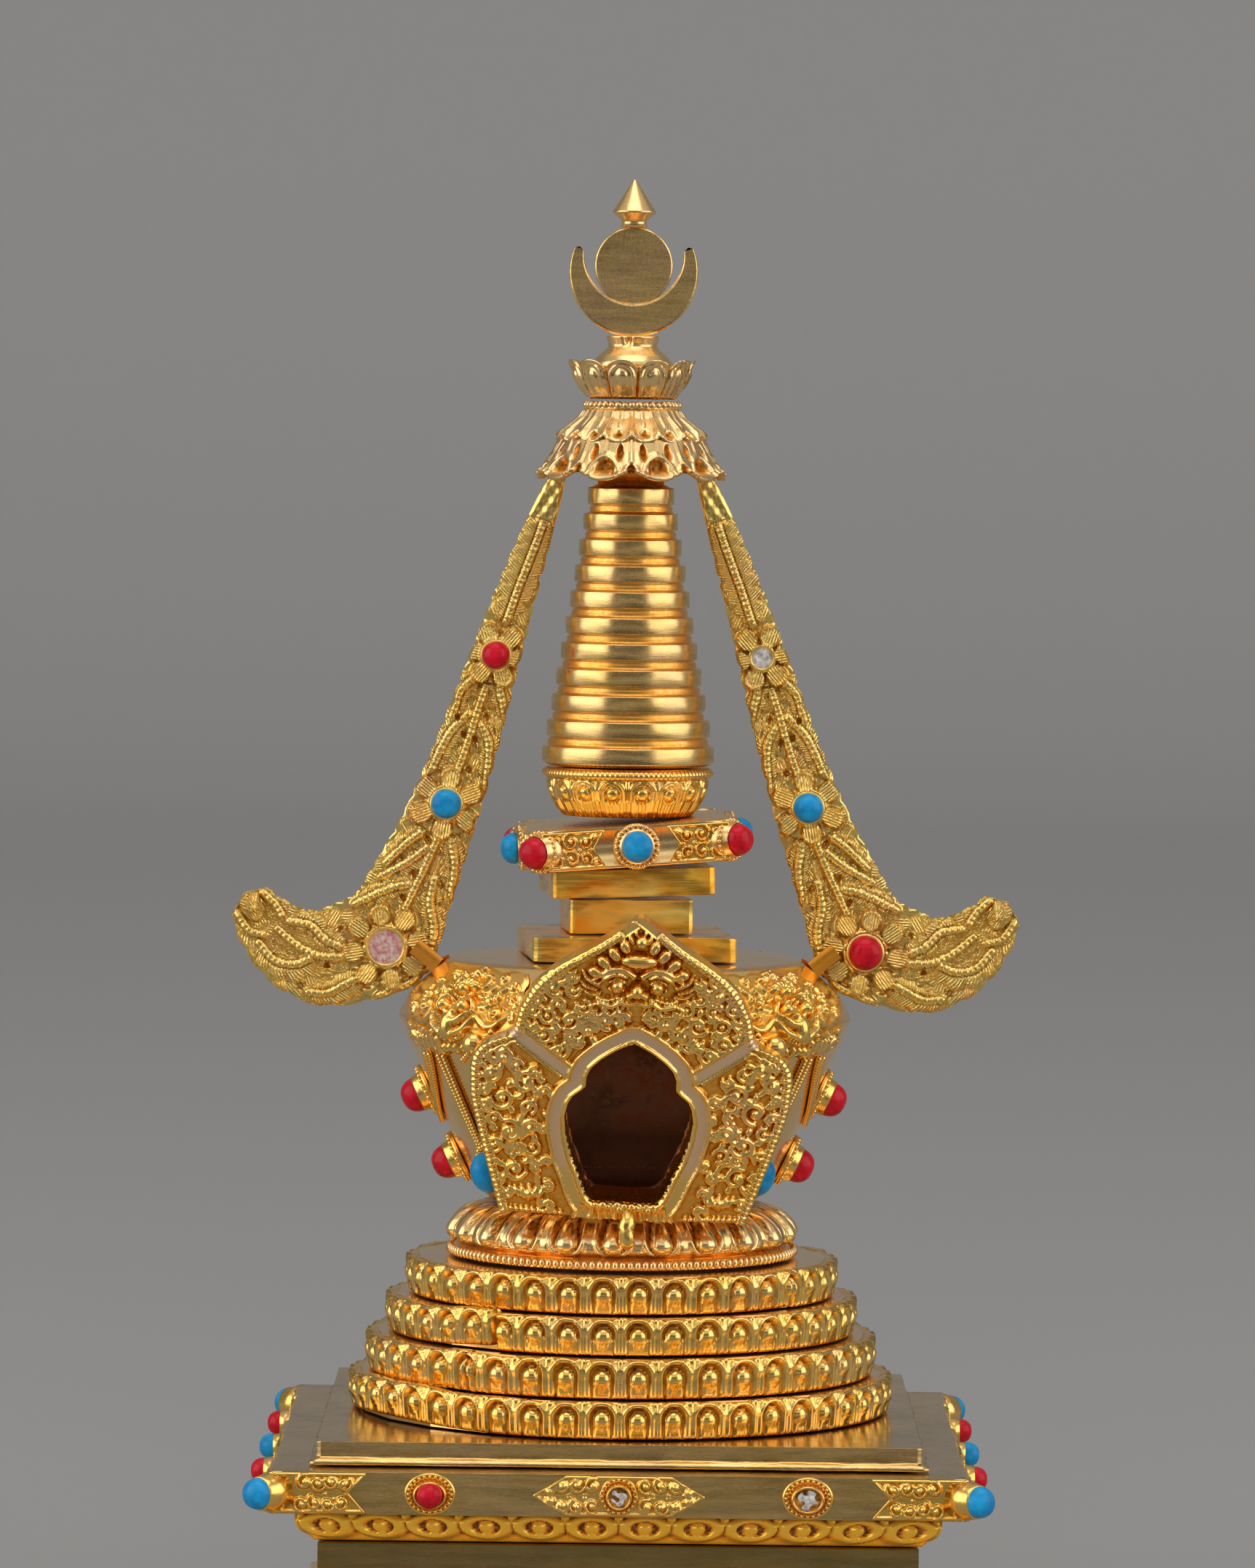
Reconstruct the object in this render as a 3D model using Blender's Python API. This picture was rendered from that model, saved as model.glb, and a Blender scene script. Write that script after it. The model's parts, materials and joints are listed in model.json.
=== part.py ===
"""Altar stupa of gilded copper, set with coral-red and turquoise-blue cabochons.

A square base carries four round steps, a lotus ring and a hollow dome with a
niche. Above the dome stand a square terrace, a ringed spire with a pierced
canopy, and a finial of lotus, moon, sun and jewel. Two cast streamers hang
from the canopy to the dome's shoulder.

Sizes are in millimetres and meshes are made in metres. +Z is up, the front
faces -Y, and the origin lies under the middle of the base.
"""

import math

import bmesh
import bpy
from mathutils import Matrix, Vector

MM = 0.001
GAP = 0.3
FLAT = 0.002

# Base, from the ground up
FOOT_WIDTH = 92.0
FOOT_HEIGHT = 3.0
SLAB_WIDTH = 98.0
SLAB_HEIGHT = 6.0
LOWER_PETALS_HEIGHT = 4.7
LOWER_PETALS_SWELL = 3.0
LOWER_PETALS_PER_SIDE = 6
NECK_WIDTH = 89.0
NECK_HEIGHT = 11.5
PETALS_HEIGHT = 4.4
PETALS_SWELL = 3.4
PETALS_PER_SIDE = 12
PETAL_CREST = 0.8
PETAL_SWELL_SHARE = 0.6
CORNICE_WIDTH = 102.3
CORNICE_HEIGHT = 6.3
PLINTH_WIDTH = 89.5
PLINTH_HEIGHT = 3.3
EDGE = 0.25

# Ornaments on the base cornice
ORNAMENT_HEIGHT = 0.9
ORNAMENT_MARGIN = 0.3
ORNAMENT_SUNK = 0.5
CORNER_LENGTH = 14.4
CORNER_NOTCH = 2.6
LOZENGE_LENGTH = 25.6
LOZENGE_END = 5.0
DISC_PLACE = 27.8
DISC_RADIUS = 3.0
BASE_STONE_RADIUS = 2.0
CORNER_STONE_RADIUS = 2.4
BASE_COLLAR_HEIGHT = 2.1
CORNER_COLLAR_HEIGHT = 2.0
CORNER_COLLAR_SUNK = 2.0
COLLAR_LIP = 0.3

# Round steps, lowest first
STEP_RADII = (42.1, 39.6, 36.6, 33.6)
STEP_HEIGHTS = (5.4, 5.8, 5.5, 5.5)
STEP_PETALS = (48, 44, 42, 38)
STRIP_THICKNESS = 1.0
STRIP_BULGE = 0.7
STRIP_CREST_SHARE = 0.62

# Lotus ring under the dome
LOTUS_HEIGHT = 7.8
LOTUS_RIM_RADIUS = 27.0
LOTUS_BULGE_RADIUS = 26.1
LOTUS_PETALS = 22
LOTUS_CARVE = 1.3
LOTUS_FOOT_INSET = 2.2
LOTUS_RIM_RISE = 0.9
LOTUS_WAIST_RISE = 1.9
LOTUS_BULGE_RISE = 4.0
LOTUS_SHOULDER_INSET = 1.0
LOTUS_SHOULDER_RISE = 6.6

# Dome: radius and rise of each ring of its outside
DOME_FOOT_RADIUS = 21.5
DOME_EDGE_RADIUS = 34.8
DOME_EDGE_RISE = 28.1
DOME_BEND_RADIUS = 32.8
DOME_BEND_RISE = 31.9
DOME_TOP_RADIUS = 27.6
DOME_HEIGHT = 37.4
DOME_ROLL = 0.9
DOME_WALL = 1.2
DOME_COLUMNS = 30
PASSAGE_DEPTH = 16.0

# Niche, measured in the plaque's plane from the plaque's foot
NICHE_SILL = 2.2
NICHE_SILL_HALF = 4.2
NICHE_FOOT_HALF = 6.2
NICHE_FOOT_RISE = 4.9
NICHE_HALF = 9.5
NICHE_WIDEST_RISE = 16.6
NICHE_LOBE_RISE = 19.8
NICHE_CUSP_HALF = 6.6
NICHE_CUSP_RISE = 21.6
NICHE_ARCH_LIFT = 5.4
NICHE_THROAT_LIFT = 2.6
NICHE_NARROWING = 0.4
NICHE_APEX_RISE = 29.0
NICHE_TOOL_BACK = 20.0
NICHE_TOOL_FRONT = 5.0
NICHE_RIM = 2.9
NICHE_RIM_LIFT = 0.3

# Plaque round the niche
PLAQUE_FOOT_REACH = 27.0
PLAQUE_LEAN = 20.0
PLAQUE_CURVE = 60.0
PLAQUE_THICKNESS = 1.6
PLAQUE_HEIGHT = 49.4
PLAQUE_GABLE_DROP = 9.4
PLAQUE_FOOT_HALF = 18.6
PLAQUE_WIDEST_HALF = 24.2
PLAQUE_WIDEST_RISE = 23.6
PLAQUE_EAVE_HALF = 18.2
PLAQUE_EAVE_RISE = 31.5
PLAQUE_BORDER = 1.3
PLAQUE_RELIEF = 0.9
PLAQUE_SUNK = 0.4
PLAQUE_SCROLLS = (
    (14.4, 5.4, 2.2), (15.5, 11.6, 2.4), (17.6, 18.0, 2.5), (20.2, 23.2, 1.9),
    (13.6, 31.6, 2.1), (8.6, 34.0, 1.9),
)
PLAQUE_BROW = (4.4, 39.6)
PLAQUE_BROW_RADIUS = 3.4
PLAQUE_BROW_HEIGHT = 1.5
PLAQUE_NOSE = (0.0, 38.0, 1.3)
PLAQUE_NOSE_HEIGHT = 2.0
PLAQUE_CROWN = (0.0, 44.6, 1.9)
PLAQUE_CROWN_HEIGHT = 1.3
COLLAR_WALL = 1.6
COLLAR_DEPTH = 12.0
BAR_WIDTH = 1.7
BAR_FOOT_LIFT = 1.4
BAR_HEAD_INSET = 0.4
BAR_HEAD_DROP = 1.8
BAR_SUNK = 0.35
BAR_LIFT = 0.1

# Masks on the dome's shoulder, and what hangs from them
MASK_AZIMUTH = 47.0
MASK_HALF_ANGLE = 20.0
MASK_BODY = 0.9
MASK_RELIEF = 3.0
MASK_OVERHANG = 4.5
MASK_COLUMNS = 4
MASK_BALL_RADIUS = 1.7
MASK_BALL_TURN = 8.7
STRING_RADIUS = 0.4
SETTING_RADIUS = 3.9
COLLAR_RADIUS = 3.0
SETTING_HEIGHT = 2.6
DOME_STONE_RADIUS = 2.6
UPPER_JEWEL_RISE = 16.9
LOWER_JEWEL_RISE = 6.7
STRING_TOP_RISE = 21.7
STRING_CLEARANCE = 0.1
JEWEL_LIFT = 0.5

# Square terrace above the dome
HARMIKA_TURN = 5.5
HARMIKA_PLINTH_WIDTH = 30.7
HARMIKA_PLINTH_HEIGHT = 3.6
HARMIKA_NECK_WIDTH = 18.7
HARMIKA_NECK_HEIGHT = 5.1
HARMIKA_STEP_WIDTH = 24.5
HARMIKA_STEP_HEIGHT = 4.2
HARMIKA_CORNICE_WIDTH = 32.0
HARMIKA_CORNICE_HEIGHT = 6.2
HARMIKA_CHAMFER = 3.2
HARMIKA_STEP_TILT = 1.8
HARMIKA_TILT = 3.0
HARMIKA_PANEL_LENGTH = 9.6
HARMIKA_STONE_RADIUS = 2.4
HARMIKA_COLLAR_HEIGHT = 1.2
HARMIKA_COLLAR_SUNK = 1.0
HARMIKA_COLLAR_WALL = 0.2
HARMIKA_RING_WALL = 0.7

# Spire
BOWL_HEIGHT = 5.8
BOWL_FOOT_RADIUS = 10.1
BOWL_RADIUS = 12.2
BOWL_PETALS = 16
BOWL_CARVE = 0.6
BOWL_WIDEST_SHARE = 0.6
BEAD_BAND_HEIGHT = 1.6
BEAD_BAND_RADIUS = 13.2
SPIRE_FOOT_HEIGHT = 0.5
RING_COUNT = 11
RING_PITCH = 3.94
RING_HEIGHT = 2.4
RING_RADIUS = 13.15
RING_TAPER = 0.70
RING_EASE = 0.0045
RING_GROOVE = 0.8
RING_FALL = 0.1
RING_BEVEL = 0.5
SPIRE_COLUMNS = 12
SPIRE_TOP_RADIUS = 5.6
SPIRE_TOP_HEIGHT = 8.0
SPIRE_TOP_TAPER = 0.6

# Canopy
CANOPY_RIM_RADIUS = 14.2
CANOPY_CLEARANCE = 1.0
CANOPY_HEIGHT = 10.9
CANOPY_TIER_RADIUS = 10.9
CANOPY_TIER_DROP = 5.1
CANOPY_TOP_RADIUS = 7.0
CANOPY_SCALLOPS = 20
CANOPY_WALL = 1.0
CANOPY_SCALLOP_LIFT = 0.9
CANOPY_LIP_INSET = 1.4
CANOPY_LIP_RISE = 3.0
CANOPY_TIER_INSET = 1.2
CANOPY_TIER_RISE = 1.6
CANOPY_HOLLOW = 7.2
CANOPY_BEAD_RADIUS = 7.3
CANOPY_BEAD_HEIGHT = 1.3

# Finial
CUP_HEIGHT = 6.0
CUP_FOOT_RADIUS = 6.7
CUP_RADIUS = 9.7
CUP_PETALS = 10
CUP_DEPTH = 1.6
CUP_FLARE = 1.4
CUP_WALL = 1.0
CUP_CARVE = 1.1
CUP_SWELL = 0.5
CAP_RADIUS = 6.2
CAP_NECK_RADIUS = 3.6
CAP_HEIGHT = 4.4
CAP_CLEARANCE = 0.6
CAP_SHOULDER_RISE = 1.5
CAP_WAIST_RISE = 3.2
MOON_RADIUS = 9.84
MOON_CUT_RADIUS = 7.6
MOON_CUT_RISE = 2.77
MOON_HORN_RISE = 3.9
PLATE_THICKNESS = 1.8
SUN_RADIUS = 5.8
JEWEL_RADIUS = 3.36
JEWEL_NECK_RADIUS = 1.8
JEWEL_HEIGHT = 6.9
JEWEL_NECK_HEIGHT = 0.7
JEWEL_WIDEST_RISE = 2.1
JEWEL_POINT_RADIUS = 0.25

# Streamers
STREAMER_TOP_REACH = 10.9
STREAMER_TOP_RISE = 1.4
STREAMER_ELBOW_REACH = 9.7
STREAMER_ELBOW_RISE = 2.0
STREAMER_TIP_REACH = 20.9
STREAMER_TIP_RISE = 7.4
STREAMER_SAG = 5.5
STREAMER_BOW = 1.9
STREAMER_TOP_HALF = 1.2
STREAMER_ELBOW_HALF = 8.0
STREAMER_TIP_HALF = 2.6
STREAMER_THICKNESS = 0.8
FLOWER_PLACES = (0.39, 0.706, 1.0)
FLOWER_RADII = (4.0, 5.2, 7.4)
FLOWER_HEIGHT = 0.7
STREAMER_STONE_RADII = (2.2, 2.4, 2.7)
CLIP_WIDTH = 2.8
CLIP_THICKNESS = 0.6
CLIP_START_REACH = 4.6
CLIP_START_DROP = 1.4
CLIP_BEND_REACH = 2.0
CLIP_BEND_DROP = 0.4
CLIP_END_INSET = 1.4
CLIP_SPREAD = 0.5


# Heights that follow from the sizes above

def stacked(start, heights):
    """Bottoms of pieces that stand on each other with a gap between them."""
    places = [start]
    for height in heights:
        places.append(places[-1] + height + GAP)
    return places


def tilt_rise(reach, tilt):
    """How far a tilted face rises over a reach; the tilt is in degrees."""
    return reach * math.sin(math.radians(abs(tilt)))


BASE_HEIGHTS = (
    FOOT_HEIGHT + SLAB_HEIGHT,
    LOWER_PETALS_HEIGHT,
    NECK_HEIGHT,
    PETALS_HEIGHT,
    CORNICE_HEIGHT,
    PLINTH_HEIGHT,
)
(SLAB_Z, LOWER_PETALS_Z, NECK_Z, PETALS_Z, CORNICE_Z, PLINTH_Z, STEPS_Z) = stacked(0.0, BASE_HEIGHTS)
STEP_PLACES = stacked(STEPS_Z, STEP_HEIGHTS)
LOTUS_Z = STEP_PLACES[-1]
DOME_Z = LOTUS_Z + LOTUS_HEIGHT + GAP
HARMIKA_Z = DOME_Z + DOME_HEIGHT + GAP
HARMIKA_HEIGHTS = (HARMIKA_PLINTH_HEIGHT, HARMIKA_NECK_HEIGHT)
(HARMIKA_PLINTH_Z, HARMIKA_NECK_Z, HARMIKA_STEP_Z) = stacked(HARMIKA_Z, HARMIKA_HEIGHTS)
HARMIKA_STEP_RISE = tilt_rise(HARMIKA_STEP_WIDTH / 2, HARMIKA_STEP_TILT)
HARMIKA_STEP_MIDDLE = HARMIKA_STEP_Z + HARMIKA_STEP_HEIGHT / 2 + HARMIKA_STEP_RISE
HARMIKA_MIDDLE = (
    HARMIKA_STEP_MIDDLE + (HARMIKA_STEP_HEIGHT + HARMIKA_CORNICE_HEIGHT) / 2 + GAP
    + tilt_rise(HARMIKA_STEP_WIDTH / 2, HARMIKA_TILT - HARMIKA_STEP_TILT)
)
BOWL_Z = HARMIKA_MIDDLE + HARMIKA_CORNICE_HEIGHT / 2 + tilt_rise(BOWL_FOOT_RADIUS, HARMIKA_TILT) + GAP
SPIRE_Z = BOWL_Z + BOWL_HEIGHT + BEAD_BAND_HEIGHT + GAP
RINGS_Z = SPIRE_Z + SPIRE_FOOT_HEIGHT
CANOPY_Z = RINGS_Z + (RING_COUNT - 1) * RING_PITCH + RING_HEIGHT + CANOPY_CLEARANCE
CUP_Z = CANOPY_Z + CANOPY_HEIGHT + CANOPY_BEAD_HEIGHT + GAP
CAP_Z = CUP_Z + CUP_HEIGHT - CUP_DEPTH + GAP
MOON_Z = CAP_Z + CAP_HEIGHT + GAP + MOON_RADIUS
SUN_Z = MOON_Z + MOON_CUT_RISE - MOON_CUT_RADIUS + GAP + SUN_RADIUS
JEWEL_Z = SUN_Z + SUN_RADIUS + GAP

SIDES = (("left", -1), ("right", 1))
CORNERS = (("front_left", -1, -1), ("front_right", 1, -1), ("back_left", -1, 1), ("back_right", 1, 1))


# Materials

def material(name, color, roughness, metallic):
    made = bpy.data.materials.new(name)
    made.use_nodes = True
    shader = made.node_tree.nodes["Principled BSDF"]
    shader.inputs["Base Color"].default_value = (*color, 1.0)
    shader.inputs["Roughness"].default_value = roughness
    shader.inputs["Metallic"].default_value = metallic
    made.diffuse_color = (*color, 1.0)
    return made


# Meshes

def solid(name, bm, surface, location=(0, 0, 0), rotation=(0, 0, 0)):
    """Make a named object in metres from a mesh in millimetres."""
    bmesh.ops.recalc_face_normals(bm, faces=bm.faces)
    bmesh.ops.scale(bm, vec=(MM, MM, MM), verts=bm.verts)
    mesh = bpy.data.meshes.new(name)
    bm.to_mesh(mesh)
    bm.free()
    mesh.materials.append(surface)
    mesh.shade_smooth()
    mesh.set_sharp_from_angle(angle=math.radians(35))
    made = bpy.data.objects.new(name, mesh)
    made.location = Vector(location) * MM
    made.rotation_euler = [math.radians(turn) for turn in rotation]
    bpy.context.scene.collection.objects.link(made)
    return made


def span(bm, lower, upper):
    """Join two rings of points. One may be a pole, or have a multiple of the other's points."""
    few, many = (lower, upper) if len(lower) <= len(upper) else (upper, lower)
    count = len(few)
    share = len(many) // count
    for i in range(count):
        near, far = few[i], few[(i + 1) % count]
        edge = [many[(i * share + k) % len(many)] for k in range(share + 1)]
        if share == 1:
            bm.faces.new((near, edge[0], edge[1], far))
            continue
        middle = share if count == 1 else share // 2
        for k in range(share):
            bm.faces.new((near if k < middle else far, edge[k], edge[k + 1]))
        if count > 1:
            bm.faces.new((near, edge[middle], far))


def revolve(rows, columns, carve=None, closed=False, start=0.0):
    """Turn rows of (radius, height) about Z. A row may give its own columns as a third value."""
    bm = bmesh.new()
    rings = []
    for index, row in enumerate(rows):
        radius, height = row[:2]
        count = row[2] if len(row) > 2 else columns
        if radius == 0:
            rings.append([bm.verts.new((0, 0, height))])
            continue
        ring = []
        for column in range(count):
            angle = start + math.tau * column / count
            r, z = carve(angle - start, radius, height, index) if carve else (radius, height)
            ring.append(bm.verts.new((r * math.cos(angle), r * math.sin(angle), z)))
        rings.append(ring)
    for lower, upper in zip(rings, rings[1:]):
        span(bm, lower, upper)
    if closed:
        span(bm, rings[-1], rings[0])
        return bm
    for ring in (rings[0], rings[-1]):
        if len(ring) > 1:
            bm.faces.new(ring)
    return bm


def squared(rows):
    """Stack of square rings, each given by its half width and height."""
    turned = [(half * math.sqrt(2), height) for half, height in rows]
    return revolve(turned, 4, start=math.pi / 4)


def slab(width, height, bottom=0.0, edge=EDGE):
    """Square slab with its top and bottom edges taken off."""
    half = width / 2
    return squared([
        (half - edge, bottom), (half, bottom + edge),
        (half, bottom + height - edge), (half - edge, bottom + height),
    ])


def prism(outline, low, high):
    """Extrude a flat outline from one height to another."""
    bm = bmesh.new()
    face = bm.faces.new([bm.verts.new((x, y, low)) for x, y in outline])
    lifted = bmesh.ops.extrude_face_region(bm, geom=[face])["geom"]
    top = [item for item in lifted if isinstance(item, bmesh.types.BMVert)]
    bmesh.ops.translate(bm, vec=(0, 0, high - low), verts=top)
    bmesh.ops.recalc_face_normals(bm, faces=bm.faces)
    return bm


def facing(origin, outward, up=(0, 0, 1)):
    """Matrix that puts a mesh's own +Z along outward, with its +Y near up."""
    z = Vector(outward).normalized()
    x = Vector(up).cross(z).normalized()
    y = z.cross(x)
    turn = Matrix((x, y, z)).transposed().to_4x4()
    return Matrix.Translation(origin) @ turn


def moved(bm, matrix):
    bmesh.ops.transform(bm, matrix=matrix, verts=bm.verts)
    return bm


def gathered(meshes):
    """Put several meshes into one, without joining them."""
    whole = bmesh.new()
    for part in meshes:
        bmesh.ops.recalc_face_normals(part, faces=part.faces)
        carrier = bpy.data.meshes.new("carrier")
        part.to_mesh(carrier)
        part.free()
        whole.from_mesh(carrier)
        bpy.data.meshes.remove(carrier)
    return whole


def combined(body, tool, operation):
    """Join or cut one closed mesh with another, and give back the result."""
    holders = []
    for bm in (body, tool):
        bmesh.ops.recalc_face_normals(bm, faces=bm.faces)
        mesh = bpy.data.meshes.new("holder")
        bm.to_mesh(mesh)
        bm.free()
        holder = bpy.data.objects.new("holder", mesh)
        bpy.context.scene.collection.objects.link(holder)
        holders.append(holder)
    modifier = holders[0].modifiers.new("combine", "BOOLEAN")
    modifier.operation = operation
    modifier.solver = "EXACT"
    modifier.use_self = True
    modifier.object = holders[1]
    graph = bpy.context.evaluated_depsgraph_get()
    result = bmesh.new()
    result.from_object(holders[0], graph)
    bmesh.ops.dissolve_limit(result, angle_limit=FLAT, verts=result.verts, edges=result.edges)
    for holder in holders:
        mesh = holder.data
        bpy.data.objects.remove(holder)
        bpy.data.meshes.remove(mesh)
    return result


def petal(angle, count):
    """0 in the valley between two petals and 1 on a petal's middle."""
    return 0.5 - 0.5 * math.cos(angle * count)


def tube(points, radius, sides=3):
    """Closed tube along points, with flat ends."""
    bm = bmesh.new()
    rings = []
    for i, point in enumerate(points):
        ahead = points[min(i + 1, len(points) - 1)] - points[max(i - 1, 0)]
        frame = facing(point, ahead, (0.3, 0.2, 1))
        ring = []
        for k in range(sides):
            turn = math.tau * k / sides
            ring.append(bm.verts.new(frame @ Vector((radius * math.cos(turn), radius * math.sin(turn), 0))))
        rings.append(ring)
    for lower, upper in zip(rings, rings[1:]):
        span(bm, lower, upper)
    bm.faces.new(rings[0])
    bm.faces.new(rings[-1])
    return bm


# Settings and stones; each stands on the plane through its own origin

def cabochon(radius, height, columns=6):
    return revolve([(radius, 0), (radius * 0.8, height * 0.6), (0, height)], columns)


def setting(rim, collar, height, stone, sunk=ORNAMENT_SUNK, columns=6):
    """Disc with a collar, with its stone fused on top. A lost stone leaves a shallow socket."""
    rows = [(rim, -sunk), (rim, height * 0.45), (collar, height)]
    if stone:
        rows += [(stone * 0.8, height + stone * 0.65), (0, height + stone * 0.9)]
    else:
        rows += [(collar * 0.7, height * 0.8), (0, height * 0.8)]
    return revolve(rows, columns)


# Base

def swallow_tail(length, half_height, notch):
    """Outline of a strip with a notched end, from its corner to its tail."""
    return [
        (0, -half_height), (length, -half_height), (length - notch, 0),
        (length, half_height), (0, half_height),
    ]


def lozenge(length, half_height, end):
    half = length / 2
    return [
        (-half, 0), (-half + end, -half_height), (half - end, -half_height),
        (half, 0), (half - end, half_height), (-half + end, half_height),
    ]


def cornice_side(turn, centre_lost, disc_lost):
    """Raised ornaments of one side, made on the front face and turned about Z."""
    half = CORNICE_WIDTH / 2
    half_height = CORNICE_HEIGHT / 2 - ORNAMENT_MARGIN
    front = facing((0, -half, CORNICE_Z + CORNICE_HEIGHT / 2), (0, -1, 0))
    parts = []
    for side in (-1, 1):
        tail = swallow_tail(CORNER_LENGTH + ORNAMENT_HEIGHT, half_height, CORNER_NOTCH)
        outline = [(side * (half + ORNAMENT_HEIGHT - x), y) for x, y in tail]
        parts.append(moved(prism(outline, -ORNAMENT_SUNK, ORNAMENT_HEIGHT), front))
        stone = 0 if side == disc_lost else BASE_STONE_RADIUS
        disc = setting(DISC_RADIUS, BASE_STONE_RADIUS + COLLAR_LIP, BASE_COLLAR_HEIGHT, stone)
        parts.append(moved(disc, front @ Matrix.Translation((side * DISC_PLACE, 0, 0))))
    plate = prism(lozenge(LOZENGE_LENGTH, half_height, LOZENGE_END), -ORNAMENT_SUNK, ORNAMENT_HEIGHT)
    parts.append(moved(plate, front))
    stone = 0 if centre_lost else BASE_STONE_RADIUS
    collar = BASE_STONE_RADIUS + COLLAR_LIP
    centre = setting(collar + COLLAR_LIP, collar, BASE_COLLAR_HEIGHT, stone)
    parts.append(moved(centre, front))
    return moved(gathered(parts), Matrix.Rotation(turn, 4, "Z"))


def make_base(polished, cast):
    slab_half = SLAB_WIDTH / 2
    foot_half = FOOT_WIDTH / 2
    top = FOOT_HEIGHT + SLAB_HEIGHT
    solid("base_slab", squared([
        (foot_half, 0), (foot_half, FOOT_HEIGHT), (slab_half, FOOT_HEIGHT + EDGE),
        (slab_half, top - EDGE), (slab_half - EDGE, top),
    ]), polished)
    lower = petal_band(LOWER_PETALS_Z, LOWER_PETALS_HEIGHT, LOWER_PETALS_SWELL, 0, LOWER_PETALS_PER_SIDE)
    solid("base_lower_petals", lower, cast)
    solid("base_neck", slab(NECK_WIDTH, NECK_HEIGHT, NECK_Z), polished)
    upper = petal_band(PETALS_Z, PETALS_HEIGHT, 0, PETALS_SWELL, PETALS_PER_SIDE)
    solid("base_upper_petals", upper, cast)
    cornice = slab(CORNICE_WIDTH, CORNICE_HEIGHT, CORNICE_Z)
    sides = [
        cornice_side(0, centre_lost=True, disc_lost=1),
        cornice_side(math.pi / 2, False, 0),
        cornice_side(math.pi, False, 0),
        cornice_side(-math.pi / 2, False, 0),
    ]
    cornice = combined(cornice, gathered(sides), "UNION")
    corner = CORNICE_WIDTH / 2 + ORNAMENT_HEIGHT * 0.6
    jewels = []
    for name, x, y in CORNERS:
        place = facing((x * corner, y * corner, CORNICE_Z + CORNICE_HEIGHT / 2), (x, y, 0))
        jewel = setting(
            CORNER_STONE_RADIUS + 2 * COLLAR_LIP, CORNER_STONE_RADIUS + COLLAR_LIP, CORNER_COLLAR_HEIGHT,
            CORNER_STONE_RADIUS, CORNER_COLLAR_SUNK,
        )
        jewels.append(moved(jewel, place))
    solid("base_cornice", combined(cornice, gathered(jewels), "UNION"), polished)
    solid("base_plinth", slab(PLINTH_WIDTH, PLINTH_HEIGHT, PLINTH_Z), polished)


def square_ring(bm, reach, height, per_side, crest=0.0):
    """Points round a square. Every second point of a side stands out by the crest."""
    ring = []
    for side in range(4):
        turn = Matrix.Rotation(side * math.pi / 2, 3, "Z")
        for step in range(per_side):
            along = reach * (2 * step / per_side - 1)
            out = reach + (crest if step % 2 else 0.0)
            ring.append(bm.verts.new(turn @ Vector((along, -out, height))))
    return ring


def petal_band(bottom, height, swell_below, swell_above, petals):
    """Square band whose sides swell out, with a row of petals along the middle of each side."""
    half = NECK_WIDTH / 2
    middle = half + PETAL_SWELL_SHARE * max(swell_below, swell_above)
    bm = bmesh.new()
    rings = [
        square_ring(bm, half + swell_below, bottom, petals // 2),
        square_ring(bm, middle, bottom + height / 2, 2 * petals, PETAL_CREST),
        square_ring(bm, half + swell_above, bottom + height, petals // 2),
    ]
    for lower, upper in zip(rings, rings[1:]):
        span(bm, lower, upper)
    bm.faces.new(rings[0])
    bm.faces.new(rings[-1])
    return bm


# Round steps and the lotus ring

def make_steps(polished, cast):
    """Four round steps, lowest first; each is a drum with a petal strip wrapped round it."""
    count = len(STEP_RADII)
    for index in range(count):
        number = count - index
        bottom = STEP_PLACES[index]
        height = STEP_HEIGHTS[index]
        outer = STEP_RADII[index] - STRIP_BULGE
        inner = outer - STRIP_THICKNESS
        drum = inner - GAP
        petals = STEP_PETALS[index]
        facets = petals // 2
        solid(f"step_{number}", revolve([(drum, bottom), (drum, bottom + height)], facets), polished)

        def bulge(angle, radius, z, row, petals=petals):
            if row == 1:
                return radius + STRIP_BULGE * petal(angle, petals), z
            return radius, z

        strip = revolve([
            (outer, bottom), (outer, bottom + height * STRIP_CREST_SHARE, 2 * petals),
            (outer, bottom + height),
            (inner, bottom + height), (inner, bottom),
        ], facets, bulge, closed=True)
        solid(f"step_petals_{number}", strip, cast)


def make_lotus(cast):
    def lobes(angle, radius, z, row):
        if row in (3, 4):
            return radius - LOTUS_CARVE * (1 - petal(angle, LOTUS_PETALS)), z
        return radius, z

    foot = LOTUS_RIM_RADIUS - LOTUS_FOOT_INSET
    solid("dome_lotus", revolve([
        (foot, LOTUS_Z, LOTUS_PETALS), (LOTUS_RIM_RADIUS, LOTUS_Z + LOTUS_RIM_RISE, LOTUS_PETALS),
        (foot, LOTUS_Z + LOTUS_WAIST_RISE, LOTUS_PETALS), (LOTUS_BULGE_RADIUS, LOTUS_Z + LOTUS_BULGE_RISE),
        (LOTUS_BULGE_RADIUS - LOTUS_SHOULDER_INSET, LOTUS_Z + LOTUS_SHOULDER_RISE),
        (DOME_FOOT_RADIUS, LOTUS_Z + LOTUS_HEIGHT, LOTUS_PETALS),
    ], 2 * LOTUS_PETALS, lobes), cast)


# Dome

def dome_rows(inset=0.0):
    """Outside of the dome, or the same profile moved inwards by a wall."""
    slope = math.atan2(DOME_EDGE_RADIUS - DOME_FOOT_RADIUS, DOME_EDGE_RISE)
    side = inset / math.cos(slope)
    floor = inset * math.tan(slope)
    return [
        (DOME_FOOT_RADIUS - side + floor, DOME_Z + inset),
        (DOME_EDGE_RADIUS - side, DOME_Z + DOME_EDGE_RISE),
        (DOME_BEND_RADIUS - side, DOME_Z + DOME_BEND_RISE - inset * 0.3),
        (DOME_TOP_RADIUS - side * 0.8, DOME_Z + DOME_HEIGHT - DOME_ROLL - inset * 0.6),
        (DOME_TOP_RADIUS - DOME_ROLL - side * 0.8, DOME_Z + DOME_HEIGHT - inset),
    ]


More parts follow.
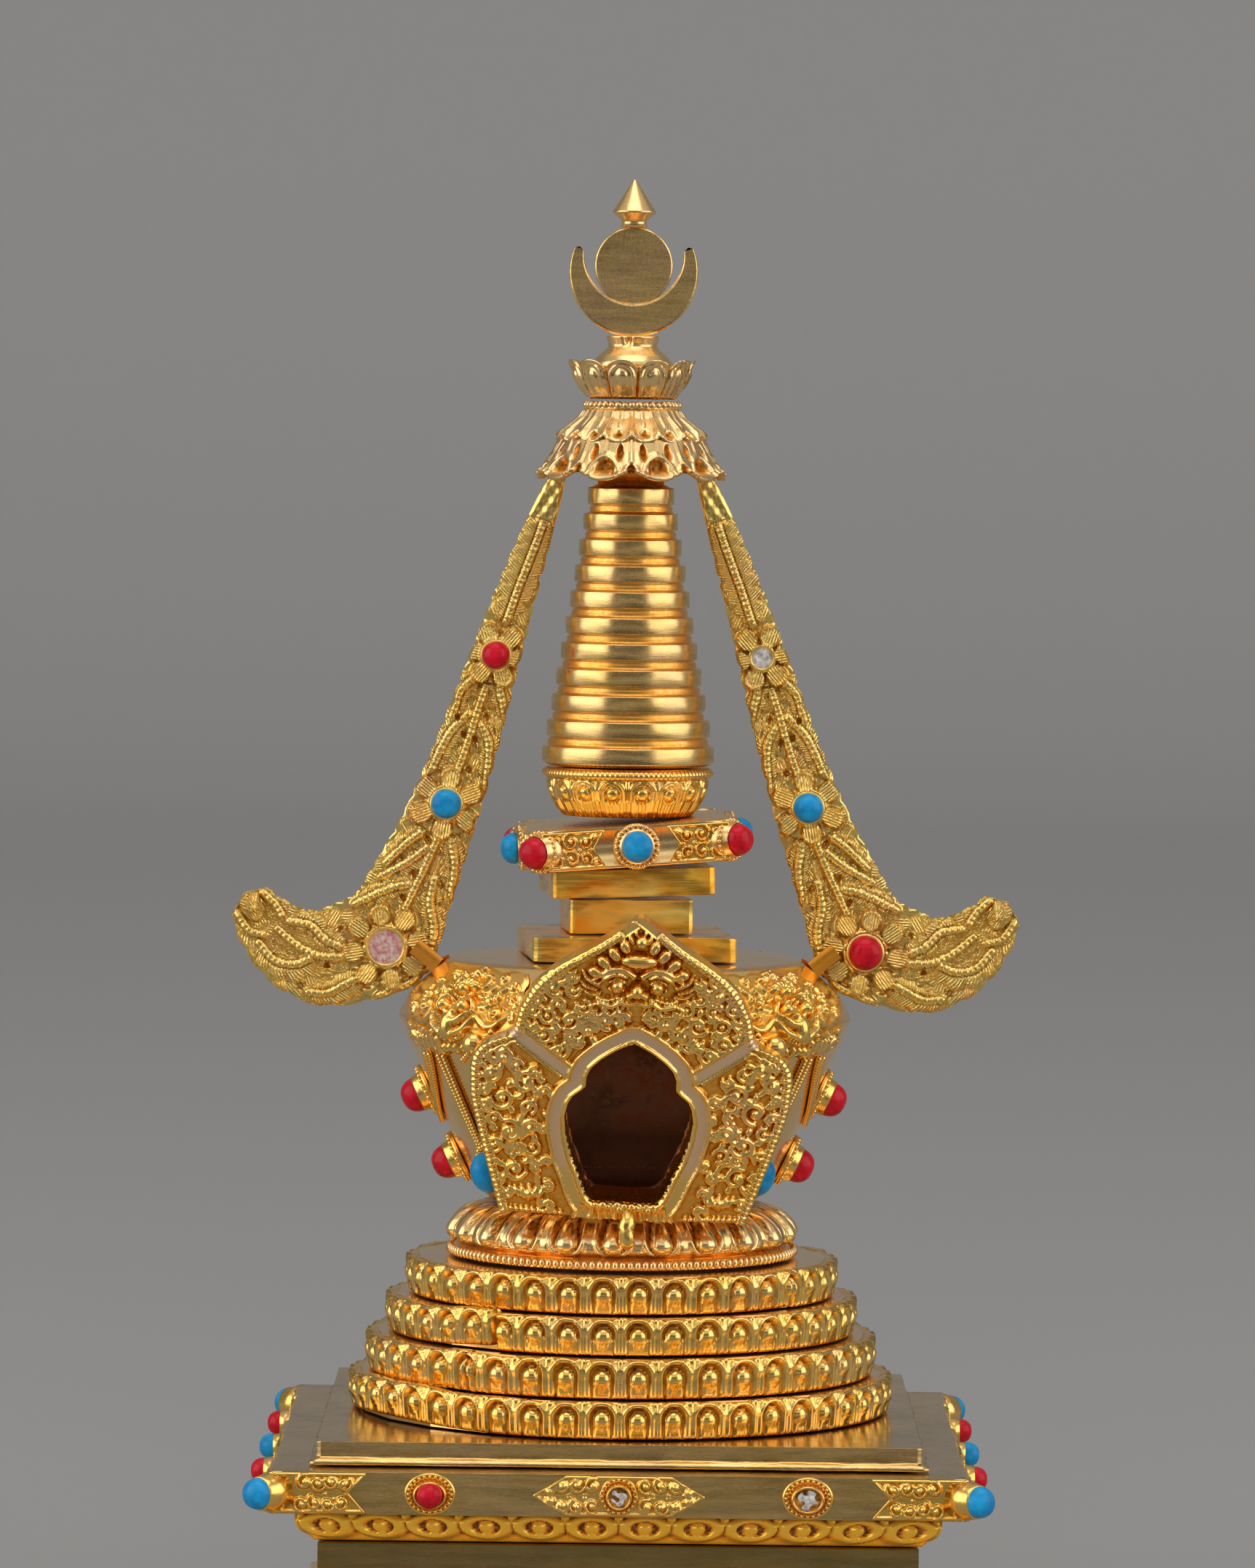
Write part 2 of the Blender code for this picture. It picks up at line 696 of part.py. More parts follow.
def dome_point(azimuth, rise, lift=0.0):
    """Point on the dome's wall, azimuth in degrees from the front towards +X, lifted off it."""
    slope = math.atan2(DOME_EDGE_RADIUS - DOME_FOOT_RADIUS, DOME_EDGE_RISE)
    radius = DOME_FOOT_RADIUS + rise * math.tan(slope) + lift * math.cos(slope)
    z = DOME_Z + rise - lift * math.sin(slope)
    turn = math.radians(azimuth)
    return Vector((radius * math.sin(turn), -radius * math.cos(turn), z))


def dome_normal(azimuth):
    slope = math.atan2(DOME_EDGE_RADIUS - DOME_FOOT_RADIUS, DOME_EDGE_RISE)
    turn = math.radians(azimuth)
    return Vector((math.sin(turn) * math.cos(slope), -math.cos(turn) * math.cos(slope), -math.sin(slope)))


def niche_outline(grow=0.0):
    """Cusped niche: a pointed upper lobe over a wide lower one, as (across, rise)."""
    half = [
        (NICHE_SILL_HALF + grow, NICHE_SILL - grow),
        (NICHE_FOOT_HALF + grow, NICHE_FOOT_RISE - grow * 0.5),
        (NICHE_HALF + grow, NICHE_WIDEST_RISE),
        (NICHE_HALF - NICHE_NARROWING + grow, NICHE_LOBE_RISE),
        (NICHE_CUSP_HALF + grow, NICHE_CUSP_RISE + grow * 0.8),
        (NICHE_CUSP_HALF - NICHE_NARROWING + grow, NICHE_CUSP_RISE + NICHE_THROAT_LIFT + grow * 0.5),
        (NICHE_CUSP_HALF * 0.62 + grow * 0.7, NICHE_CUSP_RISE + NICHE_ARCH_LIFT + grow * 0.8),
    ]
    left = [(-x, y) for x, y in reversed(half)]
    return half + [(0, NICHE_APEX_RISE + grow)] + left


def lean(point):
    """Bend a flat point (across, rise, out) onto the leaning, curved plaque."""
    across, rise, out = point
    tilt = math.radians(PLAQUE_LEAN)
    reach = PLAQUE_FOOT_REACH + rise * math.sin(tilt) + out * math.cos(tilt)
    back = PLAQUE_CURVE - math.sqrt(PLAQUE_CURVE ** 2 - across ** 2)
    return Vector((across, back - reach, DOME_Z + rise * math.cos(tilt) - out * math.sin(tilt)))


def bent(bm, step=8.0):
    """Slice a flat mesh into upright strips and bend it with lean."""
    for k in (-2, -1, 1, 2):
        geometry = bm.verts[:] + bm.edges[:] + bm.faces[:]
        bmesh.ops.bisect_plane(bm, geom=geometry, plane_co=(k * step, 0, 0), plane_no=(1, 0, 0), dist=1e-5)
    for vert in bm.verts:
        vert.co = lean(vert.co)
    return bm


def make_dome(polished):
    """Hollow dome; the niche's passage runs through its front wall into the room inside."""
    passage = prism(niche_outline(), -PASSAGE_DEPTH, PLAQUE_THICKNESS)
    for vert in passage.verts:
        vert.co = lean(vert.co)
    room = combined(revolve(dome_rows(DOME_WALL), DOME_COLUMNS), passage, "UNION")
    solid("dome", combined(revolve(dome_rows(), DOME_COLUMNS), room, "DIFFERENCE"), polished)


def plaque_outline(inset=0.0):
    """Gabled plaque as (across, rise): narrow foot, wide middle, eaves and a point."""
    half = [
        (PLAQUE_FOOT_HALF - inset, inset),
        (PLAQUE_WIDEST_HALF - inset, PLAQUE_WIDEST_RISE),
        (PLAQUE_EAVE_HALF - inset, PLAQUE_EAVE_RISE - inset * 0.3),
        (PLAQUE_EAVE_HALF * 0.72 - inset * 0.6, PLAQUE_HEIGHT - PLAQUE_GABLE_DROP - inset * 0.8),
    ]
    left = [(-x, y) for x, y in reversed(half)]
    return half + [(0, PLAQUE_HEIGHT - inset * 1.3)] + left


def boss(x, y, radius, height, columns=5):
    """Low bump on the plaque's face."""
    bump = revolve([(radius, -PLAQUE_SUNK), (radius, height * 0.3), (radius * 0.5, height)], columns)
    return moved(bump, Matrix.Translation((x, y, 0)))


def ring_plate(outer, inner, low, high):
    """Flat frame between two outlines with the same number of points."""
    bm = bmesh.new()
    levels = [[bm.verts.new((x, y, z)) for x, y in line] for line, z in (
        (outer, low), (outer, high), (inner, high), (inner, low),
    )]
    for first, second in zip(levels, levels[1:] + levels[:1]):
        span(bm, first, second)
    return bm


def make_plaque(cast):
    """Plate with a raised border, the niche's frame, two bars, a mask and scroll bosses."""
    plate = prism(plaque_outline(), -PLAQUE_THICKNESS, 0)
    collar = prism(niche_outline(COLLAR_WALL), -COLLAR_DEPTH, -PLAQUE_THICKNESS / 2)
    body = combined(plate, collar, "UNION")
    border = ring_plate(plaque_outline(), plaque_outline(PLAQUE_BORDER), -PLAQUE_SUNK, PLAQUE_RELIEF)
    body = combined(body, border, "UNION")
    rim = niche_outline(NICHE_RIM)
    rim[0] = (NICHE_FOOT_HALF + NICHE_RIM, 0.0)
    rim[-1] = (-rim[0][0], 0.0)
    body = combined(body, prism(rim, -PLAQUE_SUNK, PLAQUE_RELIEF + NICHE_RIM_LIFT), "UNION")
    parts = []
    for side in (-1, 1):
        cusp = Vector((side * (NICHE_CUSP_HALF + NICHE_RIM * 0.8), NICHE_CUSP_RISE + BAR_FOOT_LIFT))
        eave = Vector((side * (PLAQUE_EAVE_HALF - BAR_HEAD_INSET), PLAQUE_EAVE_RISE - BAR_HEAD_DROP))
        along = (eave - cusp).normalized() * BAR_WIDTH / 2
        across = Vector((-along.y, along.x))
        outline = [cusp + across, cusp - across, eave - across, eave + across]
        parts.append(prism(outline, -BAR_SUNK, PLAQUE_RELIEF + BAR_LIFT))
        for x, y, radius in PLAQUE_SCROLLS:
            parts.append(boss(side * x, y, radius, PLAQUE_RELIEF))
        x, y = PLAQUE_BROW
        parts.append(boss(side * x, y, PLAQUE_BROW_RADIUS, PLAQUE_BROW_HEIGHT, 6))
    parts.append(boss(*PLAQUE_NOSE, PLAQUE_NOSE_HEIGHT))
    parts.append(boss(*PLAQUE_CROWN, PLAQUE_CROWN_HEIGHT))
    body = combined(body, gathered(parts), "UNION")
    opening = prism(niche_outline(), -NICHE_TOOL_BACK, NICHE_TOOL_FRONT)
    body = combined(body, opening, "DIFFERENCE")
    body = bent(body)
    room = revolve(dome_rows(-GAP), DOME_COLUMNS)
    solid("niche_plaque", combined(body, room, "DIFFERENCE"), cast)


# Masks and garlands

def mask_relief(u, v):
    """Height of the mask above its plate; u runs across it and v up it, both from -1 to 1."""
    snout = math.exp(-(u / 0.34) ** 2 - ((v + 0.35) / 0.45) ** 2)
    brows = 0.8 * math.exp(-((abs(u) - 0.5) / 0.24) ** 2 - ((v - 0.3) / 0.3) ** 2)
    crown = 0.6 * math.exp(-(u / 0.3) ** 2 - ((v - 0.7) / 0.3) ** 2)
    return MASK_RELIEF * max(snout, brows, crown)


def shoulder_rows(lift):
    """Dome profile from just under its widest edge to its flat top, moved outwards by lift."""
    rows = dome_rows(-lift)
    low, high = Vector(rows[0]), Vector(rows[1])
    start = high.lerp(low, MASK_OVERHANG / DOME_EDGE_RISE)
    return [start, high, Vector(rows[2]), Vector(rows[3])]


def halved(rows):
    """Add the middle of each stretch between two rows."""
    finer = [rows[0]]
    for low, high in zip(rows, rows[1:]):
        finer += [(low + high) / 2, high]
    return finer


def mask_sheet(bm, rows, columns, azimuth, relief):
    """Grid of points over the dome's shoulder, narrower towards the top."""
    sheet = []
    for j, row in enumerate(rows):
        v = 2 * j / (len(rows) - 1) - 1
        spread = 0.8 + 0.2 * math.cos(v * 1.2) - 0.2 * max(v, 0)
        line = []
        for i in range(columns + 1):
            u = 2 * i / columns - 1
            rise = relief(u, v) if abs(u) < 1 and abs(v) < 1 else 0.0
            turn = math.radians(azimuth + u * spread * MASK_HALF_ANGLE)
            radius = row.x + rise * 0.75
            place = (radius * math.sin(turn), -radius * math.cos(turn), row.y + rise * 0.65)
            line.append(bm.verts.new(place))
        sheet.append(line)
    for below, above in zip(sheet, sheet[1:]):
        for i in range(columns):
            bm.faces.new((below[i], below[i + 1], above[i + 1], above[i]))
    right = [line[-1] for line in sheet[1:-1]]
    left = [line[0] for line in reversed(sheet[1:-1])]
    return sheet[0] + right + sheet[-1][::-1] + left


def make_mask(name, azimuth, ball_side, cast):
    bm = bmesh.new()
    face = mask_sheet(bm, halved(shoulder_rows(GAP + MASK_BODY)), 2 * MASK_COLUMNS, azimuth, mask_relief)
    back = mask_sheet(bm, shoulder_rows(GAP), MASK_COLUMNS, azimuth, lambda u, v: 0.0)
    span(bm, back, face)
    ball = revolve([
        (0, -MASK_BALL_RADIUS), (MASK_BALL_RADIUS * 0.85, -MASK_BALL_RADIUS * 0.5),
        (MASK_BALL_RADIUS * 0.85, MASK_BALL_RADIUS * 0.5), (0, MASK_BALL_RADIUS),
    ], 6)
    place = dome_point(azimuth + ball_side * MASK_BALL_TURN, DOME_EDGE_RISE - 1.0, MASK_BALL_RADIUS + 0.6)
    solid(name, combined(bm, moved(ball, Matrix.Translation(place)), "UNION"), cast)


def jewel(azimuth, rise):
    """Beaded ring, collar and stone standing off the dome's wall."""
    made = setting(SETTING_RADIUS, COLLAR_RADIUS, SETTING_HEIGHT, DOME_STONE_RADIUS, sunk=0.0)
    return moved(made, facing(dome_point(azimuth, rise, GAP + JEWEL_LIFT), dome_normal(azimuth)))


def string(start, end, steps=4):
    """Bead string on the dome from one (azimuth, rise) to another, drawn as a thin tube."""
    points = []
    for i in range(steps + 1):
        share = i / steps
        azimuth = start[0] + (end[0] - start[0]) * (share ** 1.3)
        rise = start[1] + (end[1] - start[1]) * share
        points.append(dome_point(azimuth, rise, GAP + STRING_RADIUS + STRING_CLEARANCE))
    return tube(points, STRING_RADIUS)


def make_garlands(cast):
    ring = math.degrees(SETTING_RADIUS / DOME_EDGE_RADIUS)
    reach = MASK_HALF_ANGLE * 0.75
    for name, azimuth, first, second in (
        ("left", -90, -MASK_AZIMUTH - reach, -180 + MASK_AZIMUTH + reach),
        ("right", 90, MASK_AZIMUTH + reach, 180 - MASK_AZIMUTH - reach),
        ("back", 180, 180 - MASK_AZIMUTH + reach, 180 + MASK_AZIMUTH - reach),
    ):
        strings = []
        for top in (first, second):
            foot = azimuth + math.copysign(ring * 0.3, top - azimuth)
            strings.append(string((top, STRING_TOP_RISE), (foot, UPPER_JEWEL_RISE)))
        body = combined(jewel(azimuth, UPPER_JEWEL_RISE), gathered(strings), "UNION")
        solid(f"garland_{name}", body, cast)
        solid(f"jewel_{name}", jewel(azimuth, LOWER_JEWEL_RISE), cast)
    for name, x, y in CORNERS:
        azimuth = x * (MASK_AZIMUTH if y < 0 else 180 - MASK_AZIMUTH)
        strings = [
            string((azimuth + side * MASK_HALF_ANGLE * 0.4, STRING_TOP_RISE),
                   (azimuth + side * ring, LOWER_JEWEL_RISE + 1.0))
            for side in (-1, 1)
        ]
        body = combined(jewel(azimuth, LOWER_JEWEL_RISE), gathered(strings), "UNION")
        solid(f"drop_{name}", body, cast)


# Square terrace

def harmika_side(turn):
    half = HARMIKA_CORNICE_WIDTH / 2
    half_height = HARMIKA_CORNICE_HEIGHT / 2 - ORNAMENT_MARGIN
    front = facing((0, -half, 0), (0, -1, 0))
    parts = []
    for side in (-1, 1):
        tail = swallow_tail(HARMIKA_PANEL_LENGTH, half_height, CORNER_NOTCH * 0.7)
        outline = [(side * (half - HARMIKA_CHAMFER * 0.6 - x), y) for x, y in tail]
        parts.append(moved(prism(outline, -0.4, ORNAMENT_HEIGHT * 0.8), front))
    stone = HARMIKA_STONE_RADIUS
    rim = stone + HARMIKA_RING_WALL
    ring = revolve([(rim, -ORNAMENT_SUNK), (rim, ORNAMENT_HEIGHT * 0.6), (stone, ORNAMENT_HEIGHT)], 6)
    parts.append(moved(ring, front))
    return moved(gathered(parts), Matrix.Rotation(turn, 4, "Z"))


def harmika_collar(turn):
    """Collar that holds the jewel of one corner."""
    corner = (HARMIKA_CORNICE_WIDTH - HARMIKA_CHAMFER) / 2
    radius = HARMIKA_STONE_RADIUS + HARMIKA_COLLAR_WALL
    collar = revolve([(radius, -HARMIKA_COLLAR_SUNK), (radius, HARMIKA_COLLAR_HEIGHT)], 6)
    moved(collar, facing((corner, corner, 0), (1, 1, 0)))
    return moved(collar, Matrix.Rotation(turn, 4, "Z"))


def make_harmika(polished, cast, red, blue):
    blocks = (
        ("harmika_plinth", HARMIKA_PLINTH_WIDTH, HARMIKA_PLINTH_HEIGHT, HARMIKA_PLINTH_Z),
        ("harmika_neck", HARMIKA_NECK_WIDTH, HARMIKA_NECK_HEIGHT, HARMIKA_NECK_Z),
    )
    for name, width, height, bottom in blocks:
        solid(name, slab(width, height), polished, (0, 0, bottom), (0, 0, HARMIKA_TURN))
    step = slab(HARMIKA_STEP_WIDTH, HARMIKA_STEP_HEIGHT, -HARMIKA_STEP_HEIGHT / 2)
    lean_step = (0, -HARMIKA_STEP_TILT, HARMIKA_TURN)
    solid("harmika_step", step, polished, (0, 0, HARMIKA_STEP_MIDDLE), lean_step)
    height = HARMIKA_CORNICE_HEIGHT
    half = HARMIKA_CORNICE_WIDTH / 2
    cut = half - HARMIKA_CHAMFER
    outline = [
        (-cut, -half), (cut, -half), (half, -cut), (half, cut),
        (cut, half), (-cut, half), (-half, cut), (-half, -cut),
    ]
    plate = prism(outline, -height / 2, height / 2)
    sides = [harmika_side(k * math.pi / 2) for k in range(4)]
    cornice = combined(plate, gathered(sides), "UNION")
    collars = [harmika_collar(k * math.pi / 2) for k in range(4)]
    cornice = combined(cornice, gathered(collars), "UNION")
    middle = (0, 0, HARMIKA_MIDDLE)
    tilt = (0, -HARMIKA_TILT, HARMIKA_TURN)
    solid("harmika_cornice", cornice, cast, middle, tilt)
    corner = half - HARMIKA_CHAMFER / 2
    spots = (
        ("side", half, 0, ORNAMENT_HEIGHT + GAP, blue),
        ("corner", corner, corner, HARMIKA_COLLAR_HEIGHT + GAP, red),
    )
    for kind, x, y, lift, surface in spots:
        for k, where in enumerate(("right", "back", "left", "front")):
            turn = Matrix.Rotation(k * math.pi / 2, 4, "Z")
            outward = turn @ Vector((x, y, 0)).normalized()
            origin = turn @ Vector((x, y, 0)) + outward * lift
            stone = cabochon(HARMIKA_STONE_RADIUS, HARMIKA_STONE_RADIUS * 0.95)
            stone = moved(stone, facing(origin, outward))
            solid(f"harmika_stone_{kind}_{where}", stone, surface, middle, tilt)


# Spire, canopy and finial

def ring_radius(index):
    return RING_RADIUS - RING_TAPER * index + RING_EASE * index ** 2


def make_spire(polished, cast):
    def lobes(angle, radius, z, row):
        if row == 1:
            return radius - BOWL_CARVE * (1 - petal(angle, BOWL_PETALS)), z
        return radius, z

    top = BOWL_Z + BOWL_HEIGHT
    solid("spire_lotus", revolve([
        (BOWL_FOOT_RADIUS, BOWL_Z, BOWL_PETALS), (BOWL_RADIUS, BOWL_Z + BOWL_HEIGHT * BOWL_WIDEST_SHARE),
        (BOWL_RADIUS, top), (BEAD_BAND_RADIUS, top + BEAD_BAND_HEIGHT / 2, BOWL_PETALS),
        (BOWL_RADIUS, top + BEAD_BAND_HEIGHT, BOWL_PETALS),
    ], 2 * BOWL_PETALS, lobes), cast)
    rows = [(ring_radius(0) - RING_GROOVE, SPIRE_Z)]
    for index in range(RING_COUNT):
        bottom = RINGS_Z + index * RING_PITCH
        radius = ring_radius(index)
        rows.append((radius, bottom))
        rows.append((radius - RING_FALL, bottom + RING_HEIGHT))
        rows.append((radius - RING_FALL - RING_GROOVE, bottom + RING_HEIGHT + RING_BEVEL))
    end = RINGS_Z + RING_COUNT * RING_PITCH
    rows[-1] = (SPIRE_TOP_RADIUS, rows[-1][1])
    rows.append((SPIRE_TOP_RADIUS - SPIRE_TOP_TAPER, end + SPIRE_TOP_HEIGHT - RING_PITCH))
    solid("spire", revolve(rows, SPIRE_COLUMNS), polished)


def make_canopy(cast):
    def scallops(angle, radius, z, row):
        if row in (0, 1):
            lift = CANOPY_SCALLOP_LIFT * (1 - petal(angle, CANOPY_SCALLOPS))
            return radius - lift * 0.5, z + lift
        return radius, z

    top = CANOPY_Z + CANOPY_HEIGHT
    tier = top - CANOPY_TIER_DROP
    bead = top + CANOPY_BEAD_HEIGHT / 2
    inner_top = CANOPY_Z + CANOPY_HOLLOW
    count = CANOPY_SCALLOPS
    solid("canopy", revolve([
        (0, inner_top, count), (CANOPY_TIER_RADIUS - 2 * CANOPY_WALL, inner_top, count),
        (CANOPY_RIM_RADIUS - CANOPY_WALL, CANOPY_Z), (CANOPY_RIM_RADIUS, CANOPY_Z),
        (CANOPY_RIM_RADIUS - CANOPY_LIP_INSET, CANOPY_Z + CANOPY_LIP_RISE), (CANOPY_TIER_RADIUS, tier, count),
        (CANOPY_TIER_RADIUS - CANOPY_TIER_INSET, tier + CANOPY_TIER_RISE, count),
        (CANOPY_TOP_RADIUS, top, count),
        (CANOPY_BEAD_RADIUS, bead, count), (CANOPY_TOP_RADIUS, top + CANOPY_BEAD_HEIGHT, count),
    ], 2 * count, lambda a, r, z, i: scallops(a, r, z, i - 2)), cast)


def make_finial(polished, cast):
    def lobes(angle, radius, z, row):
        if row in (2, 3):
            return radius, z - CUP_CARVE * (1 - petal(angle, CUP_PETALS))
        if row == 1:
            return radius + CUP_SWELL * petal(angle, CUP_PETALS), z
        return radius, z

    top = CUP_Z + CUP_HEIGHT
    solid("lotus_cup", revolve([
        (CUP_FOOT_RADIUS, CUP_Z, CUP_PETALS), (CUP_FOOT_RADIUS + CUP_FLARE, CUP_Z + CUP_HEIGHT * 0.5),
        (CUP_RADIUS, top), (CUP_RADIUS - CUP_WALL, top),
        (CAP_RADIUS + CAP_CLEARANCE, top - CUP_DEPTH, CUP_PETALS),
    ], 2 * CUP_PETALS, lobes), cast)
    solid("finial_cap", revolve([
        (CAP_RADIUS, CAP_Z), (CAP_RADIUS * 0.93, CAP_Z + CAP_SHOULDER_RISE),
        (CAP_NECK_RADIUS + 0.2, CAP_Z + CAP_WAIST_RISE), (CAP_NECK_RADIUS, CAP_Z + CAP_HEIGHT),
    ], 12), polished)
    upright = facing((0, 0, 0), (0, -1, 0))
    half = PLATE_THICKNESS / 2
    horn = math.asin(MOON_HORN_RISE / MOON_RADIUS)
    inner_horn = math.asin((MOON_HORN_RISE - MOON_CUT_RISE) / MOON_CUT_RADIUS)
    outline = arc(MOON_RADIUS, 0, math.pi - horn, math.tau + horn, 16)
    outline += arc(MOON_CUT_RADIUS, MOON_CUT_RISE, math.tau + inner_horn, math.pi - inner_horn, 12)
    moon = moved(prism(outline, -half, half), Matrix.Translation((0, 0, MOON_Z)) @ upright)
    solid("crescent_moon", moon, polished)
    sun = revolve([(SUN_RADIUS, -half), (SUN_RADIUS, half)], 18)
    solid("sun_disc", moved(sun, Matrix.Translation((0, 0, SUN_Z)) @ upright), polished)
    solid("finial_jewel", revolve([
        (JEWEL_NECK_RADIUS, JEWEL_Z), (JEWEL_NECK_RADIUS, JEWEL_Z + JEWEL_NECK_HEIGHT),
        (JEWEL_RADIUS, JEWEL_Z + JEWEL_WIDEST_RISE), (JEWEL_POINT_RADIUS, JEWEL_Z + JEWEL_HEIGHT),
    ], 12), polished)


def arc(radius, rise, start, end, steps):
    """Points of an arc about (0, rise), from one angle to another."""
    points = []
    for i in range(steps + 1):
        turn = start + (end - start) * i / steps
        points.append((radius * math.cos(turn), rise + radius * math.sin(turn)))
    return points


# Streamers

def streamer_anchors():
    """Top, elbow and tip of the right streamer, as (across, height)."""
    dome_top = DOME_Z + DOME_HEIGHT
    top = Vector((STREAMER_TOP_REACH, CANOPY_Z + STREAMER_TOP_RISE))
    elbow = Vector((DOME_TOP_RADIUS + STREAMER_ELBOW_REACH, dome_top + STREAMER_ELBOW_RISE))
    tip = elbow + Vector((STREAMER_TIP_REACH, STREAMER_TIP_RISE))
    return top, elbow, tip


def limb(share):
    """Middle and half width of the long limb, from the canopy (0) to the elbow (1)."""
    top, elbow, tip = streamer_anchors()
    point = top.lerp(elbow, share)
    point.x -= STREAMER_BOW * math.sin(math.pi * share ** 2)
    grow = 0.765 * share ** 0.75 + 0.235 * share ** 8
    half = STREAMER_TOP_HALF + (STREAMER_ELBOW_HALF - STREAMER_TOP_HALF) * grow
    return point, half


def tail(share):
    """Middle and half width of the upturned tail, from the elbow (0) to the tip (1)."""
    top, elbow, tip = streamer_anchors()
    bend = Vector((elbow.x + (tip.x - elbow.x) * 0.61, elbow.y - STREAMER_SAG))
    point = elbow.lerp(bend, share).lerp(bend.lerp(tip, share), share)
    narrowing = 0.78 * share + 0.22 * share ** 4
    half = STREAMER_ELBOW_HALF + (STREAMER_TIP_HALF - STREAMER_ELBOW_HALF) * narrowing
    return point, half


def make_streamer(name, side, lost, cast, red, blue):
    stations = [limb(k / 9) for k in range(9)] + [limb(0.985)]
    stations += [tail(k / 6) for k in range(2, 7)]
    section = ((-1, 0.5), (0, 1.0), (1, 0.5), (1, -0.5), (0, -1), (-1, -0.5))
    bm = bmesh.new()
    rings = []
    for k, (point, half) in enumerate(stations):
        after = stations[min(k + 1, len(stations) - 1)][0]
        before = stations[max(k - 1, 0)][0]
        across = (after - before).normalized().orthogonal()
        ring = []
        for width, depth in section:
            spot = point + across * width * half
            ring.append(bm.verts.new((side * spot.x, -depth * STREAMER_THICKNESS, spot.y)))
        rings.append(ring)
    for lower, upper in zip(rings, rings[1:]):
        span(bm, lower, upper)
    bm.faces.new(rings[0])
    bm.faces.new(rings[-1])
    face = STREAMER_THICKNESS
    flowers = []
    for number, (place, radius, stone) in enumerate(zip(FLOWER_PLACES, FLOWER_RADII, STREAMER_STONE_RADII)):
        spot = limb(place)[0]
        front = facing((side * spot.x, -face, spot.y), (0, -1, 0))
        flower = revolve([
            (radius, -STREAMER_THICKNESS * 0.75), (radius, FLOWER_HEIGHT * 0.7),
            (stone + COLLAR_LIP, FLOWER_HEIGHT),
        ], 8)
        flowers.append(moved(flower, front))
        if number != lost:
            surface = blue if number == 1 else red
            gem = moved(cabochon(stone, stone * 0.9), front @ Matrix.Translation((0, 0, FLOWER_HEIGHT + GAP)))
            solid(f"streamer_stone_{name}_{number + 1}", gem, surface)
    solid(f"streamer_{name}", combined(bm, gathered(flowers), "UNION"), cast)


def make_clip(name, side, copper):
    """Copper strap from the streamer's front face to the dome's shoulder."""
    elbow = streamer_anchors()[1]
    edge = DOME_Z + DOME_HEIGHT
    face = STREAMER_THICKNESS + FLOWER_HEIGHT + GAP + CLIP_THICKNESS / 2
    start = Vector((elbow.x - CLIP_START_REACH, -face, elbow.y - CLIP_START_DROP))
    bend = Vector((DOME_TOP_RADIUS + CLIP_BEND_REACH, -face - CLIP_SPREAD, edge - CLIP_BEND_DROP))
    end = Vector((DOME_TOP_RADIUS - CLIP_END_INSET, -face - 2 * CLIP_SPREAD, edge + GAP + CLIP_THICKNESS))
    rings = []
    bm = bmesh.new()
    for point, thick in ((start, (0, 1, 0)), (bend, (0.3, 0.8, -0.5)), (end, (0, 0.25, -1))):
        normal = Vector(thick).normalized() * CLIP_THICKNESS / 2
        run = (end - start).normalized()
        width = run.cross(normal).normalized() * CLIP_WIDTH / 2
        outside = (point + normal + width, point + normal - width)
        corners = outside + (point - normal - width, point - normal + width)
        rings.append([bm.verts.new((side * c.x, c.y, c.z)) for c in corners])
    for lower, upper in zip(rings, rings[1:]):
        span(bm, lower, upper)
    bm.faces.new(rings[0])
    bm.faces.new(rings[-1])
    solid(f"clip_{name}", bm, copper)


def main():
    for old in list(bpy.data.objects):
        bpy.data.objects.remove(old)
    polished = material("gilt_polished", (0.90, 0.66, 0.28), 0.18, 1.0)
    cast = material("gilt_cast", (0.92, 0.64, 0.22), 0.28, 1.0)
    copper = material("bare_copper", (0.80, 0.38, 0.14), 0.35, 1.0)
    red = material("coral_red", (0.60, 0.01, 0.03), 0.25, 0.0)
    blue = material("turquoise_blue", (0.02, 0.30, 0.62), 0.28, 0.0)
    make_base(polished, cast)
    make_steps(polished, cast)
    make_lotus(cast)
    make_dome(polished)
    make_plaque(cast)
    for name, x, y in CORNERS:
        azimuth = x * (MASK_AZIMUTH if y < 0 else 180 - MASK_AZIMUTH)
        make_mask(f"mask_{name}", azimuth, -x if y < 0 else x, cast)
    make_garlands(cast)
    make_harmika(polished, cast, red, blue)
    make_spire(polished, cast)
    make_canopy(cast)
    make_finial(polished, cast)
    for name, side in SIDES:
        make_streamer(name, side, 2 if side < 0 else 0, cast, red, blue)
        make_clip(name, side, copper)


main()
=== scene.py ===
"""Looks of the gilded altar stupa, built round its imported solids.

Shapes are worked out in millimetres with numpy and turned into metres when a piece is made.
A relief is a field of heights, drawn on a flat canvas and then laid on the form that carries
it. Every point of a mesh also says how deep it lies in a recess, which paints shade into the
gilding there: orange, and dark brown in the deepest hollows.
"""

import json
import math

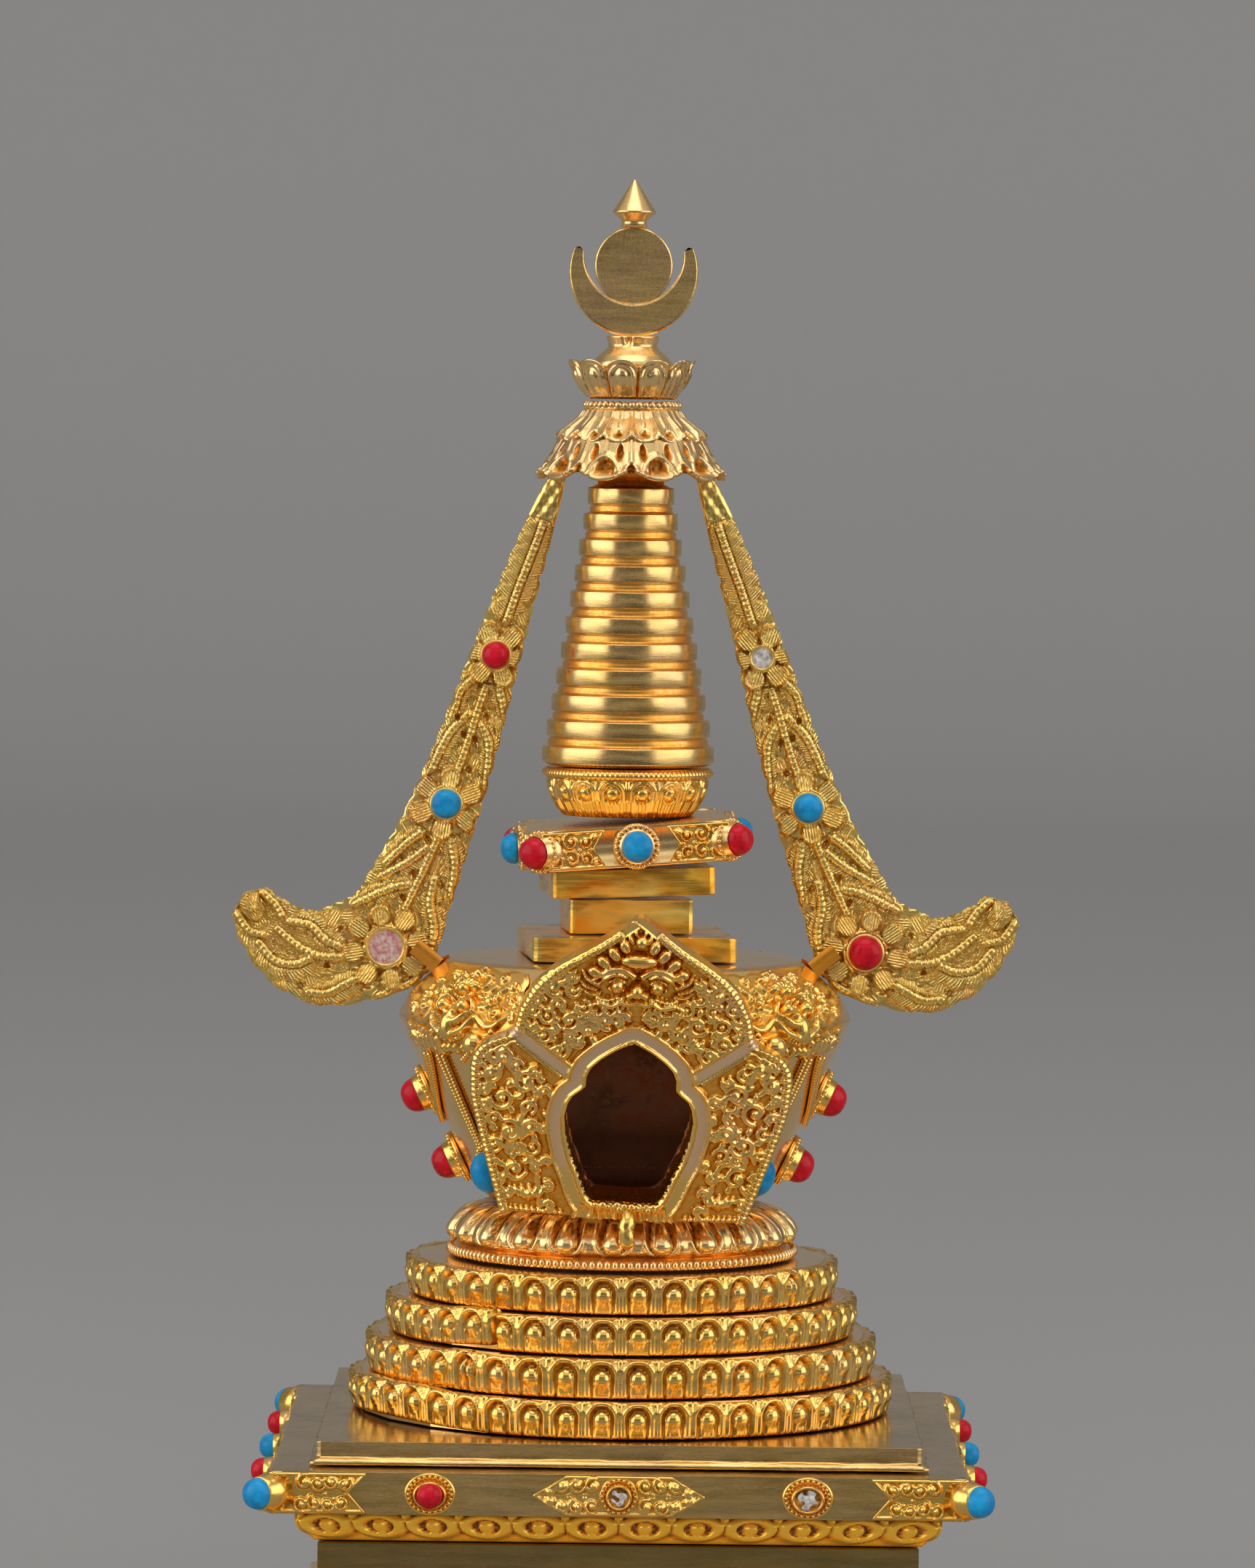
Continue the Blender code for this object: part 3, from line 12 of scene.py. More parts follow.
import bmesh
import bpy
import numpy as np
from mathutils import Matrix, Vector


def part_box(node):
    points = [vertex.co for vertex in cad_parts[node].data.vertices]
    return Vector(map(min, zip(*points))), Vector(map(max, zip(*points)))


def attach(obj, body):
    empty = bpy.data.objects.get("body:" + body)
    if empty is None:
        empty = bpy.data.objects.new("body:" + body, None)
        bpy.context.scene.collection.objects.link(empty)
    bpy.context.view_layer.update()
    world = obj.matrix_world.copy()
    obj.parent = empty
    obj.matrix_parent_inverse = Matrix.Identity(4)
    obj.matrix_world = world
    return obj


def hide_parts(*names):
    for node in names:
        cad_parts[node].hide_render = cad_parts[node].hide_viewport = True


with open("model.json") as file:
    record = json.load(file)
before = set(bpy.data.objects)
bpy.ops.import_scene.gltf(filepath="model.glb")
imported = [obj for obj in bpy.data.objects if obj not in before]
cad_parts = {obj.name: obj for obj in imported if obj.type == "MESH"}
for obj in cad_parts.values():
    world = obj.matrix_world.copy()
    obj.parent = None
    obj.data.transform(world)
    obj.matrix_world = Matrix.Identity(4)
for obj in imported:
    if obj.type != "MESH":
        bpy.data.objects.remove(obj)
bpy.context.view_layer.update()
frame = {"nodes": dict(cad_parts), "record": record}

MM = 0.001
TURN = 2 * math.pi
GOLD, WORN, PASTE = range(3)
INSIDE = 1
SIDES = ("front", "right", "back", "left")

# Base: half its cornice's width, and how far its discs stand from the middle of each side
CORNICE_HALF, DISC_PLACE = 51.15, 27.8
STEP_PETALS = {1: 38, 2: 42, 3: 44, 4: 48}
# Azimuth and width of each strip's open seam, how far its end is lifted, and along what length
STRIP_SEAMS = {
    1: (52, 0.5, 0.2, 6), 2: (-32.4, 1.1, 0.65, 9), 3: (-36.5, 0.35, 0.2, 5), 4: (-57, 0, 0.75, 15),
}

# Dome: radius of its foot and of its shoulder's edge, that edge's rise, and the wall
DOME_FOOT, DOME_EDGE, EDGE_RISE = 21.5, 34.8, 28.1
DOME_FLARE = DOME_EDGE - DOME_FOOT
DOME_SLOPE = math.atan2(DOME_FLARE, EDGE_RISE)
DOME_WALL = 1.2
STRING_TOP = 23.5
MASK_PLACES = (("front_left", -47), ("front_right", 47), ("back_left", -133), ("back_right", 133))
STRING_PLACES = (("left", -90), ("right", 90), ("back", 180))

# Plaque: how it leans and rolls, how far its foot stands forth, its curve and its thickness
PLAQUE_LEAN, PLAQUE_ROLL = math.radians(20), math.radians(2.8)
PLAQUE_FORTH, PLAQUE_CURVE, PLAQUE_THICK = 27.0, 60.0, 1.6
NICHE_SILL, NICHE_TOP = 2.2, 29.0
# Rises and half widths of the niche and of the plaque
NICHE_HALF = (
    (2.2, 4.2), (3.3, 5.5), (4.9, 6.2), (7.4, 7.1), (9.8, 8.2), (13.6, 9.2), (16.6, 9.5), (18.6, 9.1),
    (19.8, 8.5), (20.9, 7.2), (21.6, 6.6), (23.2, 6.55), (24.6, 6.0), (26.0, 4.7), (27.4, 2.9), (28.4, 1.2),
    (29.0, 0.0),
)
PLAQUE_HALF = (
    (0, 18.5), (8, 20.9), (14.4, 22.8), (19, 23.9), (23.6, 24.15), (25.5, 23.8), (27.2, 22.6), (28.4, 20.5),
    (29.2, 18.7), (30.0, 18.0), (31.0, 17.8), (33.7, 17.2), (37.6, 15.3), (40.8, 12.2), (44.8, 6.4),
    (47.6, 2.6), (49.4, 0.3),
)
# Across, rise and radius of the plaque's scrolls
LOWER_SCROLLS = (
    (19.1, 25.4, 1.3), (21.0, 22.9, 1.3), (15.9, 21.3, 1.7), (21.9, 20.2, 0.8), (18.9, 18.7, 1.8),
    (21.4, 17.2, 0.9), (15.0, 17.6, 1.1), (20.3, 15.0, 1.0), (14.8, 14.4, 1.2), (17.6, 13.2, 1.8),
    (13.9, 11.0, 1.1), (19.8, 11.0, 1.1), (16.4, 10.4, 0.9), (16.8, 7.4, 1.6), (13.3, 7.6, 0.8),
    (18.6, 5.4, 0.8), (17.3, 3.4, 0.9), (11.6, 4.6, 0.8), (11.4, 1.9, 0.7), (12.9, 20.0, 0.9),
    (17.0, 24.4, 1.0), (14.2, 23.4, 0.9), (12.8, 14.2, 0.7), (12.2, 17.0, 0.7), (22.2, 25.8, 0.8),
    (11.9, 9.0, 0.7), (19.4, 7.9, 0.7),
)
UPPER_SCROLLS = (
    (12.2, 37.2, 1.3), (14.3, 35.2, 1.0), (15.3, 33.2, 1.0), (15.6, 31.0, 0.9), (13.2, 32.6, 1.1),
    (9.5, 32.2, 1.5), (11.4, 34.8, 1.0), (7.0, 30.6, 1.2), (11.3, 27.4, 1.5), (9.6, 36.9, 1.0),
    (7.6, 34.6, 1.1), (13.2, 29.6, 1.1), (4.2, 32.3, 1.3), (1.9, 33.3, 0.8), (9.6, 29.3, 0.9),
    (5.9, 33.4, 0.8), (14.6, 28.9, 0.7), (14.2, 38.3, 0.8), (11.6, 39.6, 1.0), (16.9, 36.0, 0.7),
    (17.4, 32.6, 0.7), (9.4, 39.2, 0.8), (8.1, 28.6, 0.8), (12.0, 30.9, 0.7),
)

# Terrace: how it is turned on the dome, in degrees
TERRACE_TURN = 5.5

# Streamers: what the solid's outer edge lacks at each station, and the flowers' stations and shares across
TAIL_FULLER = (0,) * 8 + (0.3, 1.2, 1.9, 2.0, 1.7, 1.2, 0.5)
FLOWER_SPOTS = ((3.51, 0.0), (6.355, 0.0), (9.13, 0.12))
LOBE_PITCH, ROPE_PITCH, SCALE_PITCH, HATCH_PITCH = 2.1, 0.85, 1.9, 0.42
COMB_START = 3.0
# Ribs of the fronds as places (across, height), each with the widths of its left and right blade
FRONDS = (
    (((13.3, 176.2), (15.0, 171.5), (16.9, 166.5), (18.8, 161.0)), 3.3, 2.7),
    (((21.4, 152.3), (22.9, 147.8), (24.3, 143.0), (26.2, 137.6)), 0, 0),
    (((23.4, 152.6), (25.7, 150.3), (26.8, 146.6)), 1.7, 1.8),
    (((20.0, 152.3), (19.6, 150.3), (18.7, 146.4)), 1.7, 1.4),
    (((24.3, 147.1), (27.5, 143.5), (30.2, 137.8)), 1.8, 1.9),
    (((22.5, 145.3), (21.2, 142.0), (21.6, 135.6)), 1.6, 1.6),
    (((28.7, 128.3), (30.4, 124.2), (32.5, 119.7), (34.4, 115.8)), 0, 0),
    (((31.2, 128.8), (33.6, 127.0), (36.8, 124.0)), 1.7, 1.0),
    (((30.2, 126.5), (33.6, 124.0), (37.6, 121.8)), 1.1, 1.9),
    (((26.8, 127.4), (26.2, 123.8), (26.6, 119.0)), 1.7, 1.9),
    (((32.9, 120.8), (36.5, 119.9), (41.4, 117.6)), 1.8, 1.8),
    (((29.3, 121.7), (29.9, 117.9), (29.3, 113.5), (30.6, 108.8)), 1.7, 1.8),
    (((43.4, 110.9), (45.9, 112.0), (48.2, 114.2), (51.4, 114.8)), 2.2, 1.6),
    (((43.2, 109.4), (46.9, 109.6), (50.0, 111.0), (53.2, 113.6)), 1.0, 1.2),
    (((47.8, 109.3), (50.6, 108.2), (53.6, 108.8), (56.0, 111.4)), 1.3, 2.8),
    (((40.4, 106.3), (42.5, 105.4), (45.4, 103.9), (48.4, 103.9)), 2.0, 2.4),
    (((37.6, 103.6), (34.2, 104.8), (31.2, 107.2)), 2.0, 1.0),
    (((52.4, 115.4), (53.6, 117.4), (55.6, 119.2)), 1.3, 1.1),
    (((55.0, 112.6), (57.6, 113.4), (59.4, 116.0)), 1.1, 1.1),
)
STREAMER_PITS = (
    (18.9, 152.6), (26.1, 146.3), (21.6, 146.4), (25.1, 143.8), (23.4, 143.0), (24.3, 138.3), (32.5, 122.2),
    (34.1, 118.6), (28.4, 120.6), (30.4, 127.6), (39.4, 105.0), (45.6, 107.9), (49.7, 104.8), (43.6, 113.7),
    (32.1, 108.1),
)


# Sizes read from the frame, in millimetres

def corners(node):
    """Lowest and highest corner of a CAD node, in millimetres."""
    low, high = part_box(node)
    return np.array(low) / MM, np.array(high) / MM


def reach(node):
    """Half of a node's width."""
    return corners(node)[1][0]


def heights(node):
    """Bottom and top of a node."""
    low, high = corners(node)
    return low[2], high[2]


# Shapes

class Shape:
    """Meshes of one piece: points in millimetres, faces, and how deep each point lies in a recess."""

    def __init__(self):
        self.points = []
        self.recess = []
        self.faces = []
        self.slots = []
        self.count = 0
        self.comb = None

    def add(self, points, faces, recess=0.0, slot=GOLD):
        points = np.reshape(points, (-1, 3))
        self.points.append(points)
        self.recess.append(np.broadcast_to(np.ravel(recess), (len(points),)))
        for group in faces:
            self.faces.append(np.asarray(group) + self.count)
            self.slots.append(np.full(len(group), slot))
        self.count += len(points)


def make(name, shape, materials, slot, *nodes, sharp=180.0, matrix=None):
    """Turn a shape into a piece that rides on the body and stands for the nodes that are named."""
    mesh = bpy.data.meshes.new(name)
    points = np.concatenate(shape.points) * MM
    loops = np.concatenate([group.ravel() for group in shape.faces])
    sizes = np.concatenate([np.full(len(group), group.shape[1]) for group in shape.faces])
    mesh.vertices.add(len(points))
    mesh.vertices.foreach_set("co", points.ravel())
    mesh.loops.add(len(loops))
    mesh.loops.foreach_set("vertex_index", loops.astype(np.int32))
    mesh.polygons.add(len(sizes))
    mesh.polygons.foreach_set("loop_start", (np.cumsum(sizes) - sizes).astype(np.int32))
    mesh.polygons.foreach_set("material_index", np.concatenate(shape.slots).astype(np.int32))
    mesh.update(calc_edges=True)
    attribute = mesh.attributes.new("recess", "FLOAT", "POINT")
    attribute.data.foreach_set("value", np.concatenate(shape.recess).astype(np.float32))
    if shape.comb is not None:
        comb = np.zeros(len(points), np.float32)
        comb[:shape.comb.size] = shape.comb.ravel()
        attribute = mesh.attributes.new("comb", "FLOAT", "POINT")
        attribute.data.foreach_set("value", comb)
    bm = bmesh.new()
    bm.from_mesh(mesh)
    bmesh.ops.recalc_face_normals(bm, faces=bm.faces)
    if matrix is not None:
        bmesh.ops.transform(bm, matrix=matrix, verts=bm.verts)
    bm.to_mesh(mesh)
    bm.free()
    for material in materials:
        mesh.materials.append(material)
    mesh.shade_smooth()
    if sharp < 180:
        mesh.set_sharp_from_angle(angle=math.radians(sharp))
    piece = bpy.data.objects.new(name, mesh)
    bpy.context.scene.collection.objects.link(piece)
    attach(piece, "root")
    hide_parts(*nodes)
    return piece


def quads(rows, columns, wrap=False, loop=False):
    """Faces of a grid of points. Wrap joins its last column to its first, loop its last row."""
    index = np.arange(rows * columns).reshape(rows, columns)
    if wrap:
        index = np.hstack([index, index[:, :1]])
    if loop:
        index = np.vstack([index, index[:1]])
    return np.stack([index[:-1, :-1], index[:-1, 1:], index[1:, 1:], index[1:, :-1]], -1).reshape(-1, 4)


def caps(rows, columns):
    """Faces that close the first and the last row of points."""
    return [np.arange(columns)[None], np.arange((rows - 1) * columns, rows * columns)[None]]


def ended(rows):
    """Rows with the first and the last one doubled."""
    return np.concatenate([rows[:1], rows, rows[-1:]])


def quarter(k):
    """Turn by k right angles, which takes the front to the side that SIDES names."""
    return np.array(Matrix.Rotation(TURN * k / 4, 3, "Z"))


def about_axis(angle, radius, z):
    """Points round the Z axis, at an angle from the front in radians."""
    angle, radius, z = np.broadcast_arrays(angle, radius, z)
    return np.stack([radius * np.sin(angle), -radius * np.cos(angle), z], -1)


def rings(shape, x, y, z, recess=0.0, slot=GOLD, loop=False):
    """Closed rings of points above each other, with flat ends unless they loop."""
    x, y, z = np.broadcast_arrays(x, y, z)
    faces = [quads(*x.shape, True, loop)] + ([] if loop else caps(*x.shape))
    shape.add(np.stack([x, y, z], -1), faces, np.broadcast_to(recess, x.shape), slot)


def turned(shape, radius, z, recess=0.0, slot=GOLD, loop=False):
    """Form turned about Z; radius and z are rows of columns that start at the front."""
    radius, z, recess = np.broadcast_arrays(radius, z, recess)
    angle = TURN * np.arange(radius.shape[1]) / radius.shape[1]
    rings(shape, radius * np.sin(angle), -radius * np.cos(angle), z, recess, slot, loop)


def profile(rows, columns):
    """Radius and height of each row as two columns of numbers that fit turned."""
    rows = np.array(rows, float)
    return np.repeat(rows[:, :1], columns, 1), np.repeat(rows[:, 1:2], columns, 1)


def rounded(rows, steps=4, share=0.35):
    """Profile with its corners rounded off; share is how much of each stretch a bend takes up."""
    rows = [np.array(row, float) for row in rows]
    line = [rows[0]]
    for before, corner, after in zip(rows, rows[1:], rows[2:]):
        start = corner + (before - corner) * share
        end = corner + (after - corner) * share
        for k in range(steps + 1):
            t = k / steps
            line.append((1 - t) ** 2 * start + 2 * t * (1 - t) * corner + t * t * end)
    line.append(rows[-1])
    return line


def squared(shape, half, z, per_side, recess=0.0, slot=GOLD, loop=False):
    """Like turned, on a square; half is the distance of each row and column from the axis."""
    half, z, recess = np.broadcast_arrays(half, z, recess)
    along = np.tile(2 * np.arange(per_side) / per_side - 1, 4) * half
    side = np.repeat(np.arange(4), per_side) * TURN / 4
    x = along * np.cos(side) + half * np.sin(side)
    y = along * np.sin(side) - half * np.cos(side)
    rings(shape, x, y, z, recess, slot, loop)


def flat(origin, across, up):
    """Placing on a flat face: its origin, and the directions of its x and y."""
    origin, across, up = (np.array(v, float) for v in (origin, across, up))
    across /= np.linalg.norm(across)
    up = up - across * (across @ up)
    up /= np.linalg.norm(up)
    out = np.cross(across, up)

    def place(x, y, height):
        x, y, height = np.broadcast_arrays(x, y, height)
        return origin + x[..., None] * across + y[..., None] * up + height[..., None] * out

    return place


def shifted(place, x, y, height=0.0):
    """The same placing with another origin."""
    return lambda a, b, c: place(a + x, b + y, c + height)


def facing(place, out):
    """The same placing with heights that rise towards out."""
    zero = np.zeros(1)
    normal = (place(zero, zero, zero + 1) - place(zero, zero, zero))[0]
    normal = normal * np.sign(normal @ out)
    return lambda x, y, height: place(x, y, 0 * height) + height[..., None] * normal


def spun(shape, place, rows, columns, recess=0.0, wide=1.0):
    """Turn rows of (radius, height) about the origin of a placing; wide stretches them across."""
    rows = np.array(rows, float)
    angle = TURN * np.arange(columns) / columns
    x = rows[:, :1] * np.cos(angle) * wide
    points = place(x, rows[:, :1] * np.sin(angle), np.broadcast_to(rows[:, 1:], x.shape))
    recess = np.broadcast_to(np.reshape(recess, (-1, 1)), x.shape)
    shape.add(points, [quads(*x.shape, True)] + caps(*x.shape), recess)


def beads(shape, centres, radius, recess=0.0, columns=8, rows=5):
    """Small balls at the points given; radius is one number or one for each ball."""
    centres = np.reshape(centres, (-1, 3))
    lift = np.cos(math.pi * (np.arange(rows) + 0.35) / (rows - 0.3))
    wide = np.sqrt(1 - lift ** 2)
    angle = TURN * np.arange(columns) / columns
    ball = [np.outer(wide, np.cos(angle)), np.outer(wide, np.sin(angle)), np.outer(lift, np.ones(columns))]
    ball = np.stack(ball, -1).reshape(-1, 3)
    points = centres[:, None] + ball * np.broadcast_to(radius, len(centres))[:, None, None]
    start = np.arange(len(centres))[:, None, None] * len(ball)
    sides = (quads(rows, columns, True)[None] + start).reshape(-1, 4)
    ends = (np.concatenate(caps(rows, columns))[None] + start).reshape(-1, columns)
    shape.add(points, [sides, ends], recess)


def bead_ring(shape, place, radius, count, height, size, wide=1.0):
    """Ring of beads about the origin of a placing."""
    angle = TURN * np.arange(count) / count
    beads(shape, place(radius * wide * np.cos(angle), radius * np.sin(angle), np.full(count, height)), size)


def wire(shape, path, radius, sides, recess):
    """Round wire along a path; radius is one number or one for each point."""
    ahead = np.gradient(path, axis=0)
    ahead /= np.linalg.norm(ahead, axis=1)[:, None]
    side = np.cross(np.broadcast_to((0.2, 0.1, 1), path.shape), ahead)
    side /= np.linalg.norm(side, axis=1)[:, None]
    over = np.cross(ahead, side)
    angle = (TURN * np.arange(sides) / sides)[None, :, None]
    radius = np.broadcast_to(radius, len(path))[:, None, None]
    points = path[:, None] + radius * (side[:, None] * np.cos(angle) + over[:, None] * np.sin(angle))
    shape.add(points, [quads(len(path), sides, True)] + caps(len(path), sides), recess)


# Reliefs

def blurred(field, passes, wrap=False):
    """Field with its detail smoothed away."""
    for _ in range(passes):
        mode = "wrap" if wrap else "edge"
        wide = np.pad(field, ((0, 0), (1, 1)), mode)
        field = (wide[:, :-2] + 2 * wide[:, 1:-1] + wide[:, 2:]) / 4
        tall = np.pad(field, ((1, 1), (0, 0)), "edge")
        field = (tall[:-2] + 2 * tall[1:-1] + tall[2:]) / 4
    return field


def hollow(height, passes=12, scale=0.45, wrap=False):
    """How deep each point of a relief lies below its surroundings, from 0 to 1."""
    return np.clip((blurred(height, passes, wrap) - height) / scale, 0, 1)


def smooth(value, low, high):
    """Smooth step from 0 at low to 1 at high."""
    t = np.clip((value - low) / (high - low), 0, 1)
    return t * t * (3 - 2 * t)


def ridge(away, place, width):
    """Round-backed ridge: 1 where away equals place, and 0 from width / 2 off it."""
    return np.sqrt(np.clip(1 - (2 * (away - place) / width) ** 2, 0, 1))


def knob(x, y, radius, tall=None):
    """Round bump about the origin, 1 at its top."""
    return np.sqrt(np.clip(1 - (x / radius) ** 2 - (y / (tall or radius)) ** 2, 0, 1))


class Canvas:
    """Flat field of heights in millimetres, drawn with ridges, balls, leaves and holes."""

    def __init__(self, left, right, bottom, top, cell=0.1):
        self.left, self.bottom, self.cell = left, bottom, cell
        columns = int(round((right - left) / cell)) + 1
        rows = int(round((top - bottom) / cell)) + 1
        self.x, self.y = np.meshgrid(left + cell * np.arange(columns), bottom + cell * np.arange(rows))
        self.height = np.zeros((rows, columns))
        self.comb = np.zeros((rows, columns))

    def near(self, x, y, reach):
        """Part of the canvas within reach of a point."""
        column, row, half = (x - self.left) / self.cell, (y - self.bottom) / self.cell, reach / self.cell
        rows = slice(max(int(row - half), 0), max(int(row + half) + 2, 0))
        return rows, slice(max(int(column - half), 0), max(int(column + half) + 2, 0))

    def ellipse(self, x, y, long, wide, angle):
        """Cells round an ellipse, and how far each lies along and across it as shares of its halves."""
        area = self.near(x, y, max(long, wide))
        across, up = self.x[area] - x, self.y[area] - y
        turn = math.radians(angle)
        a = (across * math.cos(turn) + up * math.sin(turn)) / long
        b = (up * math.cos(turn) - across * math.sin(turn)) / wide
        return area, a, b

    def oval(self, x, y, long, wide, angle=0.0, height=0.5, base=0.0, power=0.5):
        """Bump on an ellipse; a lower power makes it flatter on top."""
        area, a, b = self.ellipse(x, y, long, wide, angle)
        inside = 1 - a * a - b * b
        bump = base + height * np.clip(inside, 0, 1) ** power
        self.height[area] = np.where(inside > 0, np.maximum(self.height[area], bump), self.height[area])

    def ball(self, x, y, radius, height=None, base=0.0):
        """Round bump."""
        self.oval(x, y, radius, radius, 0.0, radius * 0.8 if height is None else height, base)

    def leaf(self, x, y, long, wide, angle=0.0, height=0.5, base=0.0):
        """Convex lobe engraved with fine lines along its length; comb counts millimetres across them."""
        area, a, b = self.ellipse(x, y, long, wide, angle)
        inside = np.clip(1 - np.abs(a) ** 2.3 - np.abs(b) ** 2.3, 0, 1)
        bump = base + height * (0.8 * inside ** 0.4 + 0.3 * ridge(inside, 0.3, 0.5))
        higher = (inside > 0) & (bump > self.height[area])
        self.height[area] = np.where(higher, bump, self.height[area])
        self.comb[area] = np.where(higher, COMB_START + b * wide, self.comb[area])

    def dig(self, x, y, long, wide, angle=0.0, depth=0.5):
        """Pit on an ellipse."""
        area, a, b = self.ellipse(x, y, long, wide, angle)
        self.height[area] -= depth * smooth(np.clip(1 - a * a - b * b, 0, 1), 0.0, 0.5)

    def stroke(self, points, width=0.5, height=0.4, base=0.0, ends=(1.0, 1.0), closed=False):
        """Round-backed ridge along points; ends scale its width and height at both ends."""
        line = spline(points, closed)
        run = run_along(line)
        count = max(int(run[-1] / (self.cell * 1.3)), 2)
        place = np.linspace(0, run[-1], count)
        for (x, y), t in zip(read_line(line, run, place), place / run[-1]):
            end, near = (ends[0], t) if t < 0.5 else (ends[1], 1 - t)
            size = end + (1 - end) * min(near * 3, 1)
            self.oval(x, y, width / 2 * size, width / 2 * size, 0.0, height * size, base)

    def beaded(self, points, radius, spacing, height, base):
        """Row of balls along points."""
        line = spline(points)
        run = run_along(line)
        count = max(int(run[-1] / spacing), 1)
        for x, y in read_line(line, run, (np.arange(count) + 0.5) * run[-1] / count):
            self.ball(x, y, radius, height, base)

    def scroll(self, x, y, radius, turns, start, hand, width, height, ball, base=0.0):
        """Spiral that winds in to a ball; start is where its outer end lies, in degrees."""
        t = np.linspace(0, 1, 12 + int(10 * turns))
        angle = math.radians(start) + hand * TURN * turns * t
        r = radius * (1 - 0.72 * t)
        self.stroke(np.stack([x + r * np.cos(angle), y + r * np.sin(angle)], 1), width, height, base)
        self.ball(x, y, ball, height * 1.5, base)

    def at(self, x, y, field=None):
        """Height at any points, read between the cells."""
        field = self.height if field is None else field
        column = np.clip((x - self.left) / self.cell, 0, field.shape[1] - 1.001)
        row = np.clip((y - self.bottom) / self.cell, 0, field.shape[0] - 1.001)
        i, j = row.astype(int), column.astype(int)
        u, v = row - i, column - j
        low = field[i, j] * (1 - v) + field[i, j + 1] * v
        high = field[i + 1, j] * (1 - v) + field[i + 1, j + 1] * v
        return low * (1 - u) + high * u

    def at_nearest(self, x, y):
        """Comb at any points, taken from the nearest cell."""
        column = np.clip(np.rint((x - self.left) / self.cell), 0, self.comb.shape[1] - 1).astype(int)
        row = np.clip(np.rint((y - self.bottom) / self.cell), 0, self.comb.shape[0] - 1).astype(int)
        return self.comb[row, column]


def spline(points, closed=False, steps=8):
    """Smooth line through points."""
    p = np.asarray(points, float)
    if len(p) < 3:
        return p
    before = p[-1:] if closed else 2 * p[:1] - p[1:2]
    after = p[:2] if closed else 2 * p[-1:] - p[-2:-1]
    p = np.concatenate([before, p, after])
    t = np.arange(steps)[:, None] / steps
    line = []
    for a, b, c, d in zip(p, p[1:], p[2:], p[3:]):
        bend = (2 * a - 5 * b + 4 * c - d) * t ** 2 + (3 * b - a - 3 * c + d) * t ** 3
        line.append(0.5 * (2 * b + (c - a) * t + bend))
    return np.concatenate(line + [p[-2:-1]])


def run_along(line):
    """Length of a flat line up to each of its points."""
    return np.concatenate([[0], np.cumsum(np.hypot(*np.diff(line, axis=0).T))])


def read_line(line, run, place):
    """Rows of a line's numbers, read at lengths along it."""
    return np.stack([np.interp(place, run, values) for values in line.T], -1)


def plate(shape, place, x, y, height, recess, depth, coarse=4, joined=(), slot=GOLD):
    """Relief with a plainer back. x, y and height are grids, and place lays them out in space.

    The grid's rows and columns are multiples of coarse, plus one. The back has that much
    fewer. Sides that are joined to another plate get no edge face.
    """
    rough = slice(None, None, coarse)
    front = place(x, y, height)
    back = place(x[rough, rough], y[rough, rough], np.full(x[rough, rough].shape, -float(depth)))
    fine = np.arange(x.size).reshape(x.shape)
    plain = x.size + np.arange(back[..., 0].size).reshape(back.shape[:2])
    faces = [quads(*fine.shape), quads(*plain.shape)[:, ::-1] + x.size]
    edges = {
        "bottom": (fine[0], plain[0]), "top": (fine[-1], plain[-1]),
        "left": (fine[:, 0], plain[:, 0]), "right": (fine[:, -1], plain[:, -1]),
    }
    for side, (many, few) in edges.items():
        if side not in joined:
            run = np.arange(len(few) - 1)[:, None] * coarse + np.arange(coarse + 1)
            faces.append(np.concatenate([few[1:, None], few[:-1, None], many[run]], 1))
    points = np.concatenate([front.reshape(-1, 3), back.reshape(-1, 3)])
    shape.add(points, faces, np.concatenate([np.ravel(recess), np.full(plain.size, 0.25)]), slot)


def shares(count):
    """Numbers from 0 to 1 in count steps."""
    return np.arange(count + 1) / count


# Settings and stones

def mount(shape, place, rim, stone, height, wide, count):
    """Beaded disc with a conical collar for a stone."""
    foot, bead = 0.45, 0.27
    ring = (rim + stone + 0.3) / 2
    disc = [
        (rim, -0.4), (rim, foot * 0.6), (rim - 0.18, foot), (rim - 0.4, foot + 0.02),
        (ring + 0.2, foot - 0.12),
        (ring - 0.3, foot - 0.12), (stone + 0.42, foot + 0.1),
    ]
    collar = [
        (stone + 0.22, height * 0.6), (stone + 0.17, height), (stone + 0.02, height + 0.12),
        (stone - 0.12, height + 0.05), (stone - 0.2, height - 0.2), (0.05, height - 0.2),
    ]
    # Painted shade in the disc's groove and down inside the collar
    recess = [0.2, 0.1, 0, 0.1, 0.5, 0.5, 0.45, 0.15, 0, 0, 0.5, 0.9, 0.9]
    spun(shape, place, disc + collar, 36, recess, wide)
    bead_ring(shape, place, ring, count, foot + 0.02, bead, wide)


def domed(shape, place, radius, height, wide=1.0, slot=GOLD):
    """Closed dome from rows of radius and height about the origin of a placing."""
    angle = TURN * np.arange(radius.shape[1]) / radius.shape[1]
    points = place(radius * np.cos(angle) * wide, radius * np.sin(angle), height)
    shape.add(points, [quads(*radius.shape, True)] + caps(*radius.shape), 0.0, slot)


def cabochon(name, place, radius, height, color, *nodes, seed=0.0, wide=1.0):
    """Polished stone, a little uneven, that stands on the placing's origin."""
    columns, under = 28, 0.35
    t = shares(9)[:, None]
    angle = TURN * np.arange(columns) / columns
    wobble = 1 + 0.012 * np.cos(2 * angle + seed) + 0.008 * np.cos(3 * angle + 2.1 * seed)
    r = radius * np.cos(t * math.pi / 2 * 0.985) ** 0.8 * wobble
    z = np.broadcast_to(height * np.sin(t * math.pi / 2), r.shape)
    r = np.concatenate([radius * 0.93 * wobble[None], r])
    z = np.concatenate([np.full((1, columns), -under), z])
    shape = Shape()
    domed(shape, place, r, z, wide)
    slot = "coral_red" if color is red else "turquoise_blue"
    return make(name, shape, [color], slot, *nodes)


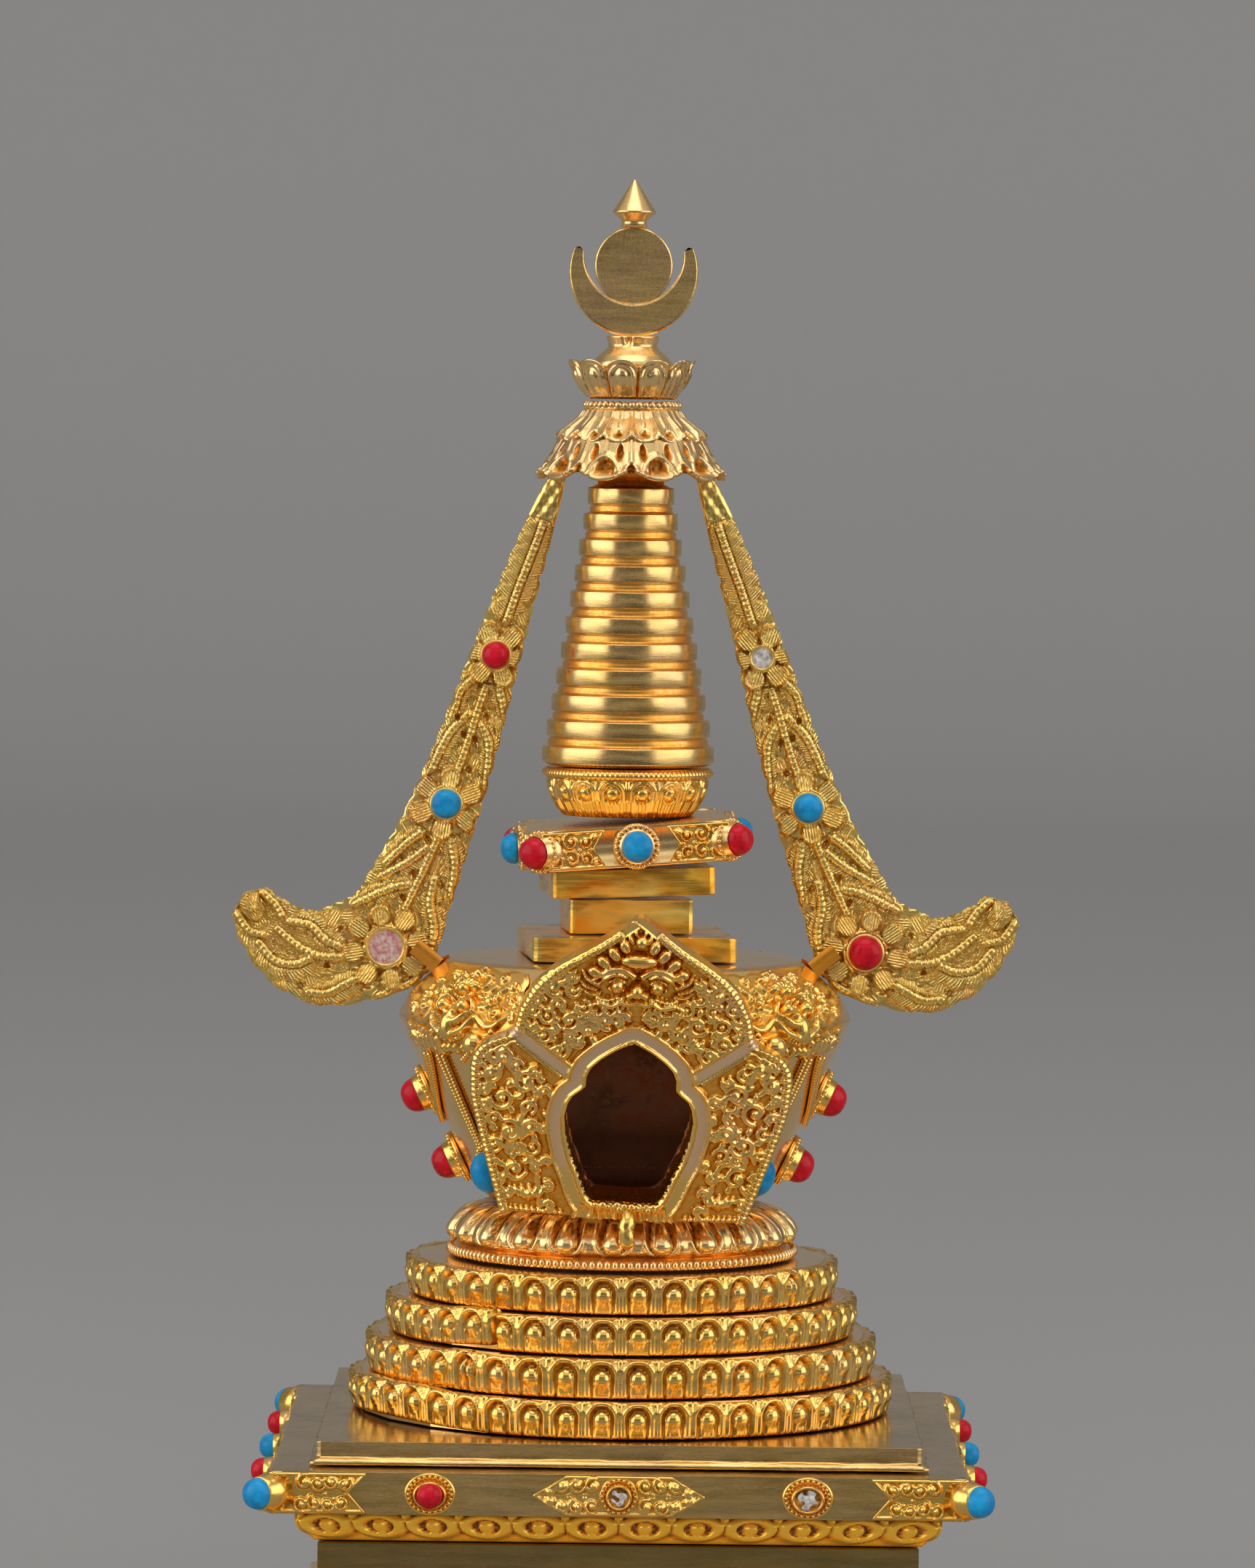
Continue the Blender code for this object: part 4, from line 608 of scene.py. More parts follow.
def filling(shape, place, radius, height, seed=1.0):
    """Crumbly remains in a setting that has lost its stone."""
    columns = 24
    angle = TURN * np.arange(columns) / columns
    t = shares(6)[:, None]
    r = radius * (1 - t * 0.97)
    x, y = r * np.cos(angle), r * np.sin(angle)
    crumbs = 0.2 * np.sin(2.3 * x + 1.3 * y + seed) * np.sin(2.9 * y - 0.9 * x + 2 * seed)
    crumbs += 0.1 * np.sin(5.1 * x + seed) * np.sin(4.3 * y + 3 * seed)
    z = height * (1 - 0.4 * (1 - t) ** 2) + crumbs * smooth(t, 0, 0.3)
    domed(shape, place, np.broadcast_to(r, z.shape), z, slot=PASTE)


# Materials

class Nodes:
    """Short way to write a node tree."""

    def __init__(self, material):
        self.tree = material.node_tree
        self.shader = self.tree.nodes["Principled BSDF"]

    def add(self, kind, settings=None, **inputs):
        """Add a node; keyword inputs are values or other nodes' outputs."""
        node = self.tree.nodes.new(kind)
        for key, value in (settings or {}).items():
            setattr(node, key, value)
        for key, value in inputs.items():
            self.put(node.inputs[key.replace("_", " ")], value)
        return node

    def put(self, socket, value):
        if isinstance(value, bpy.types.NodeSocket):
            self.tree.links.new(value, socket)
        else:
            socket.default_value = value

    def ramp(self, factor, *stops):
        """Colour ramp from (position, colour) stops."""
        node = self.add("ShaderNodeValToRGB", Fac=factor)
        ramp = node.color_ramp
        while len(ramp.elements) < len(stops):
            ramp.elements.new(0.5)
        for element, (position, color) in zip(ramp.elements, stops):
            element.position = position
            element.color = (*color, 1) if len(color) == 3 else color
        return node.outputs["Color"]

    def noise(self, scale, detail=3.0, stretch=None, roughness=0.55):
        """Noise in object space. Scale is in features per millimetre."""
        vector = self.add("ShaderNodeTexCoord").outputs["Object"]
        if stretch:
            vector = self.add("ShaderNodeMapping", Vector=vector, Scale=stretch).outputs["Vector"]
        settings = {"Scale": scale / MM, "Detail": detail, "Roughness": roughness}
        return self.add("ShaderNodeTexNoise", Vector=vector, **settings).outputs["Fac"]

    def range(self, value, low, high, to_low=0.0, to_high=1.0):
        """Map a value's range onto another and clamp it."""
        limits = {"From_Min": low, "From_Max": high, "To_Min": to_low, "To_Max": to_high}
        return self.add("ShaderNodeMapRange", Value=value, **limits).outputs[0]

    def attribute(self, name):
        """Number that a mesh carries at each of its points."""
        return self.add("ShaderNodeAttribute", {"attribute_name": name}).outputs["Fac"]

    def math(self, operation, a, b=0.0):
        node = self.add("ShaderNodeMath", {"operation": operation})
        self.put(node.inputs[0], a)
        self.put(node.inputs[1], b)
        return node.outputs[0]

    def mix(self, factor, a, b, blend="MIX"):
        node = self.add("ShaderNodeMix", {"data_type": "RGBA", "blend_type": blend})
        self.put(node.inputs["Factor"], factor)
        self.put(node.inputs[6], a if isinstance(a, bpy.types.NodeSocket) else (*a, 1))
        self.put(node.inputs[7], b if isinstance(b, bpy.types.NodeSocket) else (*b, 1))
        return node.outputs[2]

    def bump(self, height, strength, distance=0.05, normal=None):
        """Bump from a height; distance is in millimetres."""
        node = self.add("ShaderNodeBump", Height=height, Strength=strength, Distance=distance * MM)
        if normal is not None:
            self.put(node.inputs["Normal"], normal)
        return node.outputs["Normal"]


def new_material(name, metallic=0.0, roughness=0.5):
    made = bpy.data.materials.new(name)
    made.use_nodes = True
    nodes = Nodes(made)
    nodes.shader.inputs["Metallic"].default_value = metallic
    nodes.shader.inputs["Roughness"].default_value = roughness
    return made, nodes


# Painted shade: recesses turn orange, the deepest ones dark brown
RECESS_ORANGE, RECESS_SHADE = (0.90, 0.37, 0.03), (0.16, 0.055, 0.02)
# Painted reflections: dark olive streaks on flat faces, pale grey in the plaque's channels
DARK_REFLECTION, PALE_REFLECTION = (0.22, 0.17, 0.06), (0.92, 0.65, 0.40)


def gilt(name, gloss, scratch, grain, warm=0.0, tint=(1, 1, 1), comb=0.0, metal=1.0, reflection_and_buckle=0.0):
    """Fire gilding over copper, with shade painted into its recesses: orange, then dark brown in the deepest.

    Gloss is its roughness where it is rubbed, scratch and grain are strengths of its bump, warm
    and tint change its colour, comb is the depth of engraved lines, and the last setting paints
    dark reflections in streaks on flat faces and buckles them.
    """
    made, nodes = new_material(name, metallic=metal)
    recess = nodes.attribute("recess")
    patches = nodes.noise(0.11, 4.0)
    specks = nodes.noise(1.7, 3.0)
    deep = nodes.math("ADD", recess, nodes.range(specks, 0.35, 0.75, -0.10, 0.14))
    bright = nodes.ramp(
        patches,
        (0.30, (0.92, 0.58, 0.20 - 0.07 * warm)), (0.50, (1.0, 0.67 - 0.04 * warm, 0.27 - 0.10 * warm)),
        (0.68, (0.95, 0.60, 0.28 - 0.06 * warm)),
    )
    bright = nodes.mix(1.0, bright, tint, "MULTIPLY")
    # Painted dark reflections in streaks on flat faces
    if reflection_and_buckle:
        streaks = nodes.noise(0.2, 6.0, (0.3, 0.3, 3.0), 0.75)
        bright = nodes.mix(nodes.range(streaks, 0.42, 0.66, 0.0, reflection_and_buckle), bright, DARK_REFLECTION)
    # Painted shade: orange in recesses, dark brown in the deepest ones
    color = nodes.mix(nodes.range(deep, 0.25, 0.62), bright, RECESS_ORANGE)
    color = nodes.mix(nodes.range(deep, 0.66, 0.98), color, RECESS_SHADE)
    # Painted pale reflection where the recess value is below zero
    pale = nodes.range(recess, -0.15, -0.6)
    color = nodes.mix(pale, color, PALE_REFLECTION)
    nodes.put(nodes.shader.inputs["Base Color"], color)
    lines = nodes.noise(0.9, 5.0, (1, 1, 14), 0.7)
    cross = nodes.noise(0.7, 5.0, (9, 1, 1), 0.7)
    wear = nodes.math("MULTIPLY", nodes.math("ADD", lines, cross), 0.5)
    worn, dirty = nodes.range(wear, 0.35, 0.7, gloss, gloss + 0.16), nodes.range(deep, 0.3, 1.0, 0.0, 0.35)
    rough = nodes.math("ADD", nodes.math("ADD", worn, dirty), nodes.math("MULTIPLY", pale, 0.26))
    nodes.put(nodes.shader.inputs["Roughness"], rough)
    normal = nodes.bump(wear, scratch, 0.03)
    normal = nodes.bump(nodes.noise(2.6, 3.0), grain, 0.06, normal)
    if reflection_and_buckle:
        normal = nodes.bump(streaks, reflection_and_buckle, 0.12, normal)
    if comb:
        across = nodes.math("MULTIPLY", nodes.attribute("comb"), TURN / HATCH_PITCH)
        normal = nodes.bump(nodes.math("SINE", across), comb, 0.08, normal)
    nodes.put(nodes.shader.inputs["Normal"], normal)
    return made


def stone(name, dark, light, gloss):
    """Opaque cabochon: mottled, with small pits."""
    made, nodes = new_material(name, roughness=gloss)
    mottle = nodes.noise(0.5, 4.0)
    nodes.put(nodes.shader.inputs["Base Color"], nodes.mix(nodes.range(mottle, 0.3, 0.7), dark, light))
    nodes.put(nodes.shader.inputs["Normal"], nodes.bump(nodes.noise(1.6, 3.0), 0.22, 0.05))
    nodes.shader.inputs["Specular IOR Level"].default_value = 0.2
    nodes.shader.inputs["Coat Weight"].default_value = 0.05
    nodes.shader.inputs["Coat Roughness"].default_value = 0.1
    return made


def streaked():
    """Polished faces of the terrace: orange gilding with dark streaks painted in as reflections."""
    made, nodes = new_material("gilt_streaked", metallic=0.75)
    patches = nodes.noise(0.07, 2.0, (1, 1, 1.6))
    shade = nodes.noise(0.16, 3.0, (0.5, 0.5, 1.8))
    streaks = nodes.noise(0.7, 4.0, (0.16, 0.16, 5), 0.7)
    color = nodes.ramp(
        patches, (0.38, (1.0, 0.68, 0.14)), (0.50, (1.0, 0.44, 0.03)), (0.62, (1.0, 0.58, 0.07)),
    )
    # Painted dark reflections in streaks
    dark = nodes.math("MULTIPLY", nodes.range(shade, 0.47, 0.56), nodes.range(streaks, 0.35, 0.6, 0.35, 1.0))
    color = nodes.mix(nodes.math("MULTIPLY", dark, 0.8), color, (0.30, 0.17, 0.03))
    nodes.put(nodes.shader.inputs["Base Color"], color)
    nodes.put(nodes.shader.inputs["Roughness"], nodes.range(streaks, 0.3, 0.7, 0.12, 0.26))
    normal = nodes.bump(streaks, 0.2, 0.05)
    nodes.put(nodes.shader.inputs["Normal"], nodes.bump(patches, 0.6, 1.2, normal))
    return made


def oxide():
    """Unpolished inside of the dome: brown copper with red patches, darkened almost to black towards the
    bottom as painted shade.
    """
    made, nodes = new_material("dome_oxide")
    patches = nodes.noise(0.16, 6.0)
    spots = nodes.noise(0.9, 4.0)
    place = nodes.add("ShaderNodeTexCoord").outputs["Object"]
    height = nodes.add("ShaderNodeSeparateXYZ", Vector=place).outputs["Z"]
    rise = nodes.range(height, 0.080, 0.092)
    color = nodes.ramp(
        patches, (0.36, (0.50, 0.22, 0.11)), (0.52, (0.95, 0.40, 0.17)), (0.66, (1.0, 0.26, 0.06)),
    )
    color = nodes.mix(nodes.range(spots, 0.54, 0.66, 0.0, 0.7), color, (0.92, 0.55, 0.20))
    # Painted shade: the lower inside is darkened almost to black
    color = nodes.mix(rise, nodes.mix(0.94, color, (0.11, 0.030, 0.014)), color)
    nodes.put(nodes.shader.inputs["Base Color"], color)
    nodes.put(nodes.shader.inputs["Roughness"], nodes.range(spots, 0.3, 0.7, 0.5, 0.8))
    nodes.put(nodes.shader.inputs["Normal"], nodes.bump(spots, 0.5, 0.1))
    return made


def paste(name, dark, light):
    """Dull crumbly filling of a setting that has lost its stone."""
    made, nodes = new_material(name, roughness=0.85)
    crumbs = nodes.noise(1.3, 5.0)
    nodes.put(nodes.shader.inputs["Base Color"], nodes.mix(nodes.range(crumbs, 0.35, 0.65), dark, light))
    nodes.put(nodes.shader.inputs["Normal"], nodes.bump(crumbs, 0.7, 0.15))
    return made


gold = gilt("gilt_polished", 0.12, 0.10, 0.05)
cast = gilt("gilt_cast", 0.16, 0.12, 0.22, warm=1.0)
copper = gilt("bare_copper", 0.26, 0.2, 0.2, warm=1.0, tint=(1.0, 0.62, 0.3))
red = stone("coral_red", (0.38, 0.002, 0.008), (0.64, 0.008, 0.026), 0.26)
blue = stone("turquoise_blue", (0.004, 0.17, 0.40), (0.015, 0.34, 0.66), 0.28)
white_paste = paste("grey_paste", (0.28, 0.26, 0.24), (0.70, 0.66, 0.62))
pink_paste = paste("pink_paste", (0.46, 0.12, 0.13), (0.60, 0.52, 0.45))
inside = oxide()
terrace = streaked()
seam_gilding, seam_nodes = new_material("gilt_seam", metallic=0.8, roughness=0.4)
seam_nodes.shader.inputs["Base Color"].default_value = (0.62, 0.36, 0.10, 1)
# Tints give some copies a hue of their own and also paint light and shade into them: satin, canopy, neck and
# slab are darker, petals and engraved brighter
satin = gilt("gilt_satin", 0.17, 0.14, 0.06, warm=0.3, tint=(0.92, 0.92, 0.92), reflection_and_buckle=0.3)
plates = gilt("gilt_plates", 0.2, 0.35, 0.3, reflection_and_buckle=0.45)
petal_gilt = gilt("gilt_petals", 0.2, 0.12, 0.2, warm=1.0, tint=(1.15, 0.95, 0.3), metal=0.55)
lotus_gilt = gilt("gilt_lotus", 0.18, 0.12, 0.2, warm=-0.3)
canopy_gilt = gilt("gilt_canopy", 0.22, 0.12, 0.2, warm=-0.4, tint=(0.95, 0.95, 0.95))
neck_gilt = gilt("gilt_neck", 0.16, 0.5, 0.2, tint=(0.36, 0.36, 0.30), reflection_and_buckle=0.8)
slab_gilt = gilt("gilt_slab", 0.13, 0.12, 0.05, tint=(0.78, 0.78, 0.74), reflection_and_buckle=0.55)
soft_gilt = gilt("gilt_soft", 0.2, 0.15, 0.1, warm=-0.2)
engraved = gilt("gilt_engraved", 0.24, 0.12, 0.12, warm=0.2, tint=(1.05, 1.08, 0.85), comb=0.9)


# Base

def edge_roll(low, high, half, roll):
    """Profile of a slab with rounded edges, from its bottom to its top."""
    rows = [(half - 3 * roll, low), (half, low), (half, high), (half - 3 * roll, high)]
    return rounded(rows, 5, min(roll / (high - low), 0.45))


def petal_share(petals, per_petal):
    """Place of every column across its petal, from -0.5 to 0.5."""
    return np.arange(petals * per_petal) % per_petal / per_petal - 0.5


def base_petals(name, node, flip):
    """Square moulding with a row of eye-shaped petals, each with a ball in it."""
    low, high = heights(node)
    half = reach(node) - 0.15
    neck = reach("base_neck") + 0.3
    per_petal, per_side, rows = (12 if flip else 20), 12, 20
    pitch = 2 * half / per_side
    local = np.tile(petal_share(per_side, per_petal), 4) * pitch
    rise = shares(rows)[:, None]
    t = 1 - rise if flip else rise
    body = neck + (half - 0.7 - neck) * np.sin(np.clip(t * 1.15, 0, 1) * math.pi / 2) ** 0.8
    up = (t - 0.56) * (high - low)
    eye = np.hypot(local / (0.45 * pitch), up / 1.85)
    ball = knob(local, up + 0.1, 1.25, 1.15)
    leaf = ridge(np.abs(np.abs(local) - pitch / 2) + 0.1 * np.abs(up - 1.2), 0.0, 1.0) * smooth(up, 0.0, 0.9)
    relief = 1.15 * ridge(eye, 0.84, 0.56) - 0.3 * (eye < 0.6) + 1.4 * ball + 0.5 * leaf
    relief = relief * smooth(np.minimum(t, 1 - t), 0, 0.06)
    # Painted shade past the petals' tips and in the sockets round the balls
    painted_shade = 0.4 * smooth(up, 1.2, 1.9) * (eye > 1.1) + 0.2 * (eye < 0.65) * (ball == 0)
    recess = np.clip(ended(hollow(relief, 10, 0.6) + painted_shade + 0.12), 0, 0.95)
    z = np.broadcast_to(low + (high - low) * rise, relief.shape)
    within = np.full((1, local.size), neck - 1.5)
    x = np.concatenate([within, np.minimum(body + 0.75 * relief, half + 0.15), within])
    shape = Shape()
    squared(shape, x, ended(z), per_petal * per_side, recess)
    make(name, shape, [petal_gilt], "gilt_cast", node)


def corner_panel(length, half_height, notch):
    """Swallow-tailed panel with two rows of scrolls; x runs from the corner to the tail."""
    canvas = Canvas(-0.4, length + 0.4, -half_height - 0.4, half_height + 0.4)
    edge, middle, first, columns = 0.3, 0.2, 3.9, 4
    step = (length - notch - first) / columns
    tip = np.array((length - notch - edge, 0))
    for row, side in enumerate((-1, 1)):
        far = np.array((length - edge, side * (half_height - edge)))
        canvas.stroke([(0, far[1]), far], 0.5, 0.35)
        canvas.stroke([far, (far + tip) / 2, tip], 0.55, 0.4)
        y = side * half_height * 0.5
        for i in range(columns):
            x = first + step * (i + 0.45 + 0.25 * row)
            hand = 1 if (i + row) % 2 else -1
            canvas.scroll(x, y + 0.12 * hand, 1.12, 1.15, 80 * hand + 40 * i, hand, 0.62, 0.6, 0.5)
            canvas.ball(x + step * 0.5, y * 0.25 + 0.5 * hand, 0.26, 0.3)
    for k in range(9):
        turn = math.radians(-78 + 19.5 * k)
        canvas.ball(middle + 3.05 * math.cos(turn), 3.0 * math.sin(turn), 0.27, 0.36)
    arc = [(middle + 2.5 * math.cos(a), 2.5 * math.sin(a)) for a in np.linspace(-1.4, 1.4, 9)]
    canvas.stroke(arc, 0.5, 0.5)
    return canvas


def lozenge_panel(half_length, half_height, end):
    """Long hexagonal panel with four scrolls in each quarter."""
    canvas = Canvas(-half_length - 0.4, half_length + 0.4, -half_height - 0.4, half_height + 0.4)
    edge = 0.3
    inner, tall = half_length - end, half_height - edge
    spots = ((3.9, 0.5, 1.05), (6.2, 0.52, 1.05), (8.3, 0.47, 0.95), (10.2, 0.22, 0.7))
    for x in (-1, 1):
        for y in (-1, 1):
            canvas.stroke([(0, y * tall), (x * inner, y * tall)], 0.5, 0.35)
            canvas.stroke([(x * inner, y * tall), (x * (half_length - edge), 0)], 0.5, 0.35)
            for i, (across, rise, size) in enumerate(spots):
                hand = x * y * (1 if i % 2 else -1)
                up = y * rise * half_height
                canvas.scroll(x * across, up, 1.06 * size, 1.15, 70 * hand + 45 * i, hand, 0.62, 0.6, 0.5)
            canvas.ball(x * 5.0, y * 0.3, 0.26, 0.3)
            canvas.ball(x * 7.3, y * 0.25, 0.26, 0.3)
        canvas.ball(x * 11.9, 0, 0.3, 0.4)
    return canvas


def lay_panel(shape, place, canvas, half_height, ends, thickness, columns, rows=24):
    """Cut a panel from a canvas and stand it on a flat face. Ends gives x's ends at each height."""
    y = half_height * (2 * shares(rows)[:, None] - 1)
    left, right = ends(y)
    x = left + (right - left) * shares(columns)[None]
    y = np.broadcast_to(y, x.shape)
    # Painted shade in the panel's hollows, and a little everywhere
    recess = canvas.at(x, y, hollow(canvas.height, 10, 0.42)) + 0.12
    plate(shape, place, x, y, thickness + canvas.at(x, y), recess, 0.3, slot=WORN)


def base_cornice():
    """Polished slab with soldered panels and the settings of its twelve side and four corner stones."""
    low = heights("base_cornice")[0]
    high = heights("base_plinth")[0] - 0.3
    half, per_side = CORNICE_HALF, 40
    middle = (low + high) / 2
    half_height = (high - low) / 2 - 0.12
    rows = np.array(edge_roll(low, high, half, 0.3))
    columns = np.arange(4 * per_side)
    wave = 0.05 * np.sin(columns * 0.9) * np.sin(columns * 0.23)
    slab, settings = Shape(), Shape()
    squared(slab, rows[:, :1] + wave, rows[:, 1:] + 0.6 * wave, per_side)
    length, notch, size, end = 14.4, 2.6, 12.8, 5.0
    tailed, pointed = corner_panel(length, half_height, notch), lozenge_panel(size, half_height, end)

    def tail(y):
        return 0 * y, length - notch + notch * np.abs(y) / half_height

    def point(y):
        far = size - end * np.abs(y) / half_height
        return -far, far

    for k, side in enumerate(SIDES):
        front = side == "front"
        across, out = quarter(k) @ (1, 0, 0), quarter(k) @ (0, -1, 0)
        origin = out * half + (0, 0, middle)
        face = flat(origin, across, (0, 0, 1))
        for hand, word in ((-1, "left"), (1, "right")):
            corner = flat(origin + across * hand * (half + 0.4), -hand * across, (0, 0, 1))
            fineness = (92, 40) if front else (56, 24)
            lay_panel(slab, facing(corner, out), tailed, half_height, tail, 0.2, *fineness)
            disc = shifted(face, hand * DISC_PLACE, 0)
            mount(settings, disc, 3.15, 1.85, 2.1, 1.2 if front else 1.1, 24)
            if front and hand > 0:
                filling(settings, shifted(disc, 0, 0, 1.3), 1.75, 0.8)
            else:
                seat = shifted(disc, 0, 0, 2.1)
                cabochon(f"base_stone_{side}_{word}", seat, 1.95, 2.0, red, seed=k + hand)
        fineness = (136, 32) if front else (88, 20)
        lay_panel(slab, face, pointed, half_height, point, 0.2, *fineness)
        mount(settings, face, 2.9, 1.7, 2.1, 1.0, 20)
        if front:
            filling(settings, shifted(face, 0, 0, 1.2), 1.6, 0.8, seed=2.3)
        else:
            cabochon(f"base_stone_{side}_middle", shifted(face, 0, 0, 2.1), 1.95, 2.0, blue, seed=k)
    collar = [
        (2.9, -2.2), (2.9, 0.2), (2.75, 0.8), (2.6, 1.3), (2.55, 1.9), (2.4, 2.05), (2.25, 1.9), (0.05, 1.8),
    ]
    for k, (x, y) in enumerate(((-1, -1), (1, -1), (1, 1), (-1, 1))):
        place = flat((x * (half + 0.3), y * (half + 0.3), middle), (-y, x, 0), (0, 0, 1))
        # Painted shade round the collar's foot and inside it
        spun(settings, place, collar, 40, [0.3, 0.3, 0.2, 0.1, 0, 0, 0.4, 0.5])
        cabochon(f"base_stone_corner_{k + 1}", shifted(place, 0, 0, 2.0), 2.4, 2.3, blue, seed=k)
    make("base_cornice_slab", slab, [slab_gilt, cast], "gilt_polished", "base_cornice")
    make("base_settings", settings, [cast, cast, white_paste], "gilt_cast")


def base_plinth():
    """Raised square block with an uneven fillet of solder round its foot."""
    low, high = heights("base_plinth")
    half = reach("base_plinth")
    per_side = 90
    columns = np.arange(4 * per_side)
    bumps = 0.12 * np.sin(columns * 1.7) * np.sin(columns * 0.61 + 1) + 0.1 * np.sin(columns * 0.37)
    fillet = [
        (half - 4, low), (half + 1.05, low), (half + 0.95, low + 0.45), (half + 0.35, low + 0.85),
        (half, low + 1.05),
    ]
    wall = [(half, low + 1.2), (half, high - 0.4)]
    top = [tuple(row) for row in edge_roll(low, high, half, 0.18) if row[1] > high - 0.3]
    rows = np.array(fillet + wall + top)
    plain = np.zeros(len(rows) - len(fillet))
    # The last list paints shade where the fillet meets the wall
    swell, rise, recess = (
        np.concatenate([amounts, plain])[:, None]
        for amounts in ([0, 1, 1, 0.7, 0.2], [0, 0, 0, 0.8, 0], [0, 0.05, 0, 0.15, 0.5])
    )
    shape = Shape()
    squared(shape, rows[:, :1] + swell * bumps, rows[:, 1:] + rise * bumps, per_side, recess)
    make("base_plinth_block", shape, [slab_gilt], "gilt_polished", "base_plinth")


# Round steps and the lotus ring

def step_petal(across, up, pitch, tall):
    """Upright petal: an arch round a field, with a bulb on four fingers."""
    arch, finger = pitch * 0.43, 0.66
    away = np.hypot(across, np.maximum(up - tall + arch, 0))
    rim = ridge(away, arch * 0.93, 0.72) * (0.42 + 0.55 * smooth(up, 0.45 * tall, 0.92 * tall))
    field = -0.42 * smooth(arch * 0.86 - away, 0, 0.7)
    bulb = 1.05 * knob(across, up - 0.5 * tall, 1.3, 1.45)
    below = smooth(0.46 * tall - up, 0, 0.4) * (np.abs(across) < 1.35)
    fingers = below * (0.35 + 0.45 * np.abs(np.cos(across * math.pi / finger)) ** 0.6)
    holes = sum(knob(across - k * finger, up - 0.33 * tall, 0.24, 0.42) for k in (-1, 0, 1))
    side = np.abs(np.abs(across) - pitch / 2)
    leaf = 0.55 * ridge(side - 0.16 * (tall - up), -0.3, 0.9) * smooth(up, 0.5 * tall, 0.62 * tall)
    relief = np.maximum.reduce([rim, bulb - 0.1, fingers - 0.1, leaf, 0 * rim]) + field * (bulb < 0.1)
    return relief - 0.35 * holes, holes


def strip_seam(number, angle, outer):
    """How open a strip's seam is and how far the strip stands off beside it, at every angle."""
    azimuth, gap, lift, spread = STRIP_SEAMS[number]
    off = ((angle - azimuth + 180) % 360 - 180) * math.radians(outer)
    opened = smooth(gap / 2 + 0.15 - np.abs(off), 0, 0.3) if gap else 0 * off
    one_side = smooth(0.6 - off, 0, 0.6) if gap else 1.0
    return opened, lift * np.exp(-(off / spread) ** 2) * one_side


def step_strips():
    """Petal strips round the four steps, with their seams and lifted ends."""
    per_petal, rows = 20, 15
    for number, petals in STEP_PETALS.items():
        node = f"step_petals_{number}"
        low, high = heights(node)
        tall = high - low
        outer = reach(node) - 0.5
        pitch = TURN * outer / petals
        up = tall * shares(rows)[:, None]
        column = np.arange(petals * per_petal)
        relief, holes = step_petal(petal_share(petals, per_petal)[None] * pitch, up, pitch, tall)
        opened, lifted = strip_seam(number, 360 * column / len(column), outer)
        z = low + up + 0.12 * np.sin(column * 0.11 + number)[None] * (up / tall) + lifted
        radius = outer - 0.75 + 0.85 * relief * smooth(up, 0.0, 0.25) + 0.25 * np.sin(up / tall * math.pi)
        radius = radius - 1.6 * opened + 0.3 * lifted
        # Painted shade in the hollows, the dented holes and the open seams, and along the foot of each strip,
        # uneven round it and deeper under a lifted end
        recess = hollow(relief, 8, 0.62, True) + 0.55 * holes + 0.7 * opened
        painted_shade = smooth(0.9 - up, 0, 0.9) * (0.35 + 0.3 * np.sin(column * 0.07 + 2 * number) + 0.6 * lifted)
        recess = ended(np.clip(recess + painted_shade, 0, 0.95))
        recess[-1] = 0.1
        back = np.full((1, len(column)), outer - 1.9)
        shape = Shape()
        turned(shape, np.concatenate([back, radius, back]), ended(z), recess, GOLD, True)
        make(f"strip_{number}", shape, [cast], "gilt_cast", node)


